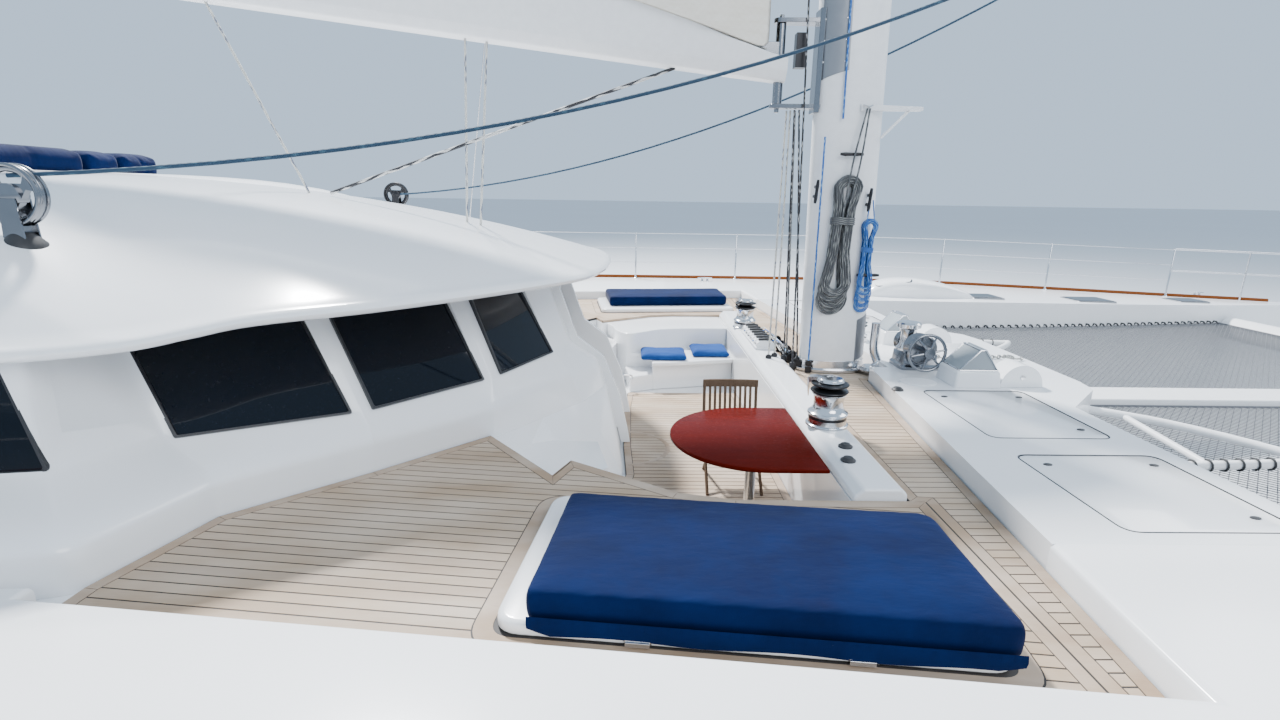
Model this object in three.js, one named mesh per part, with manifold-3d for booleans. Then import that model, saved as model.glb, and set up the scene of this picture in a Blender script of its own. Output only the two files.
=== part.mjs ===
// Sailing catamaran, about 27 m long, as an assembly of named closed solids.
// Millimetres, +X to the bow, +Y to port, +Z up. Z 0 is the waterline and the origin is amidships.
import * as THREE from "three";
import { mergeVertices } from "three/addons/utils/BufferGeometryUtils.js";
import Module from "manifold-3d";

const wasm = await Module();
wasm.setup();

// Driving dimensions
const GAP = 0.3;
const BOW_X = 13600;
const STERN_X = -13400;
const HULL_Y = 5050;
const HULL_INNER = 3750;
const HULL_DECK = 2340;
const TEAK_TOP = 2200;
const TEAK = 30;
const DECK_BED = TEAK_TOP - TEAK;
const UNDERSIDE = 1000;
const WELL_SOLE = 1540;
const SALOON_SOLE = 1700;
const FOREDECK_AFT = 2900;
const FOREDECK_FRONT = 4450;
const WELL_SIDE = 3020;
const COAMING = { aft: 2200, front: 2530, top: 2270 };
const NET_TOP = 1900;
const BEAM_X = 11500;
const MAST = { x: 2970, foot: 2205, top: 33200, chord: 660, thick: 340, rake: 0.021 };
const BOOM = { pivotX: 2230, heel: 4990, rise: 0.114, length: 10300, depth: 520 };
const ROOF = { ridgeX: -5500, aft: -10600, crown: 4100, drop: 800, skin: 90 };
const HOUSE = { aft: -7200, base: DECK_BED + GAP, ledge: 2420, sill: 2570, head: 3235, shrink: 0.985, middleX: -3600 };
const LID = { x: 1390, y: 3780, length: 2070, width: 1160, skew: 0.115, base: TEAK_TOP + GAP, top: 2262, corner: 120 };
const RAIL_HEIGHT = 890;
const DOOR = { plane: 65, thick: 40, half: 430, sill: 1610, top: 3110 };
const AFT_DOOR = { half: 700, top: 3130 };

// Finishes
const FINISH = {
  gelcoat: { color: 0xf4f6f8, roughness: 0.3, metalness: 0 },
  teak: { color: 0xb9a184, roughness: 0.7, metalness: 0 },
  glass: { color: 0x10161b, roughness: 0.08, metalness: 0 },
  steel: { color: 0xc6cace, roughness: 0.2, metalness: 0.9 },
  mahogany: { color: 0x8e2a10, roughness: 0.2, metalness: 0 },
  chairWood: { color: 0x7b5636, roughness: 0.6, metalness: 0 },
  navy: { color: 0x0c2a6b, roughness: 0.85, metalness: 0 },
  blue: { color: 0x1f4a94, roughness: 0.85, metalness: 0 },
  canvas: { color: 0xe3ddcf, roughness: 0.85, metalness: 0 },
  net: { color: 0x8b9299, roughness: 0.9, metalness: 0 },
  paint: { color: 0xeef1f3, roughness: 0.35, metalness: 0 },
  bronze: { color: 0x8d7440, roughness: 0.35, metalness: 0.8 },
};

const group = new THREE.Group();
group.name = "sailing_catamaran";

// Adds one named solid to the assembly.
function part(name, finish, geometry) {
  const mesh = new THREE.Mesh(geometry, new THREE.MeshStandardMaterial(FINISH[finish]));
  mesh.name = name;
  group.add(mesh);
  return mesh;
}

// A geometry with shared vertices and positions only.
function bare(geometry) {
  const source = geometry.index ? geometry.toNonIndexed() : geometry;
  const plain = new THREE.BufferGeometry();
  plain.setAttribute("position", source.getAttribute("position"));
  return mergeVertices(plain, 1e-3);
}

function toSolid(geometry) {
  const plain = bare(geometry);
  return new wasm.Manifold(
    new wasm.Mesh({
      numProp: 3,
      vertProperties: new Float32Array(plain.attributes.position.array),
      triVerts: new Uint32Array(plain.index.array),
    }),
  );
}

function toGeometry(solid) {
  const mesh = solid.getMesh();
  const positions = new Float32Array(mesh.numVert * 3);
  for (let i = 0; i < mesh.numVert; i++) {
    positions.set(mesh.vertProperties.subarray(i * mesh.numProp, i * mesh.numProp + 3), i * 3);
  }
  const geometry = new THREE.BufferGeometry();
  geometry.setAttribute("position", new THREE.BufferAttribute(positions, 3));
  geometry.setIndex(new THREE.BufferAttribute(new Uint32Array(mesh.triVerts), 1));
  const flat = geometry.toNonIndexed();
  flat.computeVertexNormals();
  return flat;
}

// Booleans
function fuse(...geometries) {
  return toGeometry(geometries.map(toSolid).reduce((a, b) => a.add(b)));
}

function cut(body, ...tools) {
  return toGeometry(tools.map(toSolid).reduce((a, b) => a.subtract(b), toSolid(body)));
}

function common(body, tool) {
  return toGeometry(toSolid(body).intersect(toSolid(tool)));
}

// Turns a geometry's faces round where it is inside out.
function outward(geometry) {
  const g = geometry.index ? geometry.toNonIndexed() : geometry;
  const p = g.getAttribute("position");
  const [a, b, c] = [new THREE.Vector3(), new THREE.Vector3(), new THREE.Vector3()];
  let volume = 0;
  for (let i = 0; i < p.count; i += 3) {
    a.fromBufferAttribute(p, i);
    b.fromBufferAttribute(p, i + 1);
    c.fromBufferAttribute(p, i + 2);
    volume += a.dot(b.cross(c));
  }
  if (volume < 0) {
    for (let i = 0; i < p.count; i += 3) {
      b.fromBufferAttribute(p, i + 1);
      c.fromBufferAttribute(p, i + 2);
      p.setXYZ(i + 1, c.x, c.y, c.z);
      p.setXYZ(i + 2, b.x, b.y, b.z);
    }
  }
  return g;
}

function moved(geometry, x, y, z) {
  return geometry.clone().translate(x, y, z);
}

function mirrored(geometry) {
  return outward(bare(geometry).scale(1, -1, 1));
}

// Solids
function box(x0, x1, y0, y1, z0, z1) {
  return new THREE.BoxGeometry(x1 - x0, y1 - y0, z1 - z0).translate((x0 + x1) / 2, (y0 + y1) / 2, (z0 + z1) / 2);
}

function extruded(points, depth) {
  const shape = new THREE.Shape(points.map(([u, v]) => new THREE.Vector2(u, v)));
  return new THREE.ExtrudeGeometry(shape, { depth, bevelEnabled: false });
}

// A plan outline of [x, y] points, from z0 up to z1.
function slab(points, z0, z1) {
  return outward(extruded(points, z1 - z0).translate(0, 0, z0));
}

// A plan rectangle with round corners, as [x, y] points.
function rounded(x0, x1, y0, y1, radius, steps = 4) {
  const corners = [[x1 - radius, y1 - radius], [x0 + radius, y1 - radius], [x0 + radius, y0 + radius], [x1 - radius, y0 + radius]];
  return corners.flatMap(([x, y], k) =>
    Array.from({ length: steps + 1 }, (_, i) => {
      const a = ((k + i / steps) * Math.PI) / 2;
      return [x + radius * Math.cos(a), y + radius * Math.sin(a)];
    }),
  );
}

// A side outline of [x, z] points, from y0 to y1.
function profile(points, y0, y1) {
  return outward(extruded(points, y1 - y0).rotateX(Math.PI / 2).translate(0, y1, 0));
}

// Closed rings of equal count, joined in order and closed by a fan at each end.
function loft(rings) {
  const n = rings[0].length;
  const positions = [];
  const triangle = (a, b, c) => positions.push(...a, ...b, ...c);
  for (let k = 0; k + 1 < rings.length; k++) {
    for (let i = 0; i < n; i++) {
      const j = (i + 1) % n;
      triangle(rings[k][i], rings[k][j], rings[k + 1][j]);
      triangle(rings[k][i], rings[k + 1][j], rings[k + 1][i]);
    }
  }
  const middle = (ring) => [0, 1, 2].map((axis) => ring.reduce((sum, p) => sum + p[axis], 0) / n);
  const [first, last] = [rings[0], rings[rings.length - 1]];
  const [start, end] = [middle(first), middle(last)];
  for (let i = 0; i < n; i++) {
    const j = (i + 1) % n;
    triangle(start, first[j], first[i]);
    triangle(end, last[i], last[j]);
  }
  const geometry = new THREE.BufferGeometry();
  geometry.setAttribute("position", new THREE.BufferAttribute(new Float32Array(positions), 3));
  return outward(geometry);
}

// A round bar from a to b, which may taper.
function rod(a, b, radius, sides = 8, endRadius = radius) {
  const [from, to] = [new THREE.Vector3(...a), new THREE.Vector3(...b)];
  const along = to.clone().sub(from);
  const bar = new THREE.CylinderGeometry(endRadius, radius, along.length(), sides);
  const turn = new THREE.Quaternion().setFromUnitVectors(new THREE.Vector3(0, 1, 0), along.clone().normalize());
  return bar.applyQuaternion(turn).translate(...from.add(to).divideScalar(2).toArray());
}

// A bar of regular section along a path of points.
function bent(points, radius, sides = 6) {
  return points.slice(1).map((p, i) => rod(points[i], p, radius, sides));
}

// A turned solid about a vertical axis, from [radius, z] points.
function turned(points, x, y, sides = 20) {
  const lathe = new THREE.LatheGeometry(points.map(([r, z]) => new THREE.Vector2(r, z)), sides);
  return outward(bare(lathe.rotateX(Math.PI / 2)).translate(x, y, 0));
}

// Hulls. The port hull is drawn and the starboard one is its mirror.
const HULL_STATIONS = [
  { x: STERN_X, deck: 1150, water: 800, draft: 220, sheer: 2340 },
  { x: -11000, deck: 1290, water: 930, draft: 560, sheer: 2340 },
  { x: -8000, deck: 1300, water: 1010, draft: 860, sheer: 2340 },
  { x: -4000, deck: 1300, water: 1050, draft: 1060, sheer: 2340 },
  { x: 0, deck: 1300, water: 1050, draft: 1110, sheer: 2340 },
  { x: 3500, deck: 1300, water: 990, draft: 1080, sheer: 2340 },
  { x: 5000, deck: 1290, water: 920, draft: 1050, sheer: 2335 },
  { x: 7000, deck: 1180, water: 770, draft: 990, sheer: 2310 },
  { x: 9000, deck: 900, water: 580, draft: 900, sheer: 2260 },
  { x: 11000, deck: 560, water: 360, draft: 760, sheer: 2210 },
  { x: 12500, deck: 280, water: 170, draft: 600, sheer: 2180 },
  { x: 13300, deck: 110, water: 70, draft: 450, sheer: 2160 },
  { x: BOW_X, deck: 45, water: 35, draft: 330, sheer: 2150 },
];
const BILGE_ANGLES = [20, 42, 66];

function hullRing({ x, deck, water, draft, sheer }) {
  const chine = deck - (deck - water) * (x > 5000 ? 0.45 : 0);
  const bilge = BILGE_ANGLES.map((degrees) => THREE.MathUtils.degToRad(degrees));
  const outer = [
    [deck - 40, sheer],
    [deck, sheer - 60],
    [deck - (deck - water) * 0.15, 1500],
    [water + (deck - water) * 0.35, 700],
    [water, 0],
    ...bilge.map((a) => [water * Math.cos(a), -draft * Math.sin(a)]),
  ];
  const inner = [
    ...bilge.map((a) => [-water * Math.cos(a), -draft * Math.sin(a)]).reverse(),
    [-water, 0],
    [-water - (chine - water) * 0.25, 560],
    [-chine, 930],
    [-deck, sheer],
  ];
  return [...outer, [0, -draft], ...inner].map(([y, z]) => [x, HULL_Y + y, z]);
}

// The deck bed of the teak lies lower than the raised deck of the hull.
const RAISED_EDGE = [
  [HOUSE.aft - 3700, 4125],
  [-1620, 4125],
  [-1620, 4200],
  [2817, 4730],
  [2905, 3700],
  [HOUSE.aft - 3700, 3700],
];
const STEPS = [
  { aft: STERN_X - 200, front: -12750, z: 450 },
  { aft: -12800, front: -12400, z: 800 },
  { aft: -12450, front: -12050, z: 1150 },
  { aft: -12100, front: -11700, z: 1500 },
  { aft: -11750, front: -11350, z: 1850 },
];
const BLISTER = { x0: 4900, x1: 6650, y: 4450, half: 330, height: 300 };
const RUDDER = { x: -11300, top: -620, tip: -1450 };
const LOCKER_WELL = { x0: 520, x1: 2240, y0: 3400, y1: 4180, floor: 1850 };

function hull() {
  const shell = loft(HULL_STATIONS.map(hullRing));
  const keel = loft(
    [
      { z: -980, aft: -5200, front: -600, half: 190 },
      { z: -1650, aft: -4700, front: -1400, half: 130 },
    ].map(({ z, aft, front, half }) => [
      [front, HULL_Y, z],
      [front - 700, HULL_Y + half, z],
      [aft + 1500, HULL_Y + half * 0.8, z],
      [aft, HULL_Y, z],
      [aft + 1500, HULL_Y - half * 0.8, z],
      [front - 700, HULL_Y - half, z],
    ]),
  );
  const blister = loft(
    [
      { x: BLISTER.x0, s: 0.55, h: 40 },
      { x: BLISTER.x0 + 350, s: 0.9, h: 0.85 * BLISTER.height },
      { x: BLISTER.x0 + 1000, s: 1, h: BLISTER.height },
      { x: BLISTER.x1, s: 0.5, h: 60 },
    ].map(({ x, s, h }) =>
      [
        [1, 0],
        [0.9, 0.55],
        [0.55, 1],
        [-0.55, 1],
        [-0.9, 0.55],
        [-1, 0],
        [-1, -0.4],
        [1, -0.4],
      ].map(([u, v]) => [x, BLISTER.y + BLISTER.half * s * u, HULL_DECK - 10 + (v < 0 ? v * 200 : v * h)]),
    ),
  );
  const scoop = profile(
    [
      [STERN_X - 100, 620],
      [-11300, HULL_DECK + 1],
      [-11300, HULL_DECK + 400],
      [STERN_X - 100, HULL_DECK + 400],
    ],
    HULL_Y - 1500,
    HULL_Y + 1500,
  );
  const treads = STEPS.map(({ aft, front, z }) => box(aft, front, HULL_Y - 820, HULL_Y + 820, z, 3000));
  const bed = slab(RAISED_EDGE, DECK_BED, 2600);
  const well = box(LOCKER_WELL.x0, LOCKER_WELL.x1, 3700, LOCKER_WELL.y1, LOCKER_WELL.floor, 2600);
  const leg = loft(
    [
      { z: -300, s: 1 },
      { z: -1180, s: 0.75 },
    ].map(({ z, s }) => [
      [-8600, HULL_Y, z],
      [-8850, HULL_Y + 90 * s, z],
      [-9180, HULL_Y, z],
      [-8850, HULL_Y - 90 * s, z],
    ]),
  );
  const pod = rod([-8500, HULL_Y, -1180], [-9240, HULL_Y, -1180], 95, 12);
  const boss = rod([RUDDER.x, HULL_Y, RUDDER.top + 35], [RUDDER.x, HULL_Y, -300], 70, 12);
  return cut(fuse(shell, keel, blister, leg, pod, boss), scoop, ...treads, bed, well);
}

const portHull = hull();
part("hull_port", "gelcoat", portHull);
part("hull_starboard", "gelcoat", mirrored(portHull));

// Takes the hulls off a piece that runs out to them, leaving a hair of clearance.
function betweenHulls(geometry) {
  return cut(geometry, moved(portHull, 0, -0.6, 0), moved(mirrored(portHull), 0, 0.6, 0));
}

// Bridge deck with its forward cockpit, saloon and aft cockpit wells.
const both = (points) => [...points, ...points.map(([x, y]) => [x, -y]).reverse()];
const WELL_EDGE = [
  [645, 0],
  [620, 600],
  [460, 1080],
  [150, 1535],
  [-160, 2005],
  [365, 2690],
  [460, 2450],
  [1150, 2930],
  [1490, WELL_SIDE],
  [COAMING.aft, WELL_SIDE],
];
// The front wall of the house slants out below the deck to these points on the sole.
const WALL_FOOT = [
  [775, 0],
  [775, 600],
  [810, 1200],
  [560, 1650],
  [-160, 2005],
];
const WELL_STEPS = [
  { points: [[600, 1600], [110, 1570], [-172, 2008], [360, 2702], [470, 2462], [700, 2100]], top: 1990 },
  { points: [[470, 2462], [860, 2980], [1150, 2980], [900, 2300], [700, 2100], [640, 2100]], top: 1770 },
];
const SALOON_EDGE = [
  [470, 0],
  [420, 700],
  [180, 1250],
  [-420, 2000],
  [-900, 2650],
  [-1650, 3300],
  [-2100, 3640],
  [HOUSE.aft + 100, 3640],
];

function slantedWall() {
  const low = WELL_SOLE - TEAK - 5;
  return loft(
    WALL_FOOT.map(([x, y], k) => {
      const [topX, topY] = WELL_EDGE[k];
      return [[topX, topY, DECK_BED], [x, y, low], [topX - 20, topY, low], [topX - 20, topY, DECK_BED]];
    }),
  );
}

function bridgeDeck() {
  const block = profile(
    [
      [-10900, 1350],
      [-10300, UNDERSIDE],
      [FOREDECK_AFT, UNDERSIDE],
      [FOREDECK_AFT, DECK_BED],
      [-10900, DECK_BED],
    ],
    -HULL_INNER + 1,
    HULL_INNER - 1,
  );
  const forwardWell = slab(both(WELL_EDGE), WELL_SOLE - TEAK, 3000);
  const saloonWell = slab(both(SALOON_EDGE), SALOON_SOLE, 3000);
  const aftWell = box(-11000, HOUSE.aft, -3300, 3300, SALOON_SOLE, 3000);
  const doorway = box(DOOR.plane - 60, 1200, -DOOR.half, DOOR.half, WELL_SOLE + 60, 3000);
  const aftDoorway = box(-7500, -7000, -AFT_DOOR.half, AFT_DOOR.half, SALOON_SOLE, 3000);
  const lockers = [1, -1].map((side) => {
    const [a, b] = [side * LOCKER_WELL.y0, side * 3900].sort((p, q) => p - q);
    return box(LOCKER_WELL.x0, LOCKER_WELL.x1, a, b, LOCKER_WELL.floor, 3000);
  });
  const steps = WELL_STEPS.map(({ points, top }) => slab(points.map(([x, y]) => [x, -y]), WELL_SOLE - TEAK - 5, top));
  const wall = slantedWall();
  const front = slab(
    both([
      [3399, 0],
      [3399, 449],
      [3219, 449],
      [2906, HULL_INNER - 2],
      [FOREDECK_AFT - 1, HULL_INNER - 2],
    ]),
    UNDERSIDE,
    DECK_BED,
  );
  const walled = fuse(cut(block, forwardWell), front, wall, mirrored(wall));
  const carved = cut(walled, saloonWell, aftWell, doorway, aftDoorway, ...lockers);
  const portStep = slab(WELL_STEPS[0].points, WELL_SOLE - TEAK - 5, WELL_STEPS[0].top);
  return fuse(carved, ...steps, portStep);
}

part("bridge_deck", "gelcoat", bridgeDeck());

// Forward teak deck: side decks and the walkway before the coaming.
const HOUSE_RINGS = [
  { base: [640, 0], ledge: [565, 0], sill: [300, 0], head: [85, 0], brow: [660, 0] },
  { base: [615, 600], ledge: [540, 600], sill: [285, 600], head: [60, 575], brow: [615, 700] },
  { base: [455, 1080], ledge: [330, 1060], sill: [200, 985], head: [-90, 925], brow: [440, 1350] },
  { base: [-160, 1990], ledge: [-150, 2040], sill: [-175, 1850], head: [-490, 1630], brow: [-60, 2080] },
  { base: [-790, 2670], ledge: [-760, 2670], sill: [-820, 2640], head: [-1200, 2375], brow: [-620, 2680] },
  { base: [-1410, 3270], ledge: [-1405, 3270], sill: [-1720, 3140], head: [-2070, 2950], brow: [-1360, 3250] },
  { base: [-1600, 3930], ledge: [-1625, 3950], sill: [-2000, 3570], head: [-2070, 3500], brow: [-2080, 3680] },
  { base: [-2100, 4080], ledge: [-2300, 4080], sill: [-3400, 3800], head: [-3450, 3680], brow: [-3200, 4000] },
  { base: [-4800, 4090], ledge: [-4800, 4080], sill: [-4800, 3830], head: [-4800, 3700], brow: [-5500, 4080] },
];

function teakDeck() {
  const outer = [
    [-1602, 4190],
    [2807, 4718],
  ];
  const houseFoot = HOUSE_RINGS.slice(4, 7).map(({ base }) => [base[0] + 10, base[1] + 4]);
  const half = [
    [COAMING.front + 1, 0],
    [COAMING.front + 1, WELL_SIDE + 20],
    [1490, WELL_SIDE + 20],
    [1145, 2948],
    [462, 2472],
    [368, 2712],
    [-172, 2022],
    ...houseFoot,
    ...outer,
    [3206, 450],
    [3390, 446],
    [3390, 0],
  ];
  const deck = slab(both(half), DECK_BED + GAP, TEAK_TOP);
  const lockers = [1, -1].map((side) => {
    const [a, b] = [side * LOCKER_WELL.y0, side * LOCKER_WELL.y1].sort((p, q) => p - q);
    return box(LOCKER_WELL.x0, LOCKER_WELL.x1, a, b, 2000, 3000);
  });
  return cut(deck, ...lockers);
}

part("forward_deck_teak", "teak", teakDeck());

part(
  "forward_cockpit_sole",
  "teak",
  slab(
    [
      [830, -1250],
      [780, -1600],
      [760, -2000],
      [1240, -2900],
      [COAMING.aft - 2, -2960],
      [COAMING.aft - 2, 1180],
      [835, 1180],
      [800, 600],
      [800, -600],
    ],
    WELL_SOLE - TEAK + GAP,
    WELL_SOLE,
  ),
);

part(
  "forward_coaming",
  "gelcoat",
  profile(
    [
      [COAMING.aft + 1, DECK_BED + GAP],
      [COAMING.front, DECK_BED + GAP],
      [COAMING.front, COAMING.top - 40],
      [COAMING.front - 40, COAMING.top],
      [COAMING.aft + 60, COAMING.top],
      [COAMING.aft + 1, COAMING.top - 60],
    ],
    -WELL_SIDE,
    WELL_SIDE,
  ),
);

// Port seat moulding in the forward cockpit with its two cushions.
const SEAT = { top: 1900, foot: WELL_SOLE - TEAK + GAP };
part(
  "port_seat",
  "gelcoat",
  cut(
    slab(
      [
        [860, 1250],
        [1500, 1350],
        [COAMING.aft - 1, 1600],
        [COAMING.aft - 1, 3000],
        [1500, 3000],
        [1165, 2920],
        [530, 2470],
        [760, 2000],
      ],
      SEAT.foot,
      DECK_BED,
    ),
    slab(
      [
        [0, 0],
        [4000, 0],
        [4000, 2420],
        [1000, 2320],
        [0, 2300],
      ],
      SEAT.top,
      4000,
    ),
    box(0, 1150, 0, 1750, 1720, 4000),
  ),
);
for (const [name, x0, x1, y0, y1] of [
  ["seat_cushion_aft", 1000, 1590, 1360, 1920],
  ["seat_cushion_forward", 1640, 2180, 1610, 2220],
]) {
  part(name, "blue", box(x0, x1, y0, y1, SEAT.top + GAP, SEAT.top + 80));
}

// Coachroof walls, hollow, with a window cut in each panel.
function ringAt(key, z, shrink = 1) {
  const half = HOUSE_RINGS.map((row) => row[key]);
  const corner = [HOUSE.aft, half[half.length - 1][1]];
  const right = [...half, corner];
  const left = right.slice(1).map(([x, y]) => [x, -y]).reverse();
  return [...right, ...left].map(([x, y]) => [HOUSE.middleX + (x - HOUSE.middleX) * shrink, y * shrink, z]);
}

// A block through the wall over a panel: four corner points, pushed both ways along its normal.
function throughPanel(corners, reach) {
  const [a, b, c, d] = corners.map((p) => new THREE.Vector3(...p));
  const normal = b.clone().sub(a).cross(d.clone().sub(a)).normalize().multiplyScalar(reach);
  const ring = (sign) => [a, b, c, d].map((p) => p.clone().addScaledVector(normal, sign).toArray());
  return loft([ring(-1), ring(1)]);
}

const WINDOW_PANELS = [
  { from: 2, to: 3, start: 0.05, end: 0.885 },
  { from: 3, to: 4, start: 0.08, end: 0.94 },
  { from: 4, to: 5, start: 0.07, end: 0.955 },
  { from: 6, to: 7, start: 0.02, end: 0.96 },
  { from: 7, to: 8, start: 0.05, end: 0.95 },
];

function panelCorners({ from, to, start, end }) {
  const at = (key, share, z) => {
    const [p, q] = [HOUSE_RINGS[from][key], HOUSE_RINGS[to][key]];
    return [p[0] + (q[0] - p[0]) * share, p[1] + (q[1] - p[1]) * share, z];
  };
  return [
    at("sill", start, HOUSE.sill + 30),
    at("sill", end, HOUSE.sill + 30),
    at("head", end, HOUSE.head - 70),
    at("head", start, HOUSE.head - 70),
  ];
}

function houseWalls() {
  const outer = loft([
    ringAt("base", HOUSE.base),
    ringAt("ledge", HOUSE.ledge),
    ringAt("sill", HOUSE.sill),
    ringAt("head", HOUSE.head - GAP),
  ]);
  const inner = loft([
    ringAt("base", HOUSE.base - 50, HOUSE.shrink),
    ringAt("ledge", HOUSE.ledge - 5, HOUSE.shrink),
    ringAt("sill", HOUSE.sill - 5, HOUSE.shrink),
    ringAt("head", HOUSE.head + 50, HOUSE.shrink),
  ]);
  const windows = WINDOW_PANELS.map((panel) => throughPanel(panelCorners(panel), 260));
  const rear = [box(-6900, -5000, 3400, 4300, HOUSE.sill + 30, HOUSE.head - 70), box(-7300, -7100, 1100, 3200, 2450, 3130)];
  const right = [...windows, ...rear];
  const left = right.map(mirrored);
  const doorway = box(-300, 1200, -DOOR.half, DOOR.half, 1500, 3130);
  const aftDoorway = box(-7500, -6900, -AFT_DOOR.half, AFT_DOOR.half, 1500, AFT_DOOR.top);
  const shell = cut(outer, inner, ...right, ...left, doorway, aftDoorway);
  const cheek = fuse(
    common(outer, box(DOOR.plane - 35, 900, DOOR.half, DOOR.half + 60, 2100, 3129)),
    box(DOOR.plane - 35, 430, DOOR.half, DOOR.half + 60, SALOON_SOLE + GAP, 2200),
  );
  const fin = profile(
    [
      [500, 2300],
      [600, 2430],
      [700, 2190],
      [765, 2040],
      [845, 1660],
      [865, WELL_SOLE + GAP],
      [775, WELL_SOLE + GAP],
      [633, 2172],
      [500, 2172],
    ],
    DOOR.half,
    DOOR.half + 60,
  );
  const knuckles = [1900, 2800].map((z) => box(DOOR.plane + 20, DOOR.plane + 40, -DOOR.half, -DOOR.half + 9.7, z, z + 90));
  return fuse(shell, cheek, mirrored(cheek), fin, mirrored(fin), ...knuckles);
}

part("coachroof_walls", "gelcoat", houseWalls());

// The glazing is one dark band that lies against the inside of the walls.
function glazing() {
  const skin = (share) => loft([ringAt("sill", HOUSE.sill - 5, share), ringAt("head", HOUSE.head + 50, share)]);
  const band = cut(
    skin(HOUSE.shrink - 0.0006),
    skin(HOUSE.shrink - 0.004),
    box(-300, 1200, -DOOR.half - 70, DOOR.half + 70, 1500, 3130),
    box(-7500, -7000, -AFT_DOOR.half, AFT_DOOR.half, 1500, AFT_DOOR.top),
  );
  return common(band, box(-8000, 2000, -5000, 5000, HOUSE.sill + 2, HOUSE.head - 6));
}

// Roof: contours that shrink to the ridge, hollow below.
// How steeply the roof falls at its edge, for each row of its plan from the front to the stern.
const ROOF_FALL = [2.27, 2.27, 2.27, 2.27, 2.27, 2.4, 3.4, 4.5, 5, 5, 4.5, 4];

function roofRing(share, height) {
  const half = HOUSE_RINGS.map(({ brow }) => brow);
  const plan = [...half, [-9000, 4040], [-10250, 3700], [ROOF.aft, 3000]];
  const right = plan.map(([x, y], k) => [x, y, height(share, ROOF_FALL[k])]);
  const left = right.slice(1).map(([x, y, z]) => [x, -y, z]).reverse();
  return [...right, ...left].map(([x, y, z]) => [ROOF.ridgeX + (x - ROOF.ridgeX) * share, y * share, z]);
}

function roofHeight(share, fall) {
  return ROOF.crown - ROOF.drop * share ** fall;
}

function roofTop() {
  const shares = [1, 0.9, 0.78, 0.62, 0.42, 0.2];
  return [roofRing(0.985, () => HOUSE.head), ...shares.map((share) => roofRing(share, roofHeight))];
}

function roof() {
  const inside = [0.87, 0.78, 0.62, 0.42, 0.2];
  const hollow = loft([
    roofRing(0.87, () => HOUSE.head - 100),
    ...inside.map((share) => roofRing(share, (along, fall) => roofHeight(along, fall) - ROOF.skin)),
  ]);
  const posts = [3350, -3350].map((y) => rod([-10150, y, DECK_BED + GAP], [-10150, y, 3300], 55, 12));
  return fuse(cut(loft(roofTop()), hollow), ...posts);
}

part("coachroof", "gelcoat", roof());
part("saloon_glazing", "glass", glazing());

// Flybridge coaming with two helm consoles, seated on the roof.
const FLY = { front: -5500, aft: -9700, half: 2750, top: 4500, floor: 4150 };

function flybridge() {
  const plan = (grow) => [
    [FLY.front + grow, -1500],
    [FLY.front + grow, 1500],
    [FLY.front - 900 + grow, FLY.half + grow],
    [FLY.aft - grow, FLY.half + grow],
    [FLY.aft - grow, -FLY.half - grow],
    [FLY.front - 900 + grow, -FLY.half - grow],
  ];
  const ring = cut(slab(plan(0), 3300, FLY.top), slab(plan(-140), FLY.floor, 6000));
  const stairGap = box(FLY.aft - 500, FLY.aft + 400, -700, 700, FLY.floor, 6000);
  const consoles = [1, -1].map((side) =>
    moved(
      profile(
        [
          [-8900, FLY.floor - 20],
          [-8350, FLY.floor - 20],
          [-8350, 5050],
          [-8500, 5120],
          [-8900, 4900],
        ],
        -380,
        380,
      ),
      0,
      side * 1900,
      0,
    ),
  );
  return cut(fuse(cut(ring, stairGap), ...consoles), moved(loft(roofTop()), 0, 0, GAP));
}

part("flybridge_coaming", "gelcoat", flybridge());
part("flybridge_cushion", "navy", cut(box(FLY.front + GAP, -4950, -1300, 1300, 3900, 4480), moved(loft(roofTop()), 0, 0, GAP)));

// Steering wheels on the consoles.
const WHEEL = { x: -9020, y: 1900, z: 4800, radius: 400 };

function steeringWheel() {
  const rim = new THREE.TorusGeometry(WHEEL.radius, 16, 8, 28).rotateY(Math.PI / 2);
  const spokes = [0, 1, 2].map((k) => {
    const angle = (k * Math.PI) / 3;
    const [dy, dz] = [Math.cos(angle) * WHEEL.radius, Math.sin(angle) * WHEEL.radius];
    return rod([0, -dy, -dz], [0, dy, dz], 9, 6);
  });
  const hub = rod([-25, 0, 0], [119.7, 0, 0], 45, 12);
  return moved(fuse(rim, ...spokes, hub), WHEEL.x, WHEEL.y, WHEEL.z);
}

part("steering_wheel_port", "steel", steeringWheel());
part("steering_wheel_starboard", "steel", mirrored(steeringWheel()));

// Doors of the saloon.
part(
  "forward_door",
  "glass",
  box(DOOR.plane, DOOR.plane + DOOR.thick, -DOOR.half + 10, DOOR.half - 10, DOOR.sill, DOOR.top),
);
part("aft_door", "glass", box(-7250, -7210, -AFT_DOOR.half - 40, AFT_DOOR.half + 40, SALOON_SOLE + GAP, AFT_DOOR.top + 20));

// Mast, boom and stays.
const mastX = (z) => MAST.x - (z - MAST.foot) * MAST.rake;

function oval(x, y, z, chord, thick, sides = 16) {
  return Array.from({ length: sides }, (_, k) => {
    const a = (2 * Math.PI * k) / sides;
    return [x + (chord / 2) * Math.cos(a), y + (thick / 2) * Math.sin(a), z];
  });
}

const SPREADERS = [
  { z: 10500, reach: 1500 },
  { z: 17500, reach: 1350 },
  { z: 24500, reach: 1100 },
];

const MAST_TAPER = { start: 22000, share: 0.4 };

function mastScale(z) {
  return 1 - (MAST_TAPER.share * Math.max(0, z - MAST_TAPER.start)) / (MAST.top - MAST_TAPER.start);
}

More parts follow.
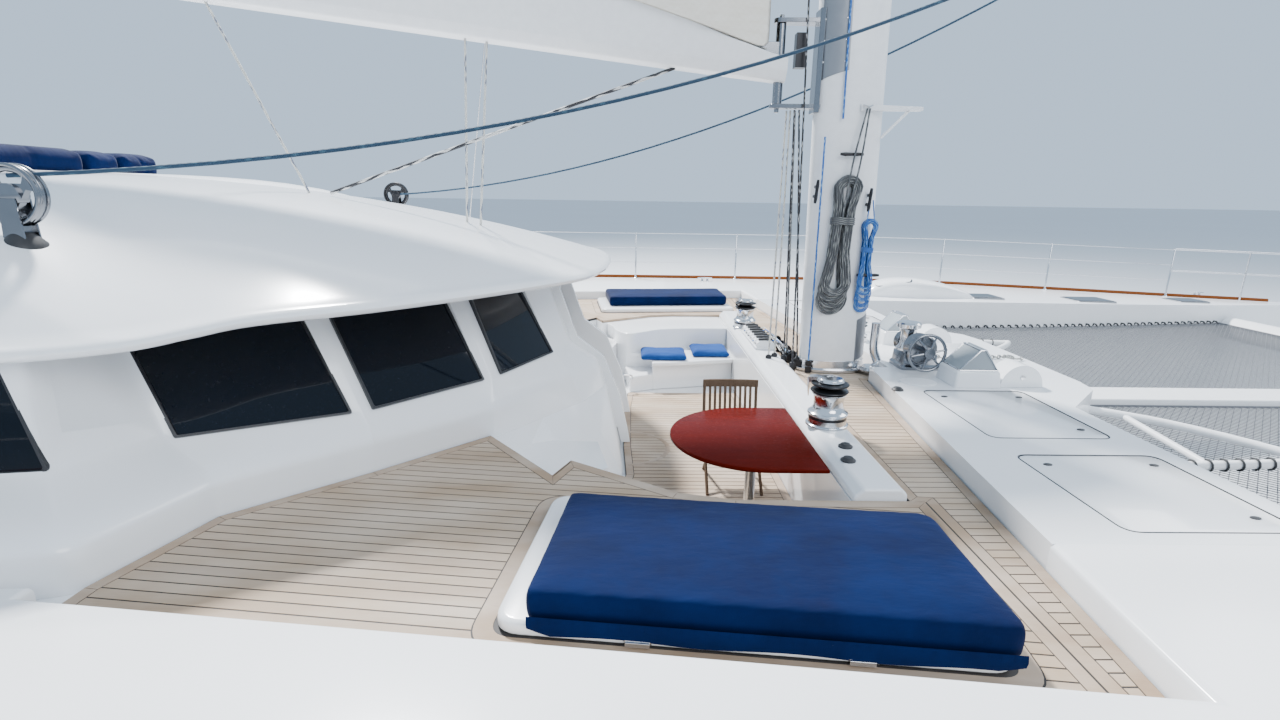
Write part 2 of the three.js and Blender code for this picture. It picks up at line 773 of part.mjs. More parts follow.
function mast() {
  const tube = loft(
    [MAST.foot, MAST_TAPER.start, MAST.top].map((z) =>
      oval(mastX(z), 0, z, MAST.chord * mastScale(z), MAST.thick * mastScale(z)),
    ),
  );
  const arms = SPREADERS.flatMap(({ z, reach }) =>
    [1, -1].map((side) =>
      loft([oval(0, 0, 0, 220, 70, 8), oval(0, 0, 0, 110, 40, 8)].map((ring, k) =>
        ring.map(([u, v]) => [mastX(z) + u - k * 380, side * (60 + k * reach), z + v + k * 60]),
      )),
    ),
  );
  const step = box(MAST.x - 400, MAST.x + 400, -250, 250, TEAK_TOP + GAP, 2240);
  const bracket = rod([mastX(5000) - 300, 0, 4700], [mastX(5000) - 300, 0, 5560], 60, 12);
  const lugs = [4760, 5500].map((z) => box(BOOM.pivotX - 70, mastX(z) - 200, -60, 60, z, z + 40));
  return fuse(tube, ...arms, step, bracket, ...lugs);
}

part("mast", "paint", mast());

const boomHeel = (distance) => BOOM.heel + distance * BOOM.rise;

function boom() {
  const sections = [
    { d: 180, low: 90, top: 230, depth: 380 },
    { d: 700, low: 120, top: 330, depth: BOOM.depth },
    { d: 6500, low: 120, top: 330, depth: BOOM.depth },
    { d: BOOM.length, low: 70, top: 180, depth: 300 },
  ];
  const trough = loft(
    sections.map(({ d, low, top, depth }) =>
      [
        [low, 0],
        [low + 60, 90],
        [top, depth],
        [-top, depth],
        [-low - 60, 90],
        [-low, 0],
      ].map(([y, z]) => [BOOM.pivotX - d, y, boomHeel(d) + z]),
    ),
  );
  const eye = rod([BOOM.pivotX, 0, 4800 + GAP], [BOOM.pivotX, 0, 5500 - GAP], 45, 12);
  const neck = box(BOOM.pivotX - 260, BOOM.pivotX, -40, 40, 5040, 5340);
  return fuse(trough, eye, neck);
}

part("boom", "paint", boom());

function stowedSail() {
  const sections = [
    { d: 420, half: 190, height: 760 },
    { d: 1200, half: 300, height: 640 },
    { d: 4500, half: 290, height: 520 },
    { d: 8200, half: 210, height: 330 },
    { d: BOOM.length - 500, half: 90, height: 120 },
  ];
  return loft(
    sections.map(({ d, half, height }) =>
      [
        [half, 0],
        [half * 1.02, height * 0.35],
        [half * 0.7, height * 0.8],
        [half * 0.25, height],
        [-half * 0.25, height],
        [-half * 0.7, height * 0.8],
        [-half * 1.02, height * 0.35],
        [-half, 0],
      ].map(([y, z]) => [BOOM.pivotX - d, y, boomHeel(d) + BOOM.depth + GAP + z]),
    ),
  );
}

part("stowed_mainsail", "canvas", stowedSail());

// Halyard hanks that hang against the starboard face of the mast.
const HANKS = [
  { name: "halyard_coil_grey", x0: 2690, x1: 3050, z0: 2790, z1: 4180, back: -170.3, thick: 120 },
  { name: "halyard_coil_blue", x0: 3075, x1: 3215, z0: 2810, z1: 3740, back: -158.3, thick: 70 },
];
for (const { name, x0, x1, z0, z1, back, thick } of HANKS) {
  part(name, "canvas", profile(rounded(x0, x1, z0, z1, (x1 - x0) / 2 - 1), back - thick, back));
}

const STAY = { foot: [BEAM_X - 60, 0, 2160], headZ: 28600 };
part(
  "furled_headsail",
  "canvas",
  (() => {
    const head = [mastX(STAY.headZ) + (MAST.chord / 2) * mastScale(STAY.headZ) + 15, 0, STAY.headZ];
    const at = (share) => STAY.foot.map((v, k) => v + (head[k] - v) * share);
    const sections = [
      { share: 0.004, r: 14 },
      { share: 0.03, r: 40 },
      { share: 0.09, r: 120 },
      { share: 0.5, r: 110 },
      { share: 0.93, r: 55 },
      { share: 0.95, r: 14 },
      { share: 1, r: 14 },
    ];
    return loft(sections.map(({ share, r }) => {
      const [x, y, z] = at(share);
      return oval(x, y, z, 2 * r, 2 * r, 10);
    }));
  })(),
);

const SHROUD = { x: -2400, y: 6180, headZ: 27000 };

function shroud() {
  const side = (MAST.thick / 2) * mastScale(SHROUD.headZ) + 2 * GAP;
  const head = [mastX(SHROUD.headZ), side + 20, SHROUD.headZ];
  const tang = box(head[0] - 40, head[0] + 40, side, side + 40, SHROUD.headZ - 90, SHROUD.headZ + 60);
  const plate = box(SHROUD.x - 60, SHROUD.x + 60, SHROUD.y - 12, SHROUD.y + 12, HULL_DECK + GAP, HULL_DECK + 170);
  const wire = rod([SHROUD.x, SHROUD.y, HULL_DECK + 60], head, 13, 6);
  const turnbuckle = rod(
    [SHROUD.x, SHROUD.y, HULL_DECK + 80],
    [SHROUD.x + 138, SHROUD.y - 171, HULL_DECK + 780],
    28,
    8,
  );
  return fuse(plate, wire, turnbuckle, tang);
}

part("shroud_port", "steel", shroud());
part("shroud_starboard", "steel", mirrored(shroud()));

// Foredeck moulding with its lockers, and the lids.
const LOCKERS = [
  { name: "inner", x0: 3380, x1: 4260, y0: 1220, y1: 2350 },
  { name: "outer", x0: 3360, x1: 4300, y0: 2640, y1: 3640 },
];
const LEDGE = 40;
const LID_THICK = 35;
const LID_CORNER = 90;

function foredeck() {
  const front = [
    [FOREDECK_FRONT, HULL_INNER - 1],
    [FOREDECK_FRONT, 1650],
    [4950, 1150],
    [5000, 900],
    [5000, 0],
  ];
  const aft = [
    [3400, 0],
    [3400, 450],
    [3220, 450],
    [2907, HULL_INNER - 1],
  ];
  const half = [...aft, ...front].slice(0, aft.length + front.length);
  const deck = slab(both(half), UNDERSIDE, HULL_DECK);
  const shelf = slab(
    both([
      [4300, 0],
      [4300, 2600],
      [4900, 2600],
      [4950, 0],
    ]),
    1500,
    2080,
  );
  const under = profile(
    [
      [3600, UNDERSIDE - 10],
      [5100, UNDERSIDE - 10],
      [5100, 1600],
      [4300, 1180],
    ],
    -4000,
    4000,
  );
  const wells = LOCKERS.flatMap(({ x0, x1, y0, y1 }) => {
    const rebate = slab(rounded(x0, x1, y0, y1, LID_CORNER), HULL_DECK - LID_THICK - GAP, 3000);
    const hole = slab(rounded(x0 + LEDGE, x1 - LEDGE, y0 + LEDGE, y1 - LEDGE, LID_CORNER - LEDGE), 1650, 3000);
    return [rebate, hole, mirrored(rebate), mirrored(hole)];
  });
  return cut(fuse(deck, shelf), under, ...wells);
}

part("foredeck", "gelcoat", foredeck());
for (const { name, x0, x1, y0, y1 } of LOCKERS) {
  const lid = slab(rounded(x0 + 8, x1 - 8, y0 + 8, y1 - 8, LID_CORNER - 8), HULL_DECK - LID_THICK, HULL_DECK);
  part(`locker_lid_${name}_port`, "gelcoat", lid);
  part(`locker_lid_${name}_starboard`, "gelcoat", mirrored(lid));
}

// Sun pads on hinged lids.
function aboutLid(geometry) {
  return geometry.rotateZ(LID.skew).translate(LID.x, LID.y, 0);
}

const lidOutline = rounded(-LID.length / 2, LID.length / 2, -LID.width / 2, LID.width / 2, LID.corner);
const PAD = { aft: -860, front: 1000, inner: -300, outer: 600, corner: 70, top: 2425 };
const lidShape = aboutLid(slab(lidOutline, LID.base, LID.top));
const padShape = aboutLid(slab(rounded(PAD.aft, PAD.front, PAD.inner, PAD.outer, PAD.corner), LID.top + GAP, PAD.top));
part("hatch_lid_port", "gelcoat", lidShape);
part("hatch_lid_starboard", "gelcoat", mirrored(lidShape));
part("sun_pad_port", "navy", padShape);
part("sun_pad_starboard", "navy", mirrored(padShape));

// Forward beam, longeron and nets.
part("forward_beam", "paint", betweenHulls(rod([BEAM_X, -4800, 1800], [BEAM_X, 4800, 1800], 190, 14)));
part(
  "longeron",
  "paint",
  cut(
    fuse(
      box(5000 + GAP, BEAM_X, -220, 220, 1500, 1960),
      box(BEAM_X - 160, BEAM_X + 40, -60, 60, 1900, 2150),
    ),
    moved(rod([BEAM_X, -4800, 1800], [BEAM_X, 4800, 1800], 191, 14), 0, 0, 0),
    foredeckBlock(),
  ),
);

function foredeckBlock() {
  return box(4000, 5000 + GAP, -3000, 3000, 900, 2400);
}

function net() {
  const outline = [
    [4951, 225],
    [4901, 2602],
    [FOREDECK_FRONT + 1, 2602],
    [FOREDECK_FRONT + 1, 5000],
    [BEAM_X - 171, 5000],
    [BEAM_X - 171, 225],
  ];
  return betweenHulls(slab(outline, NET_TOP - 20, NET_TOP));
}

const netShape = cut(net(), moved(foredeck(), 0.6, 0, 0), box(4000, 5001, -3000, 3000, 900, 2400));
part("net_port", "net", netShape);
part("net_starboard", "net", mirrored(netShape));

// Guardrails with their stanchions, three wires and the pulpit.
const STANCHIONS = [-11000, -9000, -7000, -5000, -3000, -1020, 960, 2940, 4970, 7000, 8960, 11070];

function sheerAt(x) {
  const k = Math.max(1, HULL_STATIONS.findIndex((station) => station.x >= x));
  const [a, b] = [HULL_STATIONS[k - 1], HULL_STATIONS[k]];
  const share = (x - a.x) / (b.x - a.x);
  return { deck: a.deck + (b.deck - a.deck) * share, sheer: a.sheer + (b.sheer - a.sheer) * share };
}

function railFoot(x) {
  const { deck, sheer } = sheerAt(x);
  return [x, HULL_Y + deck - 95, sheer];
}

function guardrail() {
  const feet = STANCHIONS.map(railFoot);
  const posts = feet.map(([x, y, z]) => rod([x, y, z + GAP], [x, y, z + RAIL_HEIGHT], 15, 8));
  const bases = feet.map(([x, y, z]) => rod([x, y, z + GAP], [x, y, z + 50], 34, 8));
  const wires = [0.35, 0.67, 0.985].flatMap((share) =>
    bent(feet.map(([x, y, z]) => [x, y, z + RAIL_HEIGHT * share]), 6, 5),
  );
  const bow = [11070, 12300, 13100].map(railFoot);
  const nose = [13350, HULL_Y, 2160];
  const tops = [...bow, nose].map(([x, y, z]) => [x, y, z + RAIL_HEIGHT]);
  const middle = [...bow, nose].map(([x, y, z]) => [x, y, z + RAIL_HEIGHT * 0.55]);
  const legs = bow.slice(1).map(([x, y, z]) => rod([x, y, z - 10 + 10 + GAP], [x, y, z + RAIL_HEIGHT], 16, 8));
  return fuse(...posts, ...bases, ...wires, ...bent(tops, 16, 8), ...bent(middle, 13, 8), ...legs);
}

const rail = cut(guardrail(), moved(portHull, 0, 0, GAP));
part("guardrail_port", "steel", rail);
part("guardrail_starboard", "steel", mirrored(rail));

// Winches, windlass, clutches and blocks.
const WINCH = [
  [0, 0],
  [1, 0],
  [1, 0.1],
  [0.72, 0.22],
  [0.68, 0.55],
  [0.95, 0.72],
  [0.95, 0.86],
  [0.6, 0.9],
  [0.45, 1],
  [0, 1],
];
const WINCHES = [
  { name: "winch_starboard", x: 2365, y: -1900, base: COAMING.top, radius: 160, height: 400 },
  { name: "winch_port", x: 2370, y: 1790, base: COAMING.top, radius: 155, height: 400 },
  { name: "winch_foredeck", x: 3520, y: 780, base: HULL_DECK, radius: 110, height: 260 },
];
for (const { name, x, y, base, radius, height } of WINCHES) {
  part(name, "steel", turned(WINCH.map(([r, z]) => [r * radius, base + GAP + z * height]), x, y));
}

const WINDLASS = { x: 3640, y: -420 };
part(
  "windlass",
  "steel",
  fuse(
    box(WINDLASS.x - 160, WINDLASS.x + 220, WINDLASS.y - 150, WINDLASS.y + 190, HULL_DECK + GAP, HULL_DECK + 170),
    rod([WINDLASS.x, WINDLASS.y - 330, 2560], [WINDLASS.x, WINDLASS.y + 200, 2560], 45, 12),
    rod([WINDLASS.x, WINDLASS.y - 60, 2560], [WINDLASS.x, WINDLASS.y + 120, 2560], 120, 16),
    moved(new THREE.TorusGeometry(170, 14, 8, 24).rotateX(Math.PI / 2), WINDLASS.x, WINDLASS.y - 300, 2560),
    ...[0, 1, 2, 3].map((k) => {
      const [dx, dz] = [Math.cos((k * Math.PI) / 4) * 170, Math.sin((k * Math.PI) / 4) * 170];
      return rod(
        [WINDLASS.x - dx, WINDLASS.y - 300, 2560 - dz],
        [WINDLASS.x + dx, WINDLASS.y - 300, 2560 + dz],
        9,
        6,
      );
    }),
    box(WINDLASS.x - 60, WINDLASS.x + 60, WINDLASS.y - 60, WINDLASS.y + 120, HULL_DECK + 100, 2560),
  ),
);
part(
  "clutch_bank",
  "paint",
  fuse(
    box(2270, 2500, 500, 1500, COAMING.top + GAP, COAMING.top + 30),
    ...[560, 700, 840, 980, 1120, 1260, 1400].map((y) => box(2290, 2480, y - 45, y + 45, COAMING.top + 20, 2370)),
  ),
);
const BLOCK = { x: -2500, y: -2900, sheave: 3910 };
part(
  "roof_turning_block",
  "steel",
  cut(
    fuse(
      rod([BLOCK.x, BLOCK.y, BLOCK.sheave - 600], [BLOCK.x, BLOCK.y, BLOCK.sheave - 90], 60, 12),
      rod([BLOCK.x, BLOCK.y - 30, BLOCK.sheave], [BLOCK.x, BLOCK.y + 30, BLOCK.sheave], 105, 20),
    ),
    moved(loft(roofTop()), 0, 0, GAP),
  ),
);

// Table and chair of the forward cockpit.
const TABLE = { x0: 1150, x1: 2130, y: -2160, half: 610, top: 2280, thick: 32 };

function tableTop() {
  const straight = TABLE.x0 + TABLE.half;
  const arc = Array.from({ length: 13 }, (_, k) => {
    const a = Math.PI / 2 + (Math.PI * k) / 12;
    return [straight + TABLE.half * Math.cos(a), TABLE.y + TABLE.half * Math.sin(a)];
  });
  return slab([[TABLE.x1, TABLE.y - TABLE.half], [TABLE.x1, TABLE.y + TABLE.half], ...arc], TABLE.top - TABLE.thick, TABLE.top);
}

part("table_top", "mahogany", tableTop());
part(
  "table_pedestal",
  "steel",
  fuse(
    rod([1750, TABLE.y, WELL_SOLE + GAP], [1750, TABLE.y, TABLE.top - TABLE.thick - GAP], 38, 12),
    rod([1750, TABLE.y, WELL_SOLE + GAP], [1750, TABLE.y, WELL_SOLE + 14], 170, 20),
    rod([1750, TABLE.y, TABLE.top - TABLE.thick - 12], [1750, TABLE.y, TABLE.top - TABLE.thick - GAP], 120, 20),
  ),
);

const CHAIR = { x: 1735, y: -1180, half: 240, seat: 1980, top: 2400 };

function chair() {
  const { x, y, half, seat, top } = CHAIR;
  const sides = [-1, 1].flatMap((side) => {
    const sx = x + side * (half - 14);
    return [
      ...bent([[sx, y - 470, WELL_SOLE + 8], [sx, y - 60, seat], [sx, y + 20, top]], 13, 6),
      ...bent([[sx - side * 26, y + 60, WELL_SOLE + 8], [sx - side * 26, y - 400, seat]], 13, 6),
    ];
  });
  const slats = [0, 1, 2, 3, 4, 5].map((k) => box(x - half, x + half, y - 440 + k * 70, y - 385 + k * 70, seat - 8, seat + 14));
  const bars = [
    box(x - half, x + half, y - 14, y + 34, top - 60, top),
    box(x - half, x + half, y - 45, y - 15, seat + 80, seat + 120),
    box(x - half, x + half, y - 440, y - 30, seat - 8, seat + 2),
    rod([x - half, y - 200, 1770], [x + half, y - 200, 1770], 10, 6),
  ];
  const uprights = [-150, -75, 0, 75, 150].map((dx) => {
    return rod([x + dx, y - 28, seat + 90], [x + dx, y + 10, top - 30], 12, 6);
  });
  return cut(fuse(...sides, ...slats, ...bars, ...uprights), box(0, 4000, -3000, 0, 1400, WELL_SOLE + GAP));
}

part("chair", "chairWood", chair());

// Aft cockpit bench.
part(
  "aft_bench",
  "gelcoat",
  fuse(
    box(-10400, -8000, 2500, 3290, SALOON_SOLE + GAP, 2120),
    box(-10400, -8000, 3130, 3290, 2000, 2560),
  ),
);
part("aft_bench_cushion", "navy", box(-10380, -8020, 2520, 3110, 2120 + GAP, 2200));

// Rudders and propellers.

function rudder() {
  const blade = loft(
    [
      { z: RUDDER.top, chord: 760, half: 45 },
      { z: RUDDER.tip, chord: 520, half: 28 },
    ].map(({ z, chord, half }) => [
      [RUDDER.x + chord * 0.3, HULL_Y, z],
      [RUDDER.x + chord * 0.1, HULL_Y + half, z],
      [RUDDER.x - chord * 0.7, HULL_Y, z],
      [RUDDER.x + chord * 0.1, HULL_Y - half, z],
    ]),
  );
  return fuse(blade, rod([RUDDER.x, HULL_Y, -700], [RUDDER.x, HULL_Y, RUDDER.top + 35 - GAP], 36, 10));
}

part("rudder_port", "paint", rudder());
part("rudder_starboard", "paint", mirrored(rudder()));

function propeller() {
  const hub = rod([-9240 - GAP, HULL_Y, -1180], [-9400, HULL_Y, -1180], 60, 12, 35);
  const blades = [0, 1, 2].map((k) => {
    const blade = loft(
      [
        { r: 20, half: 45 },
        { r: 160, half: 95 },
        { r: 290, half: 40 },
      ].map(({ r, half }) => [
        [-half * 0.5, -half, r],
        [12, 0, r],
        [half * 0.5, half, r],
        [-12, 0, r],
      ]),
    );
    return blade.rotateX((2 * Math.PI * k) / 3).translate(-9310, HULL_Y, -1180);
  });
  return fuse(hub, ...blades);
}

part("propeller_port", "bronze", propeller());
part("propeller_starboard", "bronze", mirrored(propeller()));

export default group;
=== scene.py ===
"""Looks of the sailing catamaran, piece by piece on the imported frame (metres, +X bow, +Y port, +Z up)."""

from __future__ import annotations

import logging
import math
from dataclasses import dataclass, field
from enum import Enum
from typing import Callable, Iterable, Sequence

import bmesh
import bpy
from mathutils import Matrix, Vector


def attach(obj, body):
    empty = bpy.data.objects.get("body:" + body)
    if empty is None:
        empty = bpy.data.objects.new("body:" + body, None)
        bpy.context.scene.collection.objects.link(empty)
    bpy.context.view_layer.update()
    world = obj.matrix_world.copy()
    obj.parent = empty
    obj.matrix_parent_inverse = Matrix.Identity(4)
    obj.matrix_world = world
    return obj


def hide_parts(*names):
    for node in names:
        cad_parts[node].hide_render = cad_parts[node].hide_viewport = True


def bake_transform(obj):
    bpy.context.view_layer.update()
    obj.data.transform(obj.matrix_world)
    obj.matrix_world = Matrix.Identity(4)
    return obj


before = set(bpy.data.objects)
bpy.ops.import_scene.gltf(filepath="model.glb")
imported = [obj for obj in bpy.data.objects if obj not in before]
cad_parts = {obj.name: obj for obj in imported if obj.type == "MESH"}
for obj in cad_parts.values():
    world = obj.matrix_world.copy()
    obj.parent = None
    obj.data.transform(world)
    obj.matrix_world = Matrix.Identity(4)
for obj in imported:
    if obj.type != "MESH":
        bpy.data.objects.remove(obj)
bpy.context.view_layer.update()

log = logging.getLogger("catamaran")

Point = tuple[float, float, float]
Plan = tuple[float, float]
Colour = tuple[float, float, float]

# Names of the frame, and the driving dimensions of the part in metres
PLATFORM = "platform"
HULL_Y = 5.05
HULL_DECK = 2.34
TEAK_TOP = 2.2
WELL_SOLE = 1.54
SKEW = 0.115
PLANK = 0.073
PLANK_TURN = math.radians(7.0)
PLANK_DEPTH = 0.02
SEAM = 0.0095
SEAT_GAP = 0.0003

# Levels and places that several assemblies share; gear stands a hair above the solids
DECK_GEAR = 2.3403
COAMING_GEAR = 2.2703
MAST_BED = 2.2065
NET_LEVEL = 1.89
RUDDER_X = -11.3
SHAFT_Z = -1.18


class Side(Enum):
    """The two sides of the boat; the value is the sign of Y."""

    PORT = 1
    STARBOARD = -1

    @property
    def tag(self) -> str:
        """The side's word in the names of nodes and bodies."""
        return self.name.lower()


class Slot(Enum):
    """The record's material slots."""

    GELCOAT = "gelcoat"
    TEAK = "teak"
    SEAT = "seat_fabric"
    NAVY = "navy_fabric"
    GLASS = "tinted_glass"
    STEEL = "stainless"
    SPAR = "mast_paint"
    SAIL = "sailcloth"
    NET = "net"
    BLACK = "black_plastic"
    MAHOGANY = "mahogany"
    CHAIR = "weathered_wood"
    BOTTOM = "antifouling"
    BRONZE = "bronze"
    GREYROPE = "grey_rope"
    BLUEROPE = "blue_rope"


# ---- Shader expressions


class Sock:
    """A shader socket that takes part in Python arithmetic."""

    def __init__(self, graph: "Graph", socket: bpy.types.NodeSocket) -> None:
        """Wraps a socket.

        Args:
            graph: The material graph that the socket belongs to.
            socket: The output socket.
        """
        self.graph = graph
        self.socket = socket

    def _op(self, operation: str, first: "Value", second: "Value") -> "Sock":
        """Adds a Math node.

        Args:
            operation: The Math node's operation.
            first: Its first value.
            second: Its second value.

        Returns:
            The result's socket.
        """
        return self.graph.node("ShaderNodeMath", {"operation": operation}, {0: first, 1: second})

    def __add__(self, other: "Value") -> "Sock":
        """Sum."""
        return self._op("ADD", self, other)

    __radd__ = __add__

    def __sub__(self, other: "Value") -> "Sock":
        """Difference."""
        return self._op("SUBTRACT", self, other)

    def __rsub__(self, other: "Value") -> "Sock":
        """Reflected difference."""
        return self._op("SUBTRACT", other, self)

    def __mul__(self, other: "Value") -> "Sock":
        """Product."""
        return self._op("MULTIPLY", self, other)

    __rmul__ = __mul__

    def __truediv__(self, other: "Value") -> "Sock":
        """Quotient."""
        return self._op("DIVIDE", self, other)

    def __gt__(self, other: "Value") -> "Sock":
        """One where this is greater."""
        return self._op("GREATER_THAN", self, other)

    def __lt__(self, other: "Value") -> "Sock":
        """One where this is less."""
        return self._op("LESS_THAN", self, other)

    def floor(self) -> "Sock":
        """Whole part."""
        return self._op("FLOOR", self, 0.0)

    def fract(self) -> "Sock":
        """Fraction."""
        return self._op("FRACT", self, 0.0)

    def sine(self) -> "Sock":
        """Sine."""
        return self._op("SINE", self, 0.0)

    def size(self) -> "Sock":
        """Absolute value."""
        return self._op("ABSOLUTE", self, 0.0)


Value = Sock | float | tuple


class Graph:
    """A material's node tree with one Principled shader."""

    def __init__(self, name: str) -> None:
        """Makes the material.

        Args:
            name: The material's name.
        """
        self.material = bpy.data.materials.new(name)
        self.material.use_nodes = True
        self.tree = self.material.node_tree
        self.tree.nodes.clear()
        self.shader = self.tree.nodes.new("ShaderNodeBsdfPrincipled")
        out = self.tree.nodes.new("ShaderNodeOutputMaterial")
        self.tree.links.new(self.shader.outputs[0], out.inputs[0])

    def node(
        self, kind: str, settings: dict | None = None, inputs: dict | None = None, out: int | str = 0
    ) -> Sock:
        """Adds any node.

        Args:
            kind: The node's type.
            settings: Its properties, set first; "stops" gives a ramp's stops.
            inputs: Values or links by the socket's name or number.
            out: The output wanted.

        Returns:
            The output's socket.
        """
        made = self.tree.nodes.new(kind)
        for key, value in (settings or {}).items():
            if key == "stops":
                ramp = made.color_ramp
                while len(ramp.elements) < len(value):
                    ramp.elements.new(0.5)
                for element, (place, colour) in zip(ramp.elements, value):
                    element.position = place
                    element.color = (*colour, 1.0) if isinstance(colour, tuple) else (
                        colour, colour, colour, 1.0
                    )
            else:
                setattr(made, key, value)
        for key, value in (inputs or {}).items():
            self.feed(made.inputs[key], value)
        return Sock(self, made.outputs[out])

    def feed(self, socket: bpy.types.NodeSocket, value: Value) -> None:
        """Links a socket to a shader expression, or sets it to a number or a colour."""
        if isinstance(value, Sock):
            self.tree.links.new(value.socket, socket)
        elif isinstance(value, tuple) and len(value) == 3 and socket.type == "RGBA":
            socket.default_value = (*value, 1.0)
        else:
            socket.default_value = value

    def place(self, turn: float = 0.0, stretch: Point = (1.0, 1.0, 1.0)) -> Sock:
        """Object coordinates, turned about Z and scaled.

        Args:
            turn: The angle in radians.
            stretch: The scale of each axis.

        Returns:
            The vector.
        """
        source = self.node("ShaderNodeTexCoord", out="Object")
        return self.node(
            "ShaderNodeMapping", None, {"Vector": source, "Rotation": (0.0, 0.0, turn), "Scale": stretch}
        )

    def uv(self, stretch: Point = (1.0, 1.0, 1.0)) -> Sock:
        """The piece's own UV map, scaled."""
        source = self.node("ShaderNodeTexCoord", out="UV")
        return self.node("ShaderNodeMapping", None, {"Vector": source, "Scale": stretch})

    def split(self, vector: Sock) -> tuple[Sock, Sock, Sock]:
        """The three parts of a vector.

        Args:
            vector: The vector.

        Returns:
            Its X, Y and Z.
        """
        made = self.tree.nodes.new("ShaderNodeSeparateXYZ")
        self.tree.links.new(vector.socket, made.inputs[0])
        return tuple(Sock(self, made.outputs[k]) for k in range(3))

    def noise(self, vector: Sock, scale: float, detail: float = 3.0, rough: float = 0.5) -> Sock:
        """Fractal noise from 0 to 1."""
        return self.node(
            "ShaderNodeTexNoise", None, {
                "Vector": vector, "Scale": scale, "Detail": detail, "Roughness": rough
            }
        )

    def ramp(self, factor: Sock, stops: list) -> Sock:
        """A colour ramp over a factor."""
        return self.node("ShaderNodeValToRGB", {"stops": stops}, {"Fac": factor})

    def mix(self, factor: Value, first: Value, second: Value) -> Sock:
        """Blends two colours."""
        return self.node(
            "ShaderNodeMix", {"data_type": "RGBA"}, {0: factor, 6: first, 7: second}, out=2
        )

    def bump(self, height: Sock, strength: float, distance: float, under: Sock | None = None) -> Sock:
        """A bump over a height.

        Args:
            height: The height.
            strength: How much of it shows.
            distance: Its depth in metres.
            under: A bump that lies under it.

        Returns:
            The normal.
        """
        inputs = {"Height": height, "Strength": strength, "Distance": distance}
        if under is not None:
            inputs["Normal"] = under
        return self.node("ShaderNodeBump", None, inputs)

    def dress(self, **values: Value) -> bpy.types.Material:
        """Sets the shader's sockets, named with _ for a space.

        Args:
            values: A number, a colour or a link for each socket.

        Returns:
            The finished material.
        """
        for key, value in values.items():
            self.feed(self.shader.inputs[key.replace("_", " ")], value)
        return self.material


# ---- Finishes


def scaled(values: Point, share: float) -> Point:
    """A colour or a stretch times a number."""
    return tuple(share * value for value in values)


@dataclass(frozen=True)
class Finish:
    """A named finish; each kind fills in its own graph."""

    name: str

    def material(self) -> bpy.types.Material:
        """The finish's material, made once."""
        found = bpy.data.materials.get(self.name)
        return found if found else self.build(Graph(self.name))

    def build(self, graph: Graph) -> bpy.types.Material:
        """Fills the graph and returns its material.

        Args:
            graph: The graph.

        Returns:
            The material.
        """
        raise NotImplementedError


@dataclass(frozen=True)
class Gelcoat(Finish):
    """Polished white moulding, with faint clouding and a trace of salt."""

    tint: Colour = (0.86, 0.872, 0.885)
    rough: float = 0.2

    def build(self, graph: Graph) -> bpy.types.Material:
        """Fills the graph and returns its material."""
        at = graph.place()
        cloud = graph.noise(at, 0.9, 4.0)
        salt = graph.noise(at, 34.0, 5.0, 0.7)
        shade = scaled(self.tint, 0.955)
        base = graph.mix(cloud, shade, self.tint)
        base = graph.mix(graph.ramp(salt, [(0.55, 0.0), (0.8, 0.22)]), base, (0.9, 0.905, 0.91))
        rough = cloud * 0.07 + salt * 0.05 + (self.rough - 0.06)
        ripple = graph.bump(graph.noise(at, 5.0, 2.0), 0.06, 0.004)
        peel = graph.bump(graph.noise(at, 260.0, 2.0), 0.04, 0.0006, ripple)
        return graph.dress(
            Base_Color=base, Roughness=rough, Normal=peel, Coat_Weight=0.35, Coat_Roughness=0.06
        )


@dataclass(frozen=True)
class HullPaint(Gelcoat):
    """White topsides over a boot stripe and dark bottom paint."""

    def build(self, graph: Graph) -> bpy.types.Material:
        """Fills the graph and returns its material."""
        at = graph.place()
        _, _, height = graph.split(at)
        cloud = graph.noise(at, 0.7, 4.0)
        grime = graph.noise(at, 9.0, 5.0, 0.65)
        white = graph.mix(cloud, scaled(self.tint, 0.955), self.tint)
        stain = graph.ramp(height + grime * 0.22, [(0.12, 1.0), (0.42, 0.0)])
        white = graph.mix(stain * 0.35, white, (0.62, 0.6, 0.53))
        bottom = graph.mix(grime, (0.012, 0.03, 0.075), (0.03, 0.055, 0.11))
        under = height < 0.04
        stripe = (height < 0.13) * (1.0 - under)
        base = graph.mix(under, graph.mix(stripe, white, (0.02, 0.05, 0.14)), bottom)
        rough = under * (grime * 0.3 + 0.35) + (cloud * 0.07 + 0.16)
        bump = graph.bump(graph.noise(at, 40.0, 4.0), under * 0.3 + 0.03, 0.002)
        return graph.dress(Base_Color=base, Roughness=rough, Normal=bump, Coat_Roughness=0.06)


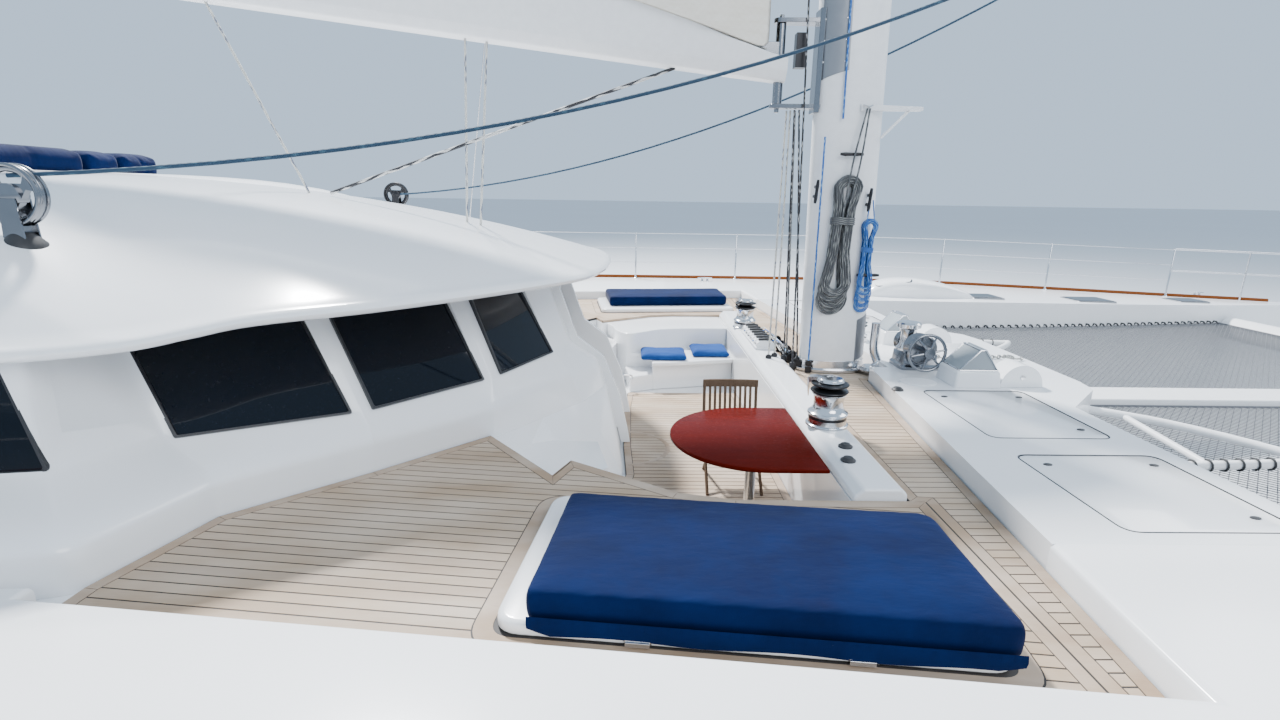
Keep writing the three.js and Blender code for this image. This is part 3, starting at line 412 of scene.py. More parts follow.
@dataclass(frozen=True)
class Teak(Finish):
    """Bleached deck teak: each plank has its own tone, with grain along it."""

    turn: float = 0.0
    pitch: float = PLANK
    light: Colour = (0.46, 0.345, 0.235)
    dark: Colour = (0.29, 0.2, 0.125)

    def build(self, graph: Graph) -> bpy.types.Material:
        """Fills the graph and returns its material."""
        at = graph.place(self.turn)
        _, across, _ = graph.split(at)
        index = (across / self.pitch).floor()
        tone = graph.node("ShaderNodeTexWhiteNoise", {"noise_dimensions": "1D"}, {"W": index})
        grain_at = graph.place(self.turn, (1.6, 42.0, 42.0))
        grain = graph.noise(grain_at, 3.2, 6.0, 0.62)
        weather = graph.noise(graph.place(self.turn, (1.0, 2.2, 1.0)), 1.6, 4.0)
        base = graph.mix(grain * 0.65 + tone * 0.35, self.dark, self.light)
        base = graph.mix(graph.ramp(weather, [(0.35, 0.0), (0.75, 0.4)]), base, (0.72, 0.64, 0.55))
        base = graph.mix(graph.ramp(tone, [(0.0, 0.25), (0.25, 0.0)]), base, (0.40, 0.31, 0.24))
        bump = graph.bump(grain, 0.25, 0.0012)
        return graph.dress(Base_Color=base, Roughness=grain * 0.15 + 0.58, Normal=bump)


@dataclass(frozen=True)
class Wood(Finish):
    """Solid wood with long grain, bare or under varnish."""

    light: Colour = (0.5, 0.12, 0.03)
    dark: Colour = (0.2, 0.03, 0.008)
    stretch: Point = (1.2, 9.0, 9.0)
    rough: float = 0.25
    varnish: float = 1.0

    def build(self, graph: Graph) -> bpy.types.Material:
        """Fills the graph and returns its material."""
        at = graph.place(0.0, self.stretch)
        figure = graph.noise(at, 2.4, 5.0, 0.6)
        pores = graph.noise(graph.place(0.0, scaled(self.stretch, 7.0)), 3.0, 5.0, 0.7)
        base = graph.mix(figure * 0.7 + pores * 0.3, self.dark, self.light)
        base = graph.mix(graph.ramp(pores, [(0.3, 0.5), (0.45, 0.0)]), base, scaled(self.dark, 0.5))
        bump = graph.bump(pores, 0.12 if self.varnish > 0.5 else 0.35, 0.0008)
        return graph.dress(
            Base_Color=base,
            Roughness=pores * 0.12 + self.rough,
            Normal=bump,
            Coat_Weight=self.varnish,
            Coat_Roughness=0.04,
            Specular_IOR_Level=0.03,
        )


@dataclass(frozen=True)
class Cloth(Finish):
    """Woven cover fabric with a soft sheen, faded high spots and lint."""

    thread: Colour = (0.0004, 0.0055, 0.036)
    faded: Colour = (0.0007, 0.0115, 0.066)
    weave: float = 620.0
    lint: float = 0.2
    sheen: float = 0.05

    def build(self, graph: Graph) -> bpy.types.Material:
        """Fills the graph and returns its material."""
        at = graph.place()
        x, y, z = graph.split(at)
        cloud = graph.noise(at, 3.2, 5.0, 0.6)
        fine = graph.noise(at, 300.0, 2.0)
        warp = ((x + z) * self.weave).sine()
        weft = ((y + z) * self.weave).sine()
        weave = warp * weft * 0.5 + 0.5
        base = graph.mix(graph.ramp(cloud, [(0.3, 0.0), (0.72, 1.0)]), self.thread, self.faded)
        base = graph.mix(fine * 0.25 + weave * 0.15, base, scaled(self.thread, 0.55))
        specks = graph.node("ShaderNodeTexVoronoi", None, {"Vector": at, "Scale": 26.0, "Randomness": 1.0})
        speck = graph.ramp(specks, [(0.0, 1.0), (0.035, 0.0)]) * (graph.noise(at, 6.0, 2.0) > 0.56)
        base = graph.mix(speck * self.lint, base, (0.5, 0.55, 0.65))
        crease = graph.bump(graph.noise(graph.place(0.4, (1.0, 2.6, 1.0)), 5.0, 4.0, 0.55), 0.3, 0.02)
        bump = graph.bump(weave + fine, 0.3, 0.0005, crease)
        return graph.dress(
            Base_Color=base,
            Roughness=cloud * 0.1 + 0.78,
            Normal=bump,
            Sheen_Weight=self.sheen,
            Sheen_Roughness=0.4,
            Specular_IOR_Level=0.08,
        )


@dataclass(frozen=True)
class Sailcloth(Finish):
    """Cream laminate sailcloth with fine yarns and creases, and painted shade in the creases' hollows."""

    def build(self, graph: Graph) -> bpy.types.Material:
        """Fills the graph and returns its material."""
        at = graph.place()
        x, _, z = graph.split(at)
        crease = graph.noise(graph.place(0.0, (2.0, 1.0, 9.0)), 2.6, 6.0, 0.62)
        yarn = (x * 90.0).sine() * (z * 90.0).sine() * 0.5 + 0.5
        # painted shade: where the crease noise is low and the bump dents the cloth, the colour turns to the
        # darker cream
        base = graph.mix(crease, (0.66, 0.60, 0.49), (0.86, 0.83, 0.76))
        base = graph.mix(yarn * 0.12, base, (0.55, 0.5, 0.42))
        bump = graph.bump(crease, 0.5, 0.02)
        return graph.dress(Base_Color=base, Roughness=crease * 0.1 + 0.55, Normal=bump, Sheen_Weight=0.15)


@dataclass(frozen=True)
class Glazing(Finish):
    """Tinted panes with dust and a blue cast."""

    tint: Colour = (0.003, 0.006, 0.012)

    def build(self, graph: Graph) -> bpy.types.Material:
        """Fills the graph and returns its material."""
        at = graph.place()
        cloud = graph.noise(at, 0.8, 2.0)
        dust = graph.noise(at, 60.0, 4.0, 0.7)
        base = graph.mix(cloud, scaled(self.tint, 0.4), self.tint)
        base = graph.mix(graph.ramp(dust, [(0.62, 0.0), (0.85, 0.12)]), base, (0.25, 0.26, 0.28))
        return graph.dress(Base_Color=base, Roughness=dust * 0.03 + 0.02, Specular_IOR_Level=0.22)


@dataclass(frozen=True)
class Metal(Finish):
    """Polished or painted metal with fine scratches and water marks."""

    tint: Colour = (0.70, 0.71, 0.73)
    metallic: float = 1.0
    rough: float = 0.12

    def build(self, graph: Graph) -> bpy.types.Material:
        """Fills the graph and returns its material."""
        at = graph.place()
        marks = graph.noise(at, 14.0, 5.0, 0.6)
        scratch = graph.noise(graph.place(0.3, (260.0, 30.0, 30.0)), 2.0, 3.0)
        base = graph.mix(marks, scaled(self.tint, 0.86), self.tint)
        rough = marks * 0.1 + scratch * 0.06 + (self.rough - 0.04)
        bump = graph.bump(scratch, 0.05, 0.0003)
        return graph.dress(Base_Color=base, Roughness=rough, Metallic=self.metallic, Normal=bump)


@dataclass(frozen=True)
class Rubber(Finish):
    """Matt black rubber, plastic or caulking."""

    tint: Colour = (0.012, 0.012, 0.013)
    rough: float = 0.5

    def build(self, graph: Graph) -> bpy.types.Material:
        """Fills the graph and returns its material."""
        at = graph.place()
        dust = graph.noise(at, 18.0, 5.0, 0.65)
        grain = graph.noise(at, 420.0, 2.0)
        base = graph.mix(dust * 0.5, self.tint, tuple(3.0 * c + 0.01 for c in self.tint))
        return graph.dress(
            Base_Color=base, Roughness=dust * 0.2 + self.rough - 0.1, Normal=graph.bump(grain, 0.15, 0.0004)
        )


@dataclass(frozen=True)
class Rope(Finish):
    """Braided rope: strands cross on the surface, some of them flecked, with painted shade in the grooves
    between strands.
    """

    main: Colour = (0.30, 0.31, 0.31)
    fleck: Colour = (0.62, 0.63, 0.6)
    share: float = 0.3

    def build(self, graph: Graph) -> bpy.types.Material:
        """Fills the graph and returns its material."""
        u, v, _ = graph.split(graph.uv())
        left = (u * 8.0 + v).sine()
        one = (u * 4.0 + v).fract()
        two = (v - u * 4.0).fract()
        groove = (one - 0.5).size() + (two - 0.5).size()
        cell = (u * 4.0 + v).floor() * 7.31 + (v - u * 4.0).floor() * 3.17
        chance = graph.node("ShaderNodeTexWhiteNoise", {"noise_dimensions": "1D"}, {"W": cell})
        base = graph.mix(chance < self.share, self.main, self.fleck)
        # painted shade: the grooves between the strands, where the bump sinks, are darkened
        base = graph.mix(groove * 0.5, base, scaled(self.main, 0.35))
        fuzz = graph.noise(graph.place(), 500.0, 2.0)
        bump = graph.bump(groove * -1.0 + left * 0.05 + fuzz * 0.2, 0.6, 0.002)
        return graph.dress(Base_Color=base, Roughness=fuzz * 0.1 + 0.75, Normal=bump, Sheen_Weight=0.2)


@dataclass(frozen=True)
class Ground(Finish):
    """Pale studio floor."""

    def build(self, graph: Graph) -> bpy.types.Material:
        """Fills the graph and returns its material."""
        cloud = graph.noise(graph.place(), 0.05, 2.0)
        base = graph.mix(cloud, (0.62, 0.64, 0.66), (0.66, 0.68, 0.70))
        return graph.dress(Base_Color=base, Roughness=0.6)


WHITE = Gelcoat("polished white gelcoat")
SATIN = Gelcoat("satin white moulding", (0.83, 0.845, 0.86), 0.32)
SHELL = HullPaint("hull paint")
TEAK_PORT = Teak("port deck teak", -PLANK_TURN)
TEAK_STARBOARD = Teak("starboard deck teak", PLANK_TURN)
TEAK_STRAIGHT = Teak("straight deck teak")
MARGIN = Teak("teak margin boards", 0.35, 0.31, (0.38, 0.27, 0.175), (0.24, 0.155, 0.095))
CAULK = Rubber("deck caulking", (0.014, 0.012, 0.011), 0.65)
NAVY = Cloth("navy cover cloth")
SEATBLUE = Cloth("blue seat cloth", (0.008, 0.045, 0.19), (0.016, 0.075, 0.27), 540.0, 0.1)
SAIL = Sailcloth("cream sailcloth")
GLASS = Glazing("dark tinted glass")
PALEGLASS = Glazing("pale hatch glass", (0.42, 0.47, 0.5))
CHROME = Metal("polished stainless steel")
DARKCHROME = Metal("shaded stainless steel", (0.26, 0.27, 0.29), 1.0, 0.16)
WIRE = Metal("stainless wire", (0.55, 0.56, 0.58), 1.0, 0.25)
SPAR = Metal("white spar paint", (0.84, 0.85, 0.86), 0.0, 0.3)
ALLOY = Metal("grey anodised alloy", (0.30, 0.31, 0.33), 0.85, 0.35)
BLACKALLOY = Metal("black anodised alloy", (0.025, 0.025, 0.028), 0.6, 0.3)
BRONZE = Metal("bare bronze", (0.42, 0.31, 0.13), 1.0, 0.35)
BOTTOM = Metal("dark blue antifouling", (0.012, 0.03, 0.09), 0.0, 0.6)
GALVANISED = Metal("galvanised chain", (0.42, 0.42, 0.40), 0.8, 0.45)
BLACK = Rubber("black moulding")
GASKET = Rubber("window gasket", (0.01, 0.01, 0.012), 0.35)
MAHOGANY = Wood(
    "varnished mahogany", (0.12, 0.006, 0.0015), (0.042, 0.002, 0.0008), (1.2, 9.0, 9.0), 0.2, 0.0
)
BRIGHTWORK = Wood("varnished toerail", (0.24, 0.075, 0.02), (0.1, 0.028, 0.008), (1.0, 14.0, 14.0), 0.3, 0.1)
CHAIRWOOD = Wood("weathered chair teak", (0.16, 0.11, 0.075), (0.07, 0.045, 0.03), (6.0, 6.0, 2.0), 0.5, 0.0)
GREYROPE = Rope("grey braided rope", (0.085, 0.09, 0.095), (0.3, 0.31, 0.3), 0.26)
BLUEROPE = Rope("blue braided rope", (0.02, 0.13, 0.45), (0.25, 0.5, 0.8), 0.18)
WHITEROPE = Rope("white flecked rope", (0.62, 0.62, 0.58), (0.1, 0.12, 0.2), 0.12)
BLACKROPE = Rope("black flecked rope", (0.02, 0.02, 0.025), (0.5, 0.5, 0.5), 0.16)
FLECKROPE = Rope("black and white rope", (0.03, 0.03, 0.035), (0.7, 0.7, 0.68), 0.5)
TEALROPE = Rope("blue green sheet", (0.008, 0.042, 0.085), (0.03, 0.09, 0.14), 0.12)
NETCORD = Rope("grey net cord", (0.17, 0.18, 0.2), (0.26, 0.28, 0.3), 0.3)


# ---- Mesh making


def lerp(a: float, b: float, share: float) -> float:
    """The value a share of the way from a to b."""
    return a + (b - a) * share


def around(count: int) -> list[float]:
    """The angles of points spread evenly round a circle."""
    return [2 * math.pi * k / count for k in range(count)]


def powered(value: float, power: float) -> float:
    """A value to a power, with its own sign."""
    return math.copysign(abs(value) ** power, value)


def lift(outline: Iterable[Plan], z: float) -> list[Point]:
    """A plan outline at a height."""
    return [(x, y, z) for x, y in outline]


def upright(outline: Iterable[Plan], y: float) -> list[Point]:
    """An outline of lengths and heights, put at a distance from the centreline."""
    return [(x, y, z) for x, z in outline]


def oblong(x0: float, x1: float, y0: float, y1: float) -> list[Plan]:
    """The four corners of a rectangle."""
    return [(x0, y0), (x1, y0), (x1, y1), (x0, y1)]


def between(rows: Sequence[Sequence[float]], x: float) -> tuple[float, ...]:
    """The values at x in a table whose first column rises, from its second column on.

    Args:
        rows: The table.
        x: A value of its first column.

    Returns:
        The other columns, blended between two rows.
    """
    k = max(1, next((i for i, row in enumerate(rows) if row[0] >= x), len(rows) - 1))
    a, b = rows[k - 1], rows[k]
    share = (x - a[0]) / (b[0] - a[0])
    return tuple(lerp(p, q, share) for p, q in zip(a[1:], b[1:]))


def linked(name: str, data: bpy.types.ID) -> bpy.types.Object:
    """A new object in the scene.

    Args:
        name: Its name.
        data: Its mesh, light or camera.

    Returns:
        The object.
    """
    piece = bpy.data.objects.new(name, data)
    bpy.context.scene.collection.objects.link(piece)
    return piece


def raw_mesh(name: str, points: Iterable, edges: Sequence = (), faces: Sequence = ()) -> bpy.types.Mesh:
    """A mesh of points, edges and faces as they are.

    Args:
        name: Its name.
        points: Its points.
        edges: Pairs of points.
        faces: Faces, by the points' numbers.

    Returns:
        The mesh.
    """
    data = bpy.data.meshes.new(name)
    data.from_pydata([tuple(p) for p in points], edges, faces)
    return data


def smooth_path(points: Sequence[Point], steps: int = 6, closed: bool = False) -> list[Vector]:
    """A Catmull-Rom line through points.

    Args:
        points: The points to pass through.
        steps: The number of steps between two of them.
        closed: Whether the line returns to its start.

    Returns:
        The line's points.
    """
    pts = [Vector(p) for p in points]
    count = len(pts)
    spans = count if closed else count - 1
    line = []
    for i in range(spans):
        if closed:
            a, b, c, d = (pts[(i + k) % count] for k in (-1, 0, 1, 2))
        else:
            b, c = pts[i], pts[i + 1]
            a = pts[i - 1] if i else b * 2 - c
            d = pts[i + 2] if i + 2 < count else c * 2 - b
        for k in range(steps):
            t = k / steps
            line.append(
                0.5
                * (
                    2 * b
                    + (c - a) * t
                    + (2 * a - 5 * b + 4 * c - d) * t * t
                    + (3 * b - a - 3 * c + d) * t * t * t
                )
            )
    if not closed:
        line.append(pts[-1])
    return line


def rounded(points: Sequence[Plan], radius: float | Sequence[float], steps: int = 5) -> list[Plan]:
    """A closed plan outline with its corners rounded.

    Args:
        points: The corners.
        radius: One radius, or one for each corner.
        steps: The number of steps round a corner.

    Returns:
        The rounded outline.
    """
    count = len(points)
    radii = [radius] * count if isinstance(radius, (int, float)) else list(radius)
    line: list[Plan] = []
    for i in range(count):
        here = Vector(points[i])
        back = Vector(points[i - 1]) - here
        on = Vector(points[(i + 1) % count]) - here
        if radii[i] <= 0:
            line.append(tuple(here))
            continue
        half = max(0.05, 0.5 * back.angle(on))
        reach = min(radii[i] / math.tan(half), 0.48 * back.length, 0.48 * on.length)
        a, c = here + back.normalized() * reach, here + on.normalized() * reach
        for k in range(steps + 1):
            t = k / steps
            line.append(tuple(a * (1 - t) ** 2 + here * 2 * t * (1 - t) + c * t * t))
    return line


def inset(points: Sequence[Plan], distance: float) -> list[Plan]:
    """A closed plan outline moved inwards by a distance, with mitred corners.

    Args:
        points: The outline.
        distance: How far it moves.

    Returns:
        The moved outline.
    """
    count = len(points)
    area = sum(a[0] * b[1] - b[0] * a[1] for a, b in zip(points, [*points[1:], points[0]]))
    sign = 1.0 if area > 0 else -1.0
    line = []
    for i in range(count):
        here = Vector(points[i])
        back = (here - Vector(points[i - 1])).normalized()
        on = (Vector(points[(i + 1) % count]) - here).normalized()
        n1 = Vector((-back.y, back.x)) * sign
        n2 = Vector((-on.y, on.x)) * sign
        mitre = n1 + n2
        scale = distance / max(0.3, (1 + n1.dot(n2)))
        line.append(tuple(here + mitre * scale))
    return line


class Shape:
    """Gathers faces, in metres in the boat's frame, for one piece."""

    def __init__(self) -> None:
        """Starts empty."""
        self.points: list[Vector] = []
        self.faces: list[tuple[int, ...]] = []
        self.maps: list[list[Plan] | None] = []

    def add(self, points: Iterable, faces: Iterable[Sequence[int]], maps: Sequence | None = None) -> "Shape":
        """Adds points and faces.

        Args:
            points: The new points.
            faces: The faces, by the new points' numbers.
            maps: The faces' UV corners, if they have them.

        Returns:
            The shape itself.
        """
        start = len(self.points)
        self.points += [Vector(p) for p in points]
        listed = [tuple(start + i for i in face) for face in faces]
        self.faces += listed
        self.maps += list(maps) if maps else [None] * len(listed)
        return self

    def loft(self, rings: Sequence[Sequence], cap: bool = True, mapped: bool = False) -> "Shape":
        """Joins closed rings of equal count in order.

        Args:
            rings: The rings.
            cap: Whether the two ends are closed.
            mapped: Whether the faces get a UV map, along and around.

        Returns:
            The shape itself.
        """
        n = len(rings[0])
        points = [p for ring in rings for p in ring]
        faces, maps = [], []
        along = 0.0
        for k in range(len(rings) - 1):
            step = (Vector(rings[k + 1][0]) - Vector(rings[k][0])).length
            for i in range(n):
                j = (i + 1) % n
                faces.append((k * n + i, k * n + j, (k + 1) * n + j, (k + 1) * n + i))
                maps.append(
                    [(i / n, along), ((i + 1) / n, along), ((i + 1) / n, along + step), (i / n, along + step)]
                )
            along += step
        if cap:
            last = (len(rings) - 1) * n
            faces += [tuple(reversed(range(n))), tuple(range(last, last + n))]
            maps += [[(0.0, 0.0)] * n, [(0.0, 0.0)] * n]
        return self.add(points, faces, maps if mapped else None)

    def tube(
        self,
        path: Sequence,
        radius: float | Sequence[float],
        sides: int = 8,
        pitch: float = 0.0,
        closed: bool = False,
        flat: float = 1.0,
    ) -> "Shape":
        """A round bar or rope along a path.

        Args:
            path: The centreline.
            radius: One radius, or one for each point.
            sides: The number of sides.
            pitch: The length of one turn of a braid; over 0, the bar gets a UV map in turns.
            closed: Whether the bar is a ring.
            flat: The section's height as a share of its width.

        Returns:
            The shape itself.
        """
        pts = [Vector(p) for p in path]
        count = len(pts)
        radii = [radius] * count if isinstance(radius, (int, float)) else list(radius)
        rings = []
        side = None
        for i, p in enumerate(pts):
            if closed:
                way = pts[(i + 1) % count] - pts[i - 1]
            else:
                way = pts[min(i + 1, count - 1)] - pts[max(i - 1, 0)]
            way = way.normalized() if way.length > 1e-9 else Vector((0, 0, 1))
            if side is None:
                seed = Vector((0, 0, 1)) if abs(way.z) < 0.9 else Vector((1, 0, 0))
                side = way.cross(seed).normalized()
            side = side - way * side.dot(way)
            side = side.normalized() if side.length > 1e-6 else way.orthogonal().normalized()
            up = way.cross(side)
            rings.append(
                [
                    p
                    + side * (radii[i] * math.cos(a))
                    + up * (radii[i] * flat * math.sin(a))
                    for a in around(sides)
                ]
            )
        if closed:
            rings.append(rings[0])
        start = len(self.faces)
        self.loft(rings, cap=not closed, mapped=pitch > 0)
        if pitch > 0:
            for k in range(start, len(self.faces)):
                self.maps[k] = [(u, v / pitch) for u, v in self.maps[k]]
        return self

    def lathe(
        self, profile: Sequence[Plan], origin: Point, axis: Point = (0, 0, 1), sides: int = 32
    ) -> "Shape":
        """A turned solid.

        Args:
            profile: Radius and height pairs, from one end to the other.
            origin: The foot of the axis.
            axis: The axis.
            sides: The number of sides.

        Returns:
            The shape itself.
        """
        turn = Vector((0, 0, 1)).rotation_difference(Vector(axis))
        rings = [
            [
                Vector(origin)
                + turn @ Vector((max(r, 1e-4) * math.cos(a), max(r, 1e-4) * math.sin(a), h))
                for a in around(sides)
            ]
            for r, h in profile
        ]
        return self.loft(rings)

    def prism(self, outline: Sequence[Plan], low: float, high: float) -> "Shape":
        """A plan outline from a low to a high level."""
        return self.loft([lift(outline, low), lift(outline, high)])

    def stack(self, levels: Iterable[tuple[Sequence[Plan], float]]) -> "Shape":
        """Plan outlines, each at its own height, joined in order."""
        return self.loft([lift(outline, z) for outline, z in levels])

    def block(self, low: Point, high: Point) -> "Shape":
        """A box between two corners."""
        return self.prism(oblong(low[0], high[0], low[1], high[1]), low[2], high[2])

    def bar(self, a: Point, b: Point, width: float, depth: float, up: Point = (0, 0, 1)) -> "Shape":
        """A straight bar of rectangular section from a to b.

        Args:
            a: Its start.
            b: Its end.
            width: Its width.
            depth: Its depth.
            up: The way its depth is measured.

        Returns:
            The shape itself.
        """
        start, end = Vector(a), Vector(b)
        way = (end - start).normalized()
        side = way.cross(Vector(up))
        side = side.normalized() if side.length > 1e-6 else way.orthogonal().normalized()
        top = side.cross(way)
        corners = [(-1, -1), (1, -1), (1, 1), (-1, 1)]
        return self.loft(
            [[p + side * (u * width / 2) + top * (v * depth / 2) for u, v in corners] for p in (start, end)]
        )

    def mirrored(self) -> "Shape":
        """The same shape on the other side of the centreline.

        Returns:
            A new shape.
        """
        made = Shape()
        made.points = [Vector((p.x, -p.y, p.z)) for p in self.points]
        made.faces = [tuple(reversed(face)) for face in self.faces]
        made.maps = [None if m is None else list(reversed(m)) for m in self.maps]
        return made

    def on(self, side: Side) -> "Shape":
        """The shape drawn to port, put on a side."""
        return self if side is Side.PORT else self.mirrored()

    def turned(self, matrix: Matrix) -> "Shape":
        """A copy moved by a matrix.

        Args:
            matrix: The matrix.

        Returns:
            A new shape.
        """
        made = Shape()
        made.points = [matrix @ p for p in self.points]
        made.faces, made.maps = list(self.faces), list(self.maps)
        return made

    def join(self, other: "Shape") -> "Shape":
        """Adds another shape's faces.

        Args:
            other: The other shape.

        Returns:
            The shape itself.
        """
        start = len(self.points)
        self.points += other.points
        self.faces += [tuple(start + i for i in face) for face in other.faces]
        self.maps += other.maps
        return self

    def mesh(self, name: str) -> bpy.types.Mesh:
        """The shape as a mesh with its faces turned outwards.

        Args:
            name: The mesh's name.

        Returns:
            The mesh.
        """
        data = raw_mesh(name, self.points, faces=self.faces)
        if any(m is not None for m in self.maps):
            layer = data.uv_layers.new(name="UVMap")
            for polygon, m in zip(data.polygons, self.maps):
                for k, loop in enumerate(polygon.loop_indices):
                    layer.data[loop].uv = m[k] if m else (0.0, 0.0)
        work = bmesh.new()
        work.from_mesh(data)
        bmesh.ops.remove_doubles(work, verts=work.verts, dist=1e-5)
        bmesh.ops.recalc_face_normals(work, faces=work.faces)
        work.to_mesh(data)
        work.free()
        return data


@dataclass(frozen=True)
class Edge:
    """How a piece's edges are finished."""

    bevel: float = 0.0
    segments: int = 2
    angle: float = 32.0
    shade: float = 35.0


def make(name: str, data: bpy.types.Mesh, finish: Finish, edge: Edge = Edge()) -> bpy.types.Object:
    """Makes an object from a mesh, with its finish and edges.

    Args:
        name: The piece's name.
        data: Its mesh.
        finish: Its finish.
        edge: How its edges are finished.

    Returns:
        The object.
    """
    data.materials.clear()
    data.materials.append(finish.material())
    piece = linked(name, data)
    data.shade_smooth()
    data.set_sharp_from_angle(angle=math.radians(edge.shade))
    if edge.bevel > 0:
        soft = piece.modifiers.new("soft edges", "BEVEL")
        soft.width = edge.bevel
        soft.segments = edge.segments
        soft.limit_method = "ANGLE"
        soft.angle_limit = math.radians(edge.angle)
        soft.harden_normals = True
    return piece


def baked(piece: bpy.types.Object) -> bpy.types.Object:
    """Turns a piece's modifiers into its mesh.

    Args:
        piece: The piece.

    Returns:
        The same piece.
    """
    graph = bpy.context.evaluated_depsgraph_get()
    graph.update()
    data = bpy.data.meshes.new_from_object(piece.evaluated_get(graph))
    piece.modifiers.clear()
    piece.data = data
    return piece


def carve(piece: bpy.types.Object, shapes: Iterable[Shape], finish: Finish) -> bpy.types.Object:
    """Cuts closed shapes out of a piece.

    Args:
        piece: The piece.
        shapes: What is cut away.
        finish: The finish of the cut faces.

    Returns:
        The piece with its new mesh.
    """
    tools = [make("tool", shape.mesh("tool"), finish) for shape in shapes]
    for tool in tools:
        cut = piece.modifiers.new("cut", "BOOLEAN")
        cut.operation = "DIFFERENCE"
        cut.solver = "EXACT"
        cut.object = tool
    baked(piece)
    for tool in tools:
        bpy.data.objects.remove(tool, do_unlink=True)
    return piece


def settle(piece: bpy.types.Object, body: str, replaces: Sequence[str] = ()) -> bpy.types.Object:
    """Puts a finished piece on its body.

    Args:
        piece: The piece.
        body: The CAD body that it rides on.
        replaces: The CAD nodes that it stands for.

    Returns:
        The piece.
    """
    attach(piece, body)
    if replaces:
        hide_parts(*replaces)
    log.info("%s: %d faces on %s", piece.name, len(piece.data.polygons), body)
    return piece


def put(
    name: str,
    shape: Shape,
    finish: Finish,
    body: str = PLATFORM,
    replaces: Sequence[str] = (),
    edge: Edge = Edge(),
) -> bpy.types.Object:
    """Makes a piece of a shape and settles it.

    Args:
        name: The piece's name.
        shape: Its shape.
        finish: Its finish.
        body: The body it rides on.
        replaces: The nodes that it stands for.
        edge: How its edges are finished.

    Returns:
        The piece.
    """
    return settle(make(name, shape.mesh(name), finish, edge), body, replaces)


def softened(
    node: str, finish: Finish, body: str = PLATFORM, edge: Edge = Edge(0.01)
) -> bpy.types.Object:
    """A copy of a CAD node with its flat faces joined and its edges rounded, which stands for the node.

    Args:
        node: The node.
        finish: The copy's finish.
        body: The body it rides on.
        edge: How its edges are finished.

    Returns:
        The piece.
    """
    work = bmesh.new()
    work.from_mesh(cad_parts[node].data)
    bmesh.ops.remove_doubles(work, verts=work.verts, dist=2e-5)
    bmesh.ops.dissolve_limit(work, angle_limit=math.radians(1.0), verts=work.verts, edges=work.edges)
    data = bpy.data.meshes.new(node + "_soft")
    work.to_mesh(data)
    work.free()
    piece = make(node + "_finished", data, finish, edge)
    return settle(piece, body, [node])


def repaint(node: str, finish: Finish) -> None:
    """Gives a CAD node that stays a better material.

    Args:
        node: The node.
        finish: Its finish.
    """
    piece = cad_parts[node]
    piece.data.materials.clear()
    piece.data.materials.append(finish.material())


# ---- Geometry Nodes


class Rule:
    """A Geometry Nodes tree built in the script, which ends in Realize Instances and Set Material."""

    def __init__(self, name: str, sizes: dict[str, float]) -> None:
        """Starts the tree.

        Args:
            name: The tree's name.
            sizes: Its named inputs and their values.
        """
        self.tree = bpy.data.node_groups.new(name, "GeometryNodeTree")
        face = self.tree.interface
        face.new_socket("Geometry", in_out="INPUT", socket_type="NodeSocketGeometry")
        self.keys = {}
        self.sizes = sizes
        for key in sizes:
            kind = "NodeSocketInt" if isinstance(sizes[key], int) else "NodeSocketFloat"
            self.keys[key] = face.new_socket(key, in_out="INPUT", socket_type=kind).identifier
        face.new_socket("Geometry", in_out="OUTPUT", socket_type="NodeSocketGeometry")
        self.start = self.tree.nodes.new("NodeGroupInput")
        self.end = self.tree.nodes.new("NodeGroupOutput")

    def node(self, kind: str, settings: dict | None = None, inputs: dict | None = None) -> bpy.types.Node:
        """Adds a node.

        Args:
            kind: Its type.
            settings: Its properties.
            inputs: Values, or sockets to link, by name or number.

        Returns:
            The node.
        """
        made = self.tree.nodes.new(kind)
        for key, value in (settings or {}).items():
            setattr(made, key, value)
        for key, value in (inputs or {}).items():
            if isinstance(value, bpy.types.NodeSocket):
                self.tree.links.new(value, made.inputs[key])
            else:
                made.inputs[key].default_value = value
        return made

    def size(self, key: str) -> bpy.types.NodeSocket:
        """The tree's own input of that name."""
        return self.start.outputs[key]

    def run(self, piece: bpy.types.Object, result: bpy.types.NodeSocket, finish: Finish) -> bpy.types.Object:
        """Ends the tree, runs it on a piece and keeps the plain mesh.

        Args:
            piece: The piece whose mesh goes in.
            result: The socket of the made geometry.
            finish: The finish that the tree sets.

        Returns:
            The piece with its new mesh.
        """
        real = self.node("GeometryNodeRealizeInstances", None, {0: result})
        dressed = self.node(
            "GeometryNodeSetMaterial", None, {0: real.outputs[0], "Material": finish.material()}
        )
        self.tree.links.new(dressed.outputs[0], self.end.inputs[0])
        rule = piece.modifiers.new("rule", "NODES")
        rule.node_group = self.tree
        for key, identifier in self.keys.items():
            rule[identifier] = self.sizes[key]
        baked(piece)
        if not piece.data.materials:
            piece.data.materials.append(finish.material())
        return piece


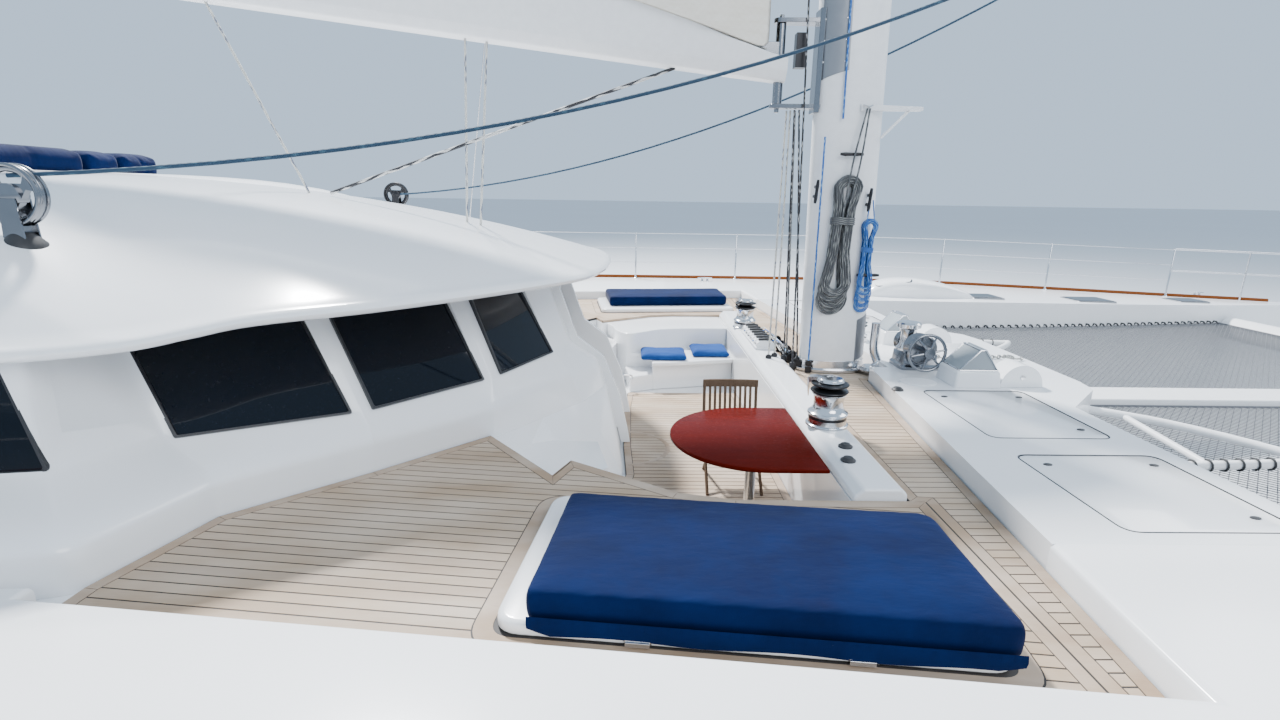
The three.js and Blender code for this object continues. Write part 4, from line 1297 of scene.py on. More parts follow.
def studs(
    name: str, spots: Sequence[Point], radius: float, height: float, axis: Point, finish: Finish,
    body: str = PLATFORM,
) -> bpy.types.Object:
    """Domed fastener heads on a list of spots, made by a Geometry Nodes tree.

    Args:
        name: The piece's name.
        spots: Where they sit.
        radius: Their radius.
        height: How far they stand proud.
        axis: The way they face.
        finish: Their finish.
        body: The body they ride on.

    Returns:
        The piece.
    """
    rule = Rule(name + " rule", {"Radius": radius, "Height": height, "Sides": 10})
    head = rule.node(
        "GeometryNodeMeshCone",
        None,
        {"Vertices": rule.size("Sides"), "Radius Bottom": rule.size("Radius"), "Depth": rule.size("Height")},
    )
    narrow = rule.node("ShaderNodeMath", {"operation": "MULTIPLY"}, {0: rule.size("Radius"), 1: 0.6})
    rule.tree.links.new(narrow.outputs[0], head.inputs["Radius Top"])
    turn = Vector((0, 0, 1)).rotation_difference(Vector(axis)).to_euler()
    points = rule.node("GeometryNodeMeshToPoints", None, {0: rule.start.outputs[0]})
    placed = rule.node(
        "GeometryNodeInstanceOnPoints",
        None,
        {"Points": points.outputs[0], "Instance": head.outputs[0], "Rotation": tuple(turn)},
    )
    piece = linked(name, raw_mesh("spots", spots))
    rule.run(piece, placed.outputs[0], finish)
    return settle(piece, body)


def planks(
    name: str,
    area: Shape,
    finish: Finish,
    body: str,
    turn: float,
    level: float,
    reach: tuple[float, float, float, float],
    hole: Shape | None = None,
) -> bpy.types.Object:
    """Deck planks with open seams, cut to an area by a Geometry Nodes tree.

    Args:
        name: The piece's name.
        area: A closed prism over the area that the planks fill.
        finish: Their finish.
        body: The body they ride on.
        turn: The planks' angle from the boat's length.
        level: The height of their top.
        reach: The lowest and highest X, and the lowest and highest Y, that they may need.
        hole: A closed prism that the planks leave free.

    Returns:
        The piece.
    """
    x0, x1, y0, y1 = reach
    middle = Vector(((x0 + x1) / 2, (y0 + y1) / 2, 0))
    span = math.hypot(x1 - x0, y1 - y0)
    count = int(span / PLANK) + 2
    across = Vector((-math.sin(turn), math.cos(turn), 0))
    first = round((middle.dot(across) - span / 2) / PLANK) * PLANK
    along = Vector((math.cos(turn), math.sin(turn), 0))
    start = along * middle.dot(along) + across * (first + PLANK / 2)
    rule = Rule(
        name + " rule",
        {"Count": count, "Width": PLANK - SEAM, "Pitch": PLANK, "Length": span, "Depth": PLANK_DEPTH},
    )
    line = rule.node(
        "GeometryNodeMeshLine", None, {"Count": rule.size("Count"), "Start Location": (0.0, 0.0, 0.0)}
    )
    step = rule.node("ShaderNodeCombineXYZ", None, {"Y": rule.size("Pitch")})
    rule.tree.links.new(step.outputs[0], line.inputs["Offset"])
    measure = rule.node(
        "ShaderNodeCombineXYZ",
        None,
        {"X": rule.size("Length"), "Y": rule.size("Width"), "Z": rule.size("Depth")},
    )
    board = rule.node("GeometryNodeMeshCube", None, {"Size": measure.outputs[0]})
    placed = rule.node(
        "GeometryNodeInstanceOnPoints", None, {"Points": line.outputs[0], "Instance": board.outputs[0]}
    )
    real = rule.node("GeometryNodeRealizeInstances", None, {0: placed.outputs[0]})
    laid = rule.node(
        "GeometryNodeTransform",
        None,
        {
            "Geometry": real.outputs[0],
            "Translation": (start.x, start.y, level - PLANK_DEPTH / 2),
            "Rotation": (0.0, 0.0, turn),
        },
    )
    cut = rule.node("GeometryNodeMeshBoolean", {"operation": "INTERSECT", "solver": "EXACT"})
    rule.tree.links.new(rule.start.outputs[0], cut.inputs["Mesh 2"])
    rule.tree.links.new(laid.outputs[0], cut.inputs["Mesh 2"])
    piece = make(name, area.mesh(name), finish)
    if hole:
        carve(piece, [hole], finish)
    rule.run(piece, cut.outputs[0], finish)
    return settle(piece, body)


def reshade(piece: bpy.types.Object, angle: float = 35.0) -> bpy.types.Object:
    """Shades a piece smooth up to an angle in degrees.

    Args:
        piece: The piece.
        angle: The angle.

    Returns:
        The same piece.
    """
    piece.data.shade_smooth()
    piece.data.set_sharp_from_angle(angle=math.radians(angle))
    return piece


def bezier(a: Vector, b: Vector, c: Vector, steps: int) -> list[Vector]:
    """Points of a quadratic curve from a to c that bends towards b."""
    return [a * (1 - t) ** 2 + b * 2 * t * (1 - t) + c * t * t for t in (k / steps for k in range(steps + 1))]


# ---- Hulls


@dataclass
class Hulls:
    """The two hulls, with keels, blisters, hatches and portlights."""

    stations: list[tuple[float, float, float, float, float]] = field(
        default_factory=lambda: [
            (-13.4, 1.15, 0.8, 0.22, 2.34),
            (-11.0, 1.29, 0.93, 0.56, 2.34),
            (-8.0, 1.3, 1.01, 0.86, 2.34),
            (-4.0, 1.3, 1.05, 1.06, 2.34),
            (0.0, 1.3, 1.05, 1.11, 2.34),
            (3.5, 1.3, 0.99, 1.08, 2.34),
            (5.0, 1.29, 0.92, 1.05, 2.335),
            (7.0, 1.18, 0.77, 0.99, 2.31),
            (9.0, 0.9, 0.58, 0.9, 2.26),
            (11.0, 0.56, 0.36, 0.76, 2.21),
            (12.5, 0.28, 0.17, 0.6, 2.18),
            (13.3, 0.11, 0.07, 0.45, 2.16),
            (13.6, 0.045, 0.035, 0.33, 2.15),
        ]
    )
    raised: list[Plan] = field(
        default_factory=lambda: [
            (-10.9, 4.125), (-1.62, 4.125), (-1.62, 4.2), (2.817, 4.73), (2.905, 3.7), (-10.9, 3.7)
        ]
    )
    steps: list[tuple[float, float, float]] = field(
        default_factory=lambda: [
            (-13.6, -12.75, 0.45),
            (-12.8, -12.4, 0.8),
            (-12.45, -12.05, 1.15),
            (-12.1, -11.7, 1.5),
            (-11.75, -11.35, 1.85),
        ]
    )
    blister_plan: Point = (4.86, 6.72, 4.45)

    def at(self, x: float) -> tuple[float, float, float, float]:
        """The half widths of deck and waterline, the draft and the sheer at a station."""
        return between(self.stations, x)

    def ring(self, x: float, values: Sequence[float]) -> list[Vector]:
        """The hull's section at a station, from the gunwale round the keel to the inner edge.

        Args:
            x: The station.
            values: Its half widths, draft and sheer.

        Returns:
            The section's points.
        """
        deck, water, draft, sheer = values
        chine = deck - (deck - water) * (0.45 if x > 5.0 else 0.0)
        lip = min(0.06, 0.4 * deck)
        bilge = [math.radians(a) for a in (20, 42, 66)]
        gunwale = bezier(
            Vector((deck - lip, sheer, 0)), Vector((deck, sheer, 0)), Vector((deck, sheer - lip, 0)), 5
        )
        outer = [
            (deck, sheer - lip),
            (deck - (deck - water) * 0.15, 1.5),
            (water + (deck - water) * 0.35, 0.7),
            (water, 0.0),
            *[(water * math.cos(a), -draft * math.sin(a)) for a in bilge],
            (0.0, -draft),
        ]
        inner = [
            (0.0, -draft),
            *[(-water * math.cos(a), -draft * math.sin(a)) for a in reversed(bilge)],
            (-water, 0.0),
            (-water - (chine - water) * 0.25, 0.56),
            (-chine, 0.93),
        ]
        line = gunwale[:-1]
        line += smooth_path([(u, v, 0) for u, v in outer], 4)[:-1]
        line += smooth_path([(u, v, 0) for u, v in inner], 4)
        line.append(Vector((-deck, sheer, 0)))
        return [Vector((x, HULL_Y + p.x, p.y)) for p in line]

    def shell(self) -> bpy.types.Object:
        """The port hull's moulding with its steps, deck bed and well cut out.

        Returns:
            The piece.
        """
        rows = smooth_path([row[:3] for row in self.stations], 5)
        more = smooth_path([(row[0], *row[3:]) for row in self.stations], 5)
        rings = [self.ring(a.x, (a.y, a.z, b.y, b.z)) for a, b in zip(rows, more)]
        piece = make("hull_port_shell", Shape().loft(rings).mesh("hull"), SHELL)
        scoop = [(-13.5, 0.62), (-11.3, HULL_DECK + 0.001), (-11.3, 2.8), (-13.5, 2.8)]
        cuts = [Shape().loft([upright(scoop, y) for y in (HULL_Y - 1.5, HULL_Y + 1.5)])]
        for aft, front, z in self.steps:
            tread = rounded(oblong(aft, front, HULL_Y - 0.82, HULL_Y + 0.82), [0, 0.12, 0.12, 0])
            cuts.append(Shape().prism(tread, z, 3.0))
        lip = (
            (0, 2.17), (0, 2.312), (0.003, 2.322), (0.009, 2.332), (0.02, 2.338), (0.034, 2.3402),
            (0.034, 2.6),
        )
        cuts.append(Shape().stack((inset(self.raised, -grow), z) for grow, z in lip))
        cuts.append(Shape().block((0.52, 3.7, 1.85), (2.24, 4.18, 2.6)))
        return reshade(carve(piece, cuts, SHELL), 32)

    def fins(self) -> Shape:
        """Keel fin, propeller leg and pod, and rudder boss, in smooth sections.

        Returns:
            The port hull's shape.
        """
        shape = Shape()
        keel = (
            (-0.95, -5.2, -0.6, 0.2), (-1.2, -5.05, -0.85, 0.18), (-1.5, -4.85, -1.15, 0.15),
            (-1.62, -4.75, -1.3, 0.12), (-1.65, -4.6, -1.5, 0.05),
        )
        shape.loft([self.foil(*row) for row in keel])
        shape.loft(
            [self.foil(z, -9.18, -8.6, 0.09 * s) for z, s in ((-0.3, 1.0), (-0.7, 0.85), (SHAFT_Z, 0.75))]
        )
        shape.lathe(
            [(0.0, 0.0), (0.06, 0.015), (0.09, 0.08), (0.095, 0.3), (0.09, 0.6), (0.07, 0.74), (0.0, 0.74)],
            (-8.5, HULL_Y, SHAFT_Z),
            (-1, 0, 0),
            24,
        )
        shape.lathe([(0.0, -0.58), (0.07, -0.58), (0.08, -0.3), (0.0, -0.3)], (RUDDER_X, HULL_Y, 0.0))
        return shape

    @staticmethod
    def foil(z: float, aft: float, front: float, half: float, count: int = 12) -> list[Point]:
        """A streamlined plan section at a level.

        Args:
            z: The level.
            aft: Its after end.
            front: Its front end.
            half: Its half width.
            count: The number of points on a side.

        Returns:
            The section's points.
        """
        ring = []
        for k in range(2 * count):
            share = k / count if k < count else (2 * count - k) / count
            thick = half * 2.6 * math.sqrt(max(share, 0.0)) * (1 - share) + half * 0.06
            sign = 1 if k < count else -1
            ring.append((lerp(front, aft, share), HULL_Y + sign * thick, z))
        return ring

    @staticmethod
    def blister_form(t: float) -> tuple[float, float]:
        """The blister's half width and rise at a share of its length."""
        rise = math.sin(math.pi * t**0.72) ** 0.62 if 0 < t < 1 else 0.0
        return 0.34 * (0.62 + 0.38 * math.sin(math.pi * t**0.8)), 0.3 * rise + 0.02

    def blister(self) -> Shape:
        """The rounded hatch blister on the hull's deck.

        Returns:
            The port hull's shape.
        """
        x0, x1, y, foot, low = *self.blister_plan, 2.31, 2.25
        rings = []
        for k in range(25):
            t = k / 24
            x = lerp(x0, x1, t)
            wide, high = self.blister_form(t)
            arc = [math.pi * j / 16 for j in range(17)]
            ring = [(x, y + wide * powered(math.cos(a), 0.55), foot + high * math.sin(a) ** 0.6) for a in arc]
            rings.append([*ring, (x, y - wide, low), (x, y + wide, low)])
        return Shape().loft(rings)

    def blister_top(self, x: float, y: float) -> float:
        """The blister's height at a point of its plan.

        Args:
            x: The point's X.
            y: Its Y.

        Returns:
            The height.
        """
        x0, x1, middle = self.blister_plan
        wide, high = self.blister_form((x - x0) / (x1 - x0))
        across = min(1.0, abs(y - middle) / wide) ** (1 / 0.55)
        return 2.31 + high * math.sqrt(1 - across * across) ** 0.6

    def hatch(
        self, shape: Shape, frame_shape: Shape, x: float, y: float, length: float, width: float
    ) -> None:
        """A flush dark hatch pane with its frame on the deck.

        Args:
            shape: Takes the pane.
            frame_shape: Takes the frame.
            x: The middle's X.
            y: Its Y.
            length: The pane's length.
            width: The pane's width.
        """
        _, _, _, sheer = self.at(x)
        corners = oblong(x - length / 2, x + length / 2, y - width / 2, y + width / 2)
        pane = rounded(corners, 0.05)
        rim = rounded(inset(corners, -0.03), 0.07)
        shape.prism(pane, sheer - 0.02, sheer + 0.026)
        frame_shape.stack([(rim, sheer - 0.01), (rim, sheer + 0.012), (inset(rim, 0.008), sheer + 0.02)])

    def portlights(self) -> Shape:
        """Long dark panes that lie on the topsides.

        Returns:
            The port hull's shape.
        """
        shape = Shape()
        low, high, slope = 1.28, 1.62, 0.12
        for x0, x1 in ((-7.6, -5.4), (-4.6, -2.4), (-1.4, 0.8), (1.8, 3.6)):
            outline = rounded([(x0, low), (x1, low), (x1 - slope, high), (x0 + slope, high)], slope)
            shape.loft([[(x, self.topside(x, z) + push, z) for x, z in outline] for push in (0.012, -0.03)])
        return shape

    def topside(self, x: float, z: float) -> float:
        """The hull's outer face at a station and a height.

        Args:
            x: The station.
            z: The height.

        Returns:
            The distance from the centreline.
        """
        deck, water, _, _ = self.at(x)
        middle = deck - (deck - water) * 0.15
        foot = water + (deck - water) * 0.35
        return HULL_Y + (
            lerp(middle, deck, (z - 1.5) / 0.78) if z > 1.5 else lerp(foot, middle, (z - 0.7) / 0.8)
        )

    def toerail(self) -> Shape:
        """The varnished rail along the deck's outer edge.

        Returns:
            The port hull's shape.
        """
        section = rounded(
            [(-0.026, 0.0), (0.026, 0.0), (0.022, 0.062), (-0.022, 0.062)], [0, 0, 0.014, 0.014], 3
        )
        rings = []
        x = -11.2
        while x <= 12.9:
            deck, _, _, sheer = self.at(x)
            rings.append([(x, HULL_Y + deck - 0.03 + u, sheer - 0.006 + v) for u, v in section])
            x += 0.4
        return Shape().loft(rings)

    def build(self) -> None:
        """Makes both hulls and what is fixed to them."""
        port = self.shell()
        for side in Side:
            if side is Side.PORT:
                piece = port
            else:
                data = port.data.copy()
                for vertex in data.vertices:
                    vertex.co.y = -vertex.co.y
                data.flip_normals()
                piece = reshade(linked("hull_starboard_shell", data), 32)
            settle(piece, PLATFORM, [f"hull_{side.tag}"])
            put(f"keel_{side.tag}", self.fins().on(side), SHELL)
            put(f"deck_blister_{side.tag}", self.blister().on(side), WHITE, edge=Edge(shade=50))
            panes, rims = Shape(), Shape()
            for x, y, length, width in (
                (6.95, 4.45, 0.5, 0.5), (8.9, 4.55, 0.62, 0.5), (-3.2, 5.3, 0.6, 0.6),
                (-6.4, 5.3, 0.6, 0.6), (11.0, 4.95, 0.5, 0.42),
            ):
                self.hatch(panes, rims, x, y, length, width)
            window = rounded([(5.02, 4.22), (5.62, 4.18), (5.62, 4.72), (5.02, 4.68)], 0.08)
            panes.loft(
                [[(x, y, self.blister_top(x, y) + rise) for x, y in window] for rise in (-0.02, 0.008)]
            )
            put(f"deck_hatch_panes_{side.tag}", panes.on(side), GLASS, edge=Edge(0.004))
            put(f"deck_hatch_rims_{side.tag}", rims.on(side), ALLOY)
            put(f"portlights_{side.tag}", self.portlights().on(side), GLASS, edge=Edge(0.004))
            put(f"toerail_{side.tag}", self.toerail().on(side), BRIGHTWORK)


# ---- Coachroof


HOUSE_ROWS = [
    {"base": (0.64, 0), "ledge": (0.565, 0), "sill": (0.3, 0), "head": (0.085, 0)},
    {"base": (0.615, 0.6), "ledge": (0.54, 0.6), "sill": (0.285, 0.6), "head": (0.06, 0.575)},
    {"base": (0.455, 1.08), "ledge": (0.33, 1.06), "sill": (0.2, 0.985), "head": (-0.09, 0.925)},
    {"base": (-0.16, 1.99), "ledge": (-0.15, 2.04), "sill": (-0.175, 1.85), "head": (-0.49, 1.63)},
    {"base": (-0.79, 2.67), "ledge": (-0.76, 2.67), "sill": (-0.82, 2.64), "head": (-1.2, 2.375)},
    {"base": (-1.41, 3.27), "ledge": (-1.405, 3.27), "sill": (-1.72, 3.14), "head": (-2.07, 2.95)},
    {"base": (-1.6, 3.93), "ledge": (-1.625, 3.95), "sill": (-2.0, 3.57), "head": (-2.07, 3.5)},
    {"base": (-2.1, 4.08), "ledge": (-2.3, 4.08), "sill": (-3.4, 3.8), "head": (-3.45, 3.68)},
    {"base": (-4.8, 4.09), "ledge": (-4.8, 4.08), "sill": (-4.8, 3.83), "head": (-4.8, 3.7)},
]
HOUSE_AFT = -7.2
HOUSE_MIDDLE = -3.6
SILL, LEDGE, HEAD, BASE, PANE_TOP = 2.57, 2.42, 3.235, 2.1705, 3.165


@dataclass
class Coachroof:
    """Roof shell, house walls, windows and doors."""

    ridge: float = -5.5
    crown: float = 4.1
    brow: list[tuple[float, float, float, float]] = field(
        default_factory=lambda: [
            (0.66, 0.0, 3.3, 2.27),
            (0.615, 0.7, 3.3, 2.27),
            (0.44, 1.35, 3.3, 2.27),
            (-0.06, 2.08, 3.295, 2.27),
            (-0.62, 2.68, 3.285, 2.3),
            (-1.16, 3.08, 3.27, 2.35),
            (-1.38, 3.27, 3.235, 2.6),
            (-1.62, 3.44, 3.19, 3.2),
            (-2.1, 3.69, 3.165, 4.4),
            (-3.2, 4.0, 3.15, 5.2),
            (-5.5, 4.08, 3.14, 5.4),
            (-9.0, 4.04, 3.14, 5.4),
            (-10.25, 3.7, 3.16, 4.8),
            (-10.58, 3.0, 3.2, 4.4),
            (-10.6, 1.5, 3.22, 4.2),
            (-10.6, 0.0, 3.22, 4.2),
        ]
    )
    panels: list[tuple[int, int, float, float]] = field(
        default_factory=lambda: [
            (2, 3, 0.05, 0.885), (3, 4, 0.08, 0.94), (4, 5, 0.07, 0.955), (6, 7, -0.01, 0.96),
            (7, 8, 0.05, 0.95),
        ]
    )

    def roof(self) -> Shape:
        """The roof's smooth shell with its rolled brow.

        Returns:
            The shape.
        """
        plan = smooth_path([(x, y, 0) for x, y, _, _ in self.brow], 6)
        facts = smooth_path([(z, p, 0) for _, _, z, p in self.brow], 6)
        edge = [(a.x, max(a.y, 0.0), b.x, b.y) for a, b in zip(plan, facts)]
        loop = edge + [(x, -y, z, p) for x, y, z, p in reversed(edge[1:-1])]

        def ring(share: float, height: Callable[[float, float], float]) -> list[Point]:
            """The brow's line drawn in towards the middle, at the heights of a rule."""
            return [(lerp(self.ridge, x, share), y * share, height(z, p)) for x, y, z, p in loop]

        rings = []
        for share in (
            0.03, 0.1, 0.18, 0.26, 0.34, 0.42, 0.5, 0.57, 0.64, 0.7, 0.76, 0.81, 0.855, 0.895, 0.925, 0.95,
            0.97, 0.983,
        ):
            rings.append(ring(share, lambda z, p: self.crown - (self.crown - z) * share**p))
        for share, drop in (
            (0.991, 0.008), (0.9965, 0.024), (0.9995, 0.048), (0.9985, 0.068), (0.9955, 0.082),
            (0.991, 0.088), (0.985, 0.088),
        ):
            rings.append(ring(share, lambda z, p: self.crown - (self.crown - z) * 0.983**p - drop * 0.9))
        rings.append(ring(0.972, lambda z, p: min(HEAD + 0.001, z - 0.03)))
        rings.append(ring(0.95, lambda z, p: HEAD + 0.0005))
        rings.append(ring(0.87, lambda z, p: HEAD + 0.0005))
        for share in (0.869, 0.78, 0.62, 0.42, 0.2, 0.03):
            rings.append(ring(share, lambda z, p: self.crown - 0.8 * share**p - 0.09))
        return Shape().loft(rings)

    def plan(self, key: str, shrink: float = 1.0, radius: float = 0.06) -> list[Plan]:
        """The house's plan at one of its levels, with rounded corners.

        Args:
            key: The level.
            shrink: Its size as a share.
            radius: The corners' radius.

        Returns:
            The outline.
        """
        half = [row[key] for row in HOUSE_ROWS] + [(HOUSE_AFT, HOUSE_ROWS[-1][key][1])]
        line = [*half, *[(x, -y) for x, y in reversed(half[1:])]]
        radii = [0.0, *[radius * 2.5] * 2, *[radius] * 6, radius * 2.5]
        radii += reversed(radii[1:])
        moved = [(HOUSE_MIDDLE + (x - HOUSE_MIDDLE) * shrink, y * shrink) for x, y in line]
        return rounded(moved, radii, 4)

    def walls(self) -> bpy.types.Object:
        """The walls with their rounded ledge, open at windows and doorways.

        Returns:
            The piece.
        """

        def level(key: str, z: float, shrink: float = 1.0) -> list[Vector]:
            """The walls' plan at one of their levels."""
            radius = 0.16 if key in ("base", "ledge") else 0.07
            return [Vector(p) for p in lift(self.plan(key, shrink, radius), z)]

        base, ledge = level("base", BASE), level("ledge", LEDGE)
        sill, head = level("sill", SILL), level("head", HEAD - SEAT_GAP)
        rings = [base, [a.lerp(b, 0.5) for a, b in zip(base, ledge)]]
        start = [a.lerp(b, 0.8) for a, b in zip(base, ledge)]
        middle = [a.lerp(b, 0.42) for a, b in zip(ledge, sill)]
        top = [a.lerp(b, 0.08) for a, b in zip(sill, head)]
        arcs = [bezier(a, b, c, 5) for a, b, c in zip(start, ledge, middle)]
        rings += [[arc[k] for arc in arcs] for k in range(6)]
        arcs = [bezier(a, b, c, 5) for a, b, c in zip(middle, sill, top)]
        rings += [[arc[k] for arc in arcs] for k in range(1, 6)]
        shrink = 0.985
        lining = (("head", HEAD - SEAT_GAP), ("sill", SILL), ("ledge", LEDGE), ("base", BASE))
        rings += [head, *[level(key, z, shrink) for key, z in lining], base]
        piece = make("house_walls", Shape().loft(rings, cap=False).mesh("walls"), WHITE)
        cuts = [
            Shape().loft([[p + normal * push for p in outline] for push in (-0.26, 0.26)]).on(side)
            for side in Side
            for outline, normal in self.windows()
        ]
        cuts.append(Shape().block((-0.3, -0.43, 1.5), (1.2, 0.43, 3.13)))
        cuts.append(Shape().block((-7.5, -0.7, 1.5), (-6.9, 0.7, 3.13)))
        return reshade(carve(piece, cuts, WHITE), 32)

    def windows(self) -> list[tuple[list[Vector], Vector]]:
        """Each port window's rounded outline and its outward normal.

        Returns:
            A pair for each window.
        """
        found = []
        for start, end, a, b in self.panels:
            lean = 0.08 if start == 6 else 0.0

            def at(key: str, share: float, z: float) -> Vector:
                """A point between the panel's two corners."""
                p, q = HOUSE_ROWS[start][key], HOUSE_ROWS[end][key]
                return Vector((lerp(p[0], q[0], share), lerp(p[1], q[1], share), z))

            found.append(
                self.flat(
                    [
                        at("sill", a, SILL + 0.03),
                        at("sill", b, SILL + 0.03),
                        at("head", b, PANE_TOP),
                        at("head", a + lean, PANE_TOP),
                    ]
                )
            )
        found.append(
            self.flat(
                [
                    Vector((x, lerp(3.83, 3.7, (z - SILL) / (HEAD - SILL)), z))
                    for x, z in oblong(-5.0, -6.9, SILL + 0.03, PANE_TOP)
                ]
            )
        )
        found.append(self.flat([Vector((HOUSE_AFT, y, z)) for y, z in oblong(1.1, 3.2, 2.45, 3.13)]))
        return found

    @staticmethod
    def flat(corners: list[Vector], radius: float = 0.014) -> tuple[list[Vector], Vector]:
        """Rounds four corners in their own plane.

        Args:
            corners: The corners in order.
            radius: The rounding.

        Returns:
            The outline and the normal that faces away from the house's middle.
        """
        a, b, _, d = corners
        one = (b - a).normalized()
        normal = one.cross(d - a).normalized()
        two = normal.cross(one)
        flat = [((p - a).dot(one), (p - a).dot(two)) for p in corners]
        outline = [a + one * u + two * v for u, v in rounded(flat, radius, 4)]
        if normal.dot(a - Vector((HOUSE_MIDDLE, 0, 2.9))) < 0:
            normal = -normal
        return outline, normal

    def glazing(self) -> tuple[Shape, Shape]:
        """The panes and their black gaskets, port side.

        Returns:
            The two shapes.
        """
        panes, gaskets = Shape(), Shape()
        for outline, normal in self.windows():
            middle = sum(outline, Vector()) / len(outline)

            def drawn(gap: float, push: float) -> list[Vector]:
                """The window's outline drawn in and pushed outwards."""
                return [p + (middle - p).normalized() * gap * 1.25 + normal * push for p in outline]

            panes.loft([drawn(0.008, -0.010), drawn(0.008, -0.022)])
            section = (
                (-0.004, 0.0035), (0.012, 0.0035), (0.017, -0.006), (0.017, -0.03), (-0.004, -0.03),
                (-0.004, 0.0035),
            )
            gaskets.loft([drawn(*corner) for corner in section], cap=False)
        return panes, gaskets

    def cheeks(self) -> Shape:
        """The jambs that the forward door stands between.

        Returns:
            The shape.
        """
        outline = [
            (0.03, 1.701), (0.741, 1.701), (0.776, 1.5405), (0.865, 1.5405), (0.845, 1.66), (0.765, 2.04),
            (0.7, 2.19), (0.6, 2.43), (0.35, 2.62), (0.165, 3.15), (0.03, 3.15),
        ]
        shape = Shape()
        for y0, y1 in ((0.431, 0.49), (-0.49, -0.431)):
            shape.loft([upright(outline, y) for y in (y0, y1)])
        return shape

    def door(
        self, x: float, thick: float, half: float, low: float, high: float, rail: float
    ) -> tuple[Shape, Shape]:
        """A glazed door leaf: its frame and its pane.

        Args:
            x: Its after face.
            thick: Its thickness.
            half: Its half width.
            low: Its foot.
            high: Its head.
            rail: The frame's width.

        Returns:
            The two shapes.
        """
        leaf, pane = Shape(), Shape()
        outer = rounded(oblong(-half, half, low, high), 0.02, 3)
        inner = rounded(oblong(-half + rail, half - rail, low + rail, high - rail), 0.05, 3)
        section = ((x, outer), (x + thick, outer), (x + thick, inner), (x, inner), (x, outer))
        leaf.loft([[(u, y, z) for y, z in line] for u, line in section], cap=False)
        pane.loft([[(x + thick * t, y, z) for y, z in inset(inner, -0.004)] for t in (0.3, 0.7)])
        return leaf, pane

    def build(self) -> None:
        """Makes the roof, walls, windows and doors."""
        put("roof_shell", self.roof(), WHITE, replaces=["coachroof"], edge=Edge(shade=48))
        posts = Shape()
        for y in (3.35, -3.35):
            posts.lathe(
                [(0.0, 0.0), (0.1, 0.0), (0.1, 0.012), (0.06, 0.03), (0.055, 1.05), (0.07, 1.09), (0.0, 1.09)],
                (-10.15, y, BASE),
                sides=24,
            )
        put("roof_posts", posts, CHROME)
        settle(self.walls(), PLATFORM, ["coachroof_walls"])
        put("door_jambs", self.cheeks(), WHITE, edge=Edge(0.008))
        panes, gaskets = self.glazing()
        put(
            "window_panes", Shape().join(panes).join(panes.mirrored()), GLASS,
            replaces=["saloon_glazing"],
        )
        put("window_gaskets", Shape().join(gaskets).join(gaskets.mirrored()), GASKET)
        # Painted shade: a black block fills the saloon behind the windows to stand for the dark inside.
        dark = Shape().stack([(self.plan("sill", 0.975), 2.62), (self.plan("head", 0.975), 3.2)])
        put("saloon_shade", dark, GASKET)
        leaf, pane = self.door(0.065, 0.04, 0.42, 1.61, 3.11, 0.075)
        put("forward_door_leaf", leaf, SATIN, "forward_door", ["forward_door"], Edge(0.004))
        put("forward_door_pane", pane, GLASS, "forward_door")
        grip = Shape().tube(
            smooth_path(
                [
                    (0.105, 0.35, 2.28), (0.16, 0.35, 2.3), (0.165, 0.35, 2.42), (0.16, 0.35, 2.52),
                    (0.105, 0.35, 2.54),
                ],
                4,
            ),
            0.011,
            10,
        )
        put("forward_door_handle", grip, CHROME, "forward_door")
        leaf, pane = self.door(-7.25, 0.04, 0.74, 1.7003, 3.15, 0.07)
        put("aft_door_leaf", leaf, ALLOY, "aft_door", ["aft_door"], Edge(0.004))
        put("aft_door_pane", pane, GLASS, "aft_door")


# ---- Decks


@dataclass
class Lid:
    """A sun pad's hinged lid, to port."""

    x: float = 1.39
    y: float = 3.78
    length: float = 2.07
    width: float = 1.16
    base: float = 2.2003
    top: float = 2.262

    def outline(self, grow: float, radius: float) -> list[Plan]:
        """The lid's plan, grown by a distance, in the boat's frame."""
        u, v = self.length / 2 + grow, self.width / 2 + grow
        return [self.place(p) for p in rounded(oblong(-u, u, -v, v), radius, 8)]

    def place(self, p: Plan) -> Plan:
        """A point of the lid's own plan in the boat's frame."""
        c, s = math.cos(SKEW), math.sin(SKEW)
        return (self.x + c * p[0] - s * p[1], self.y + s * p[0] + c * p[1])


LID = Lid()


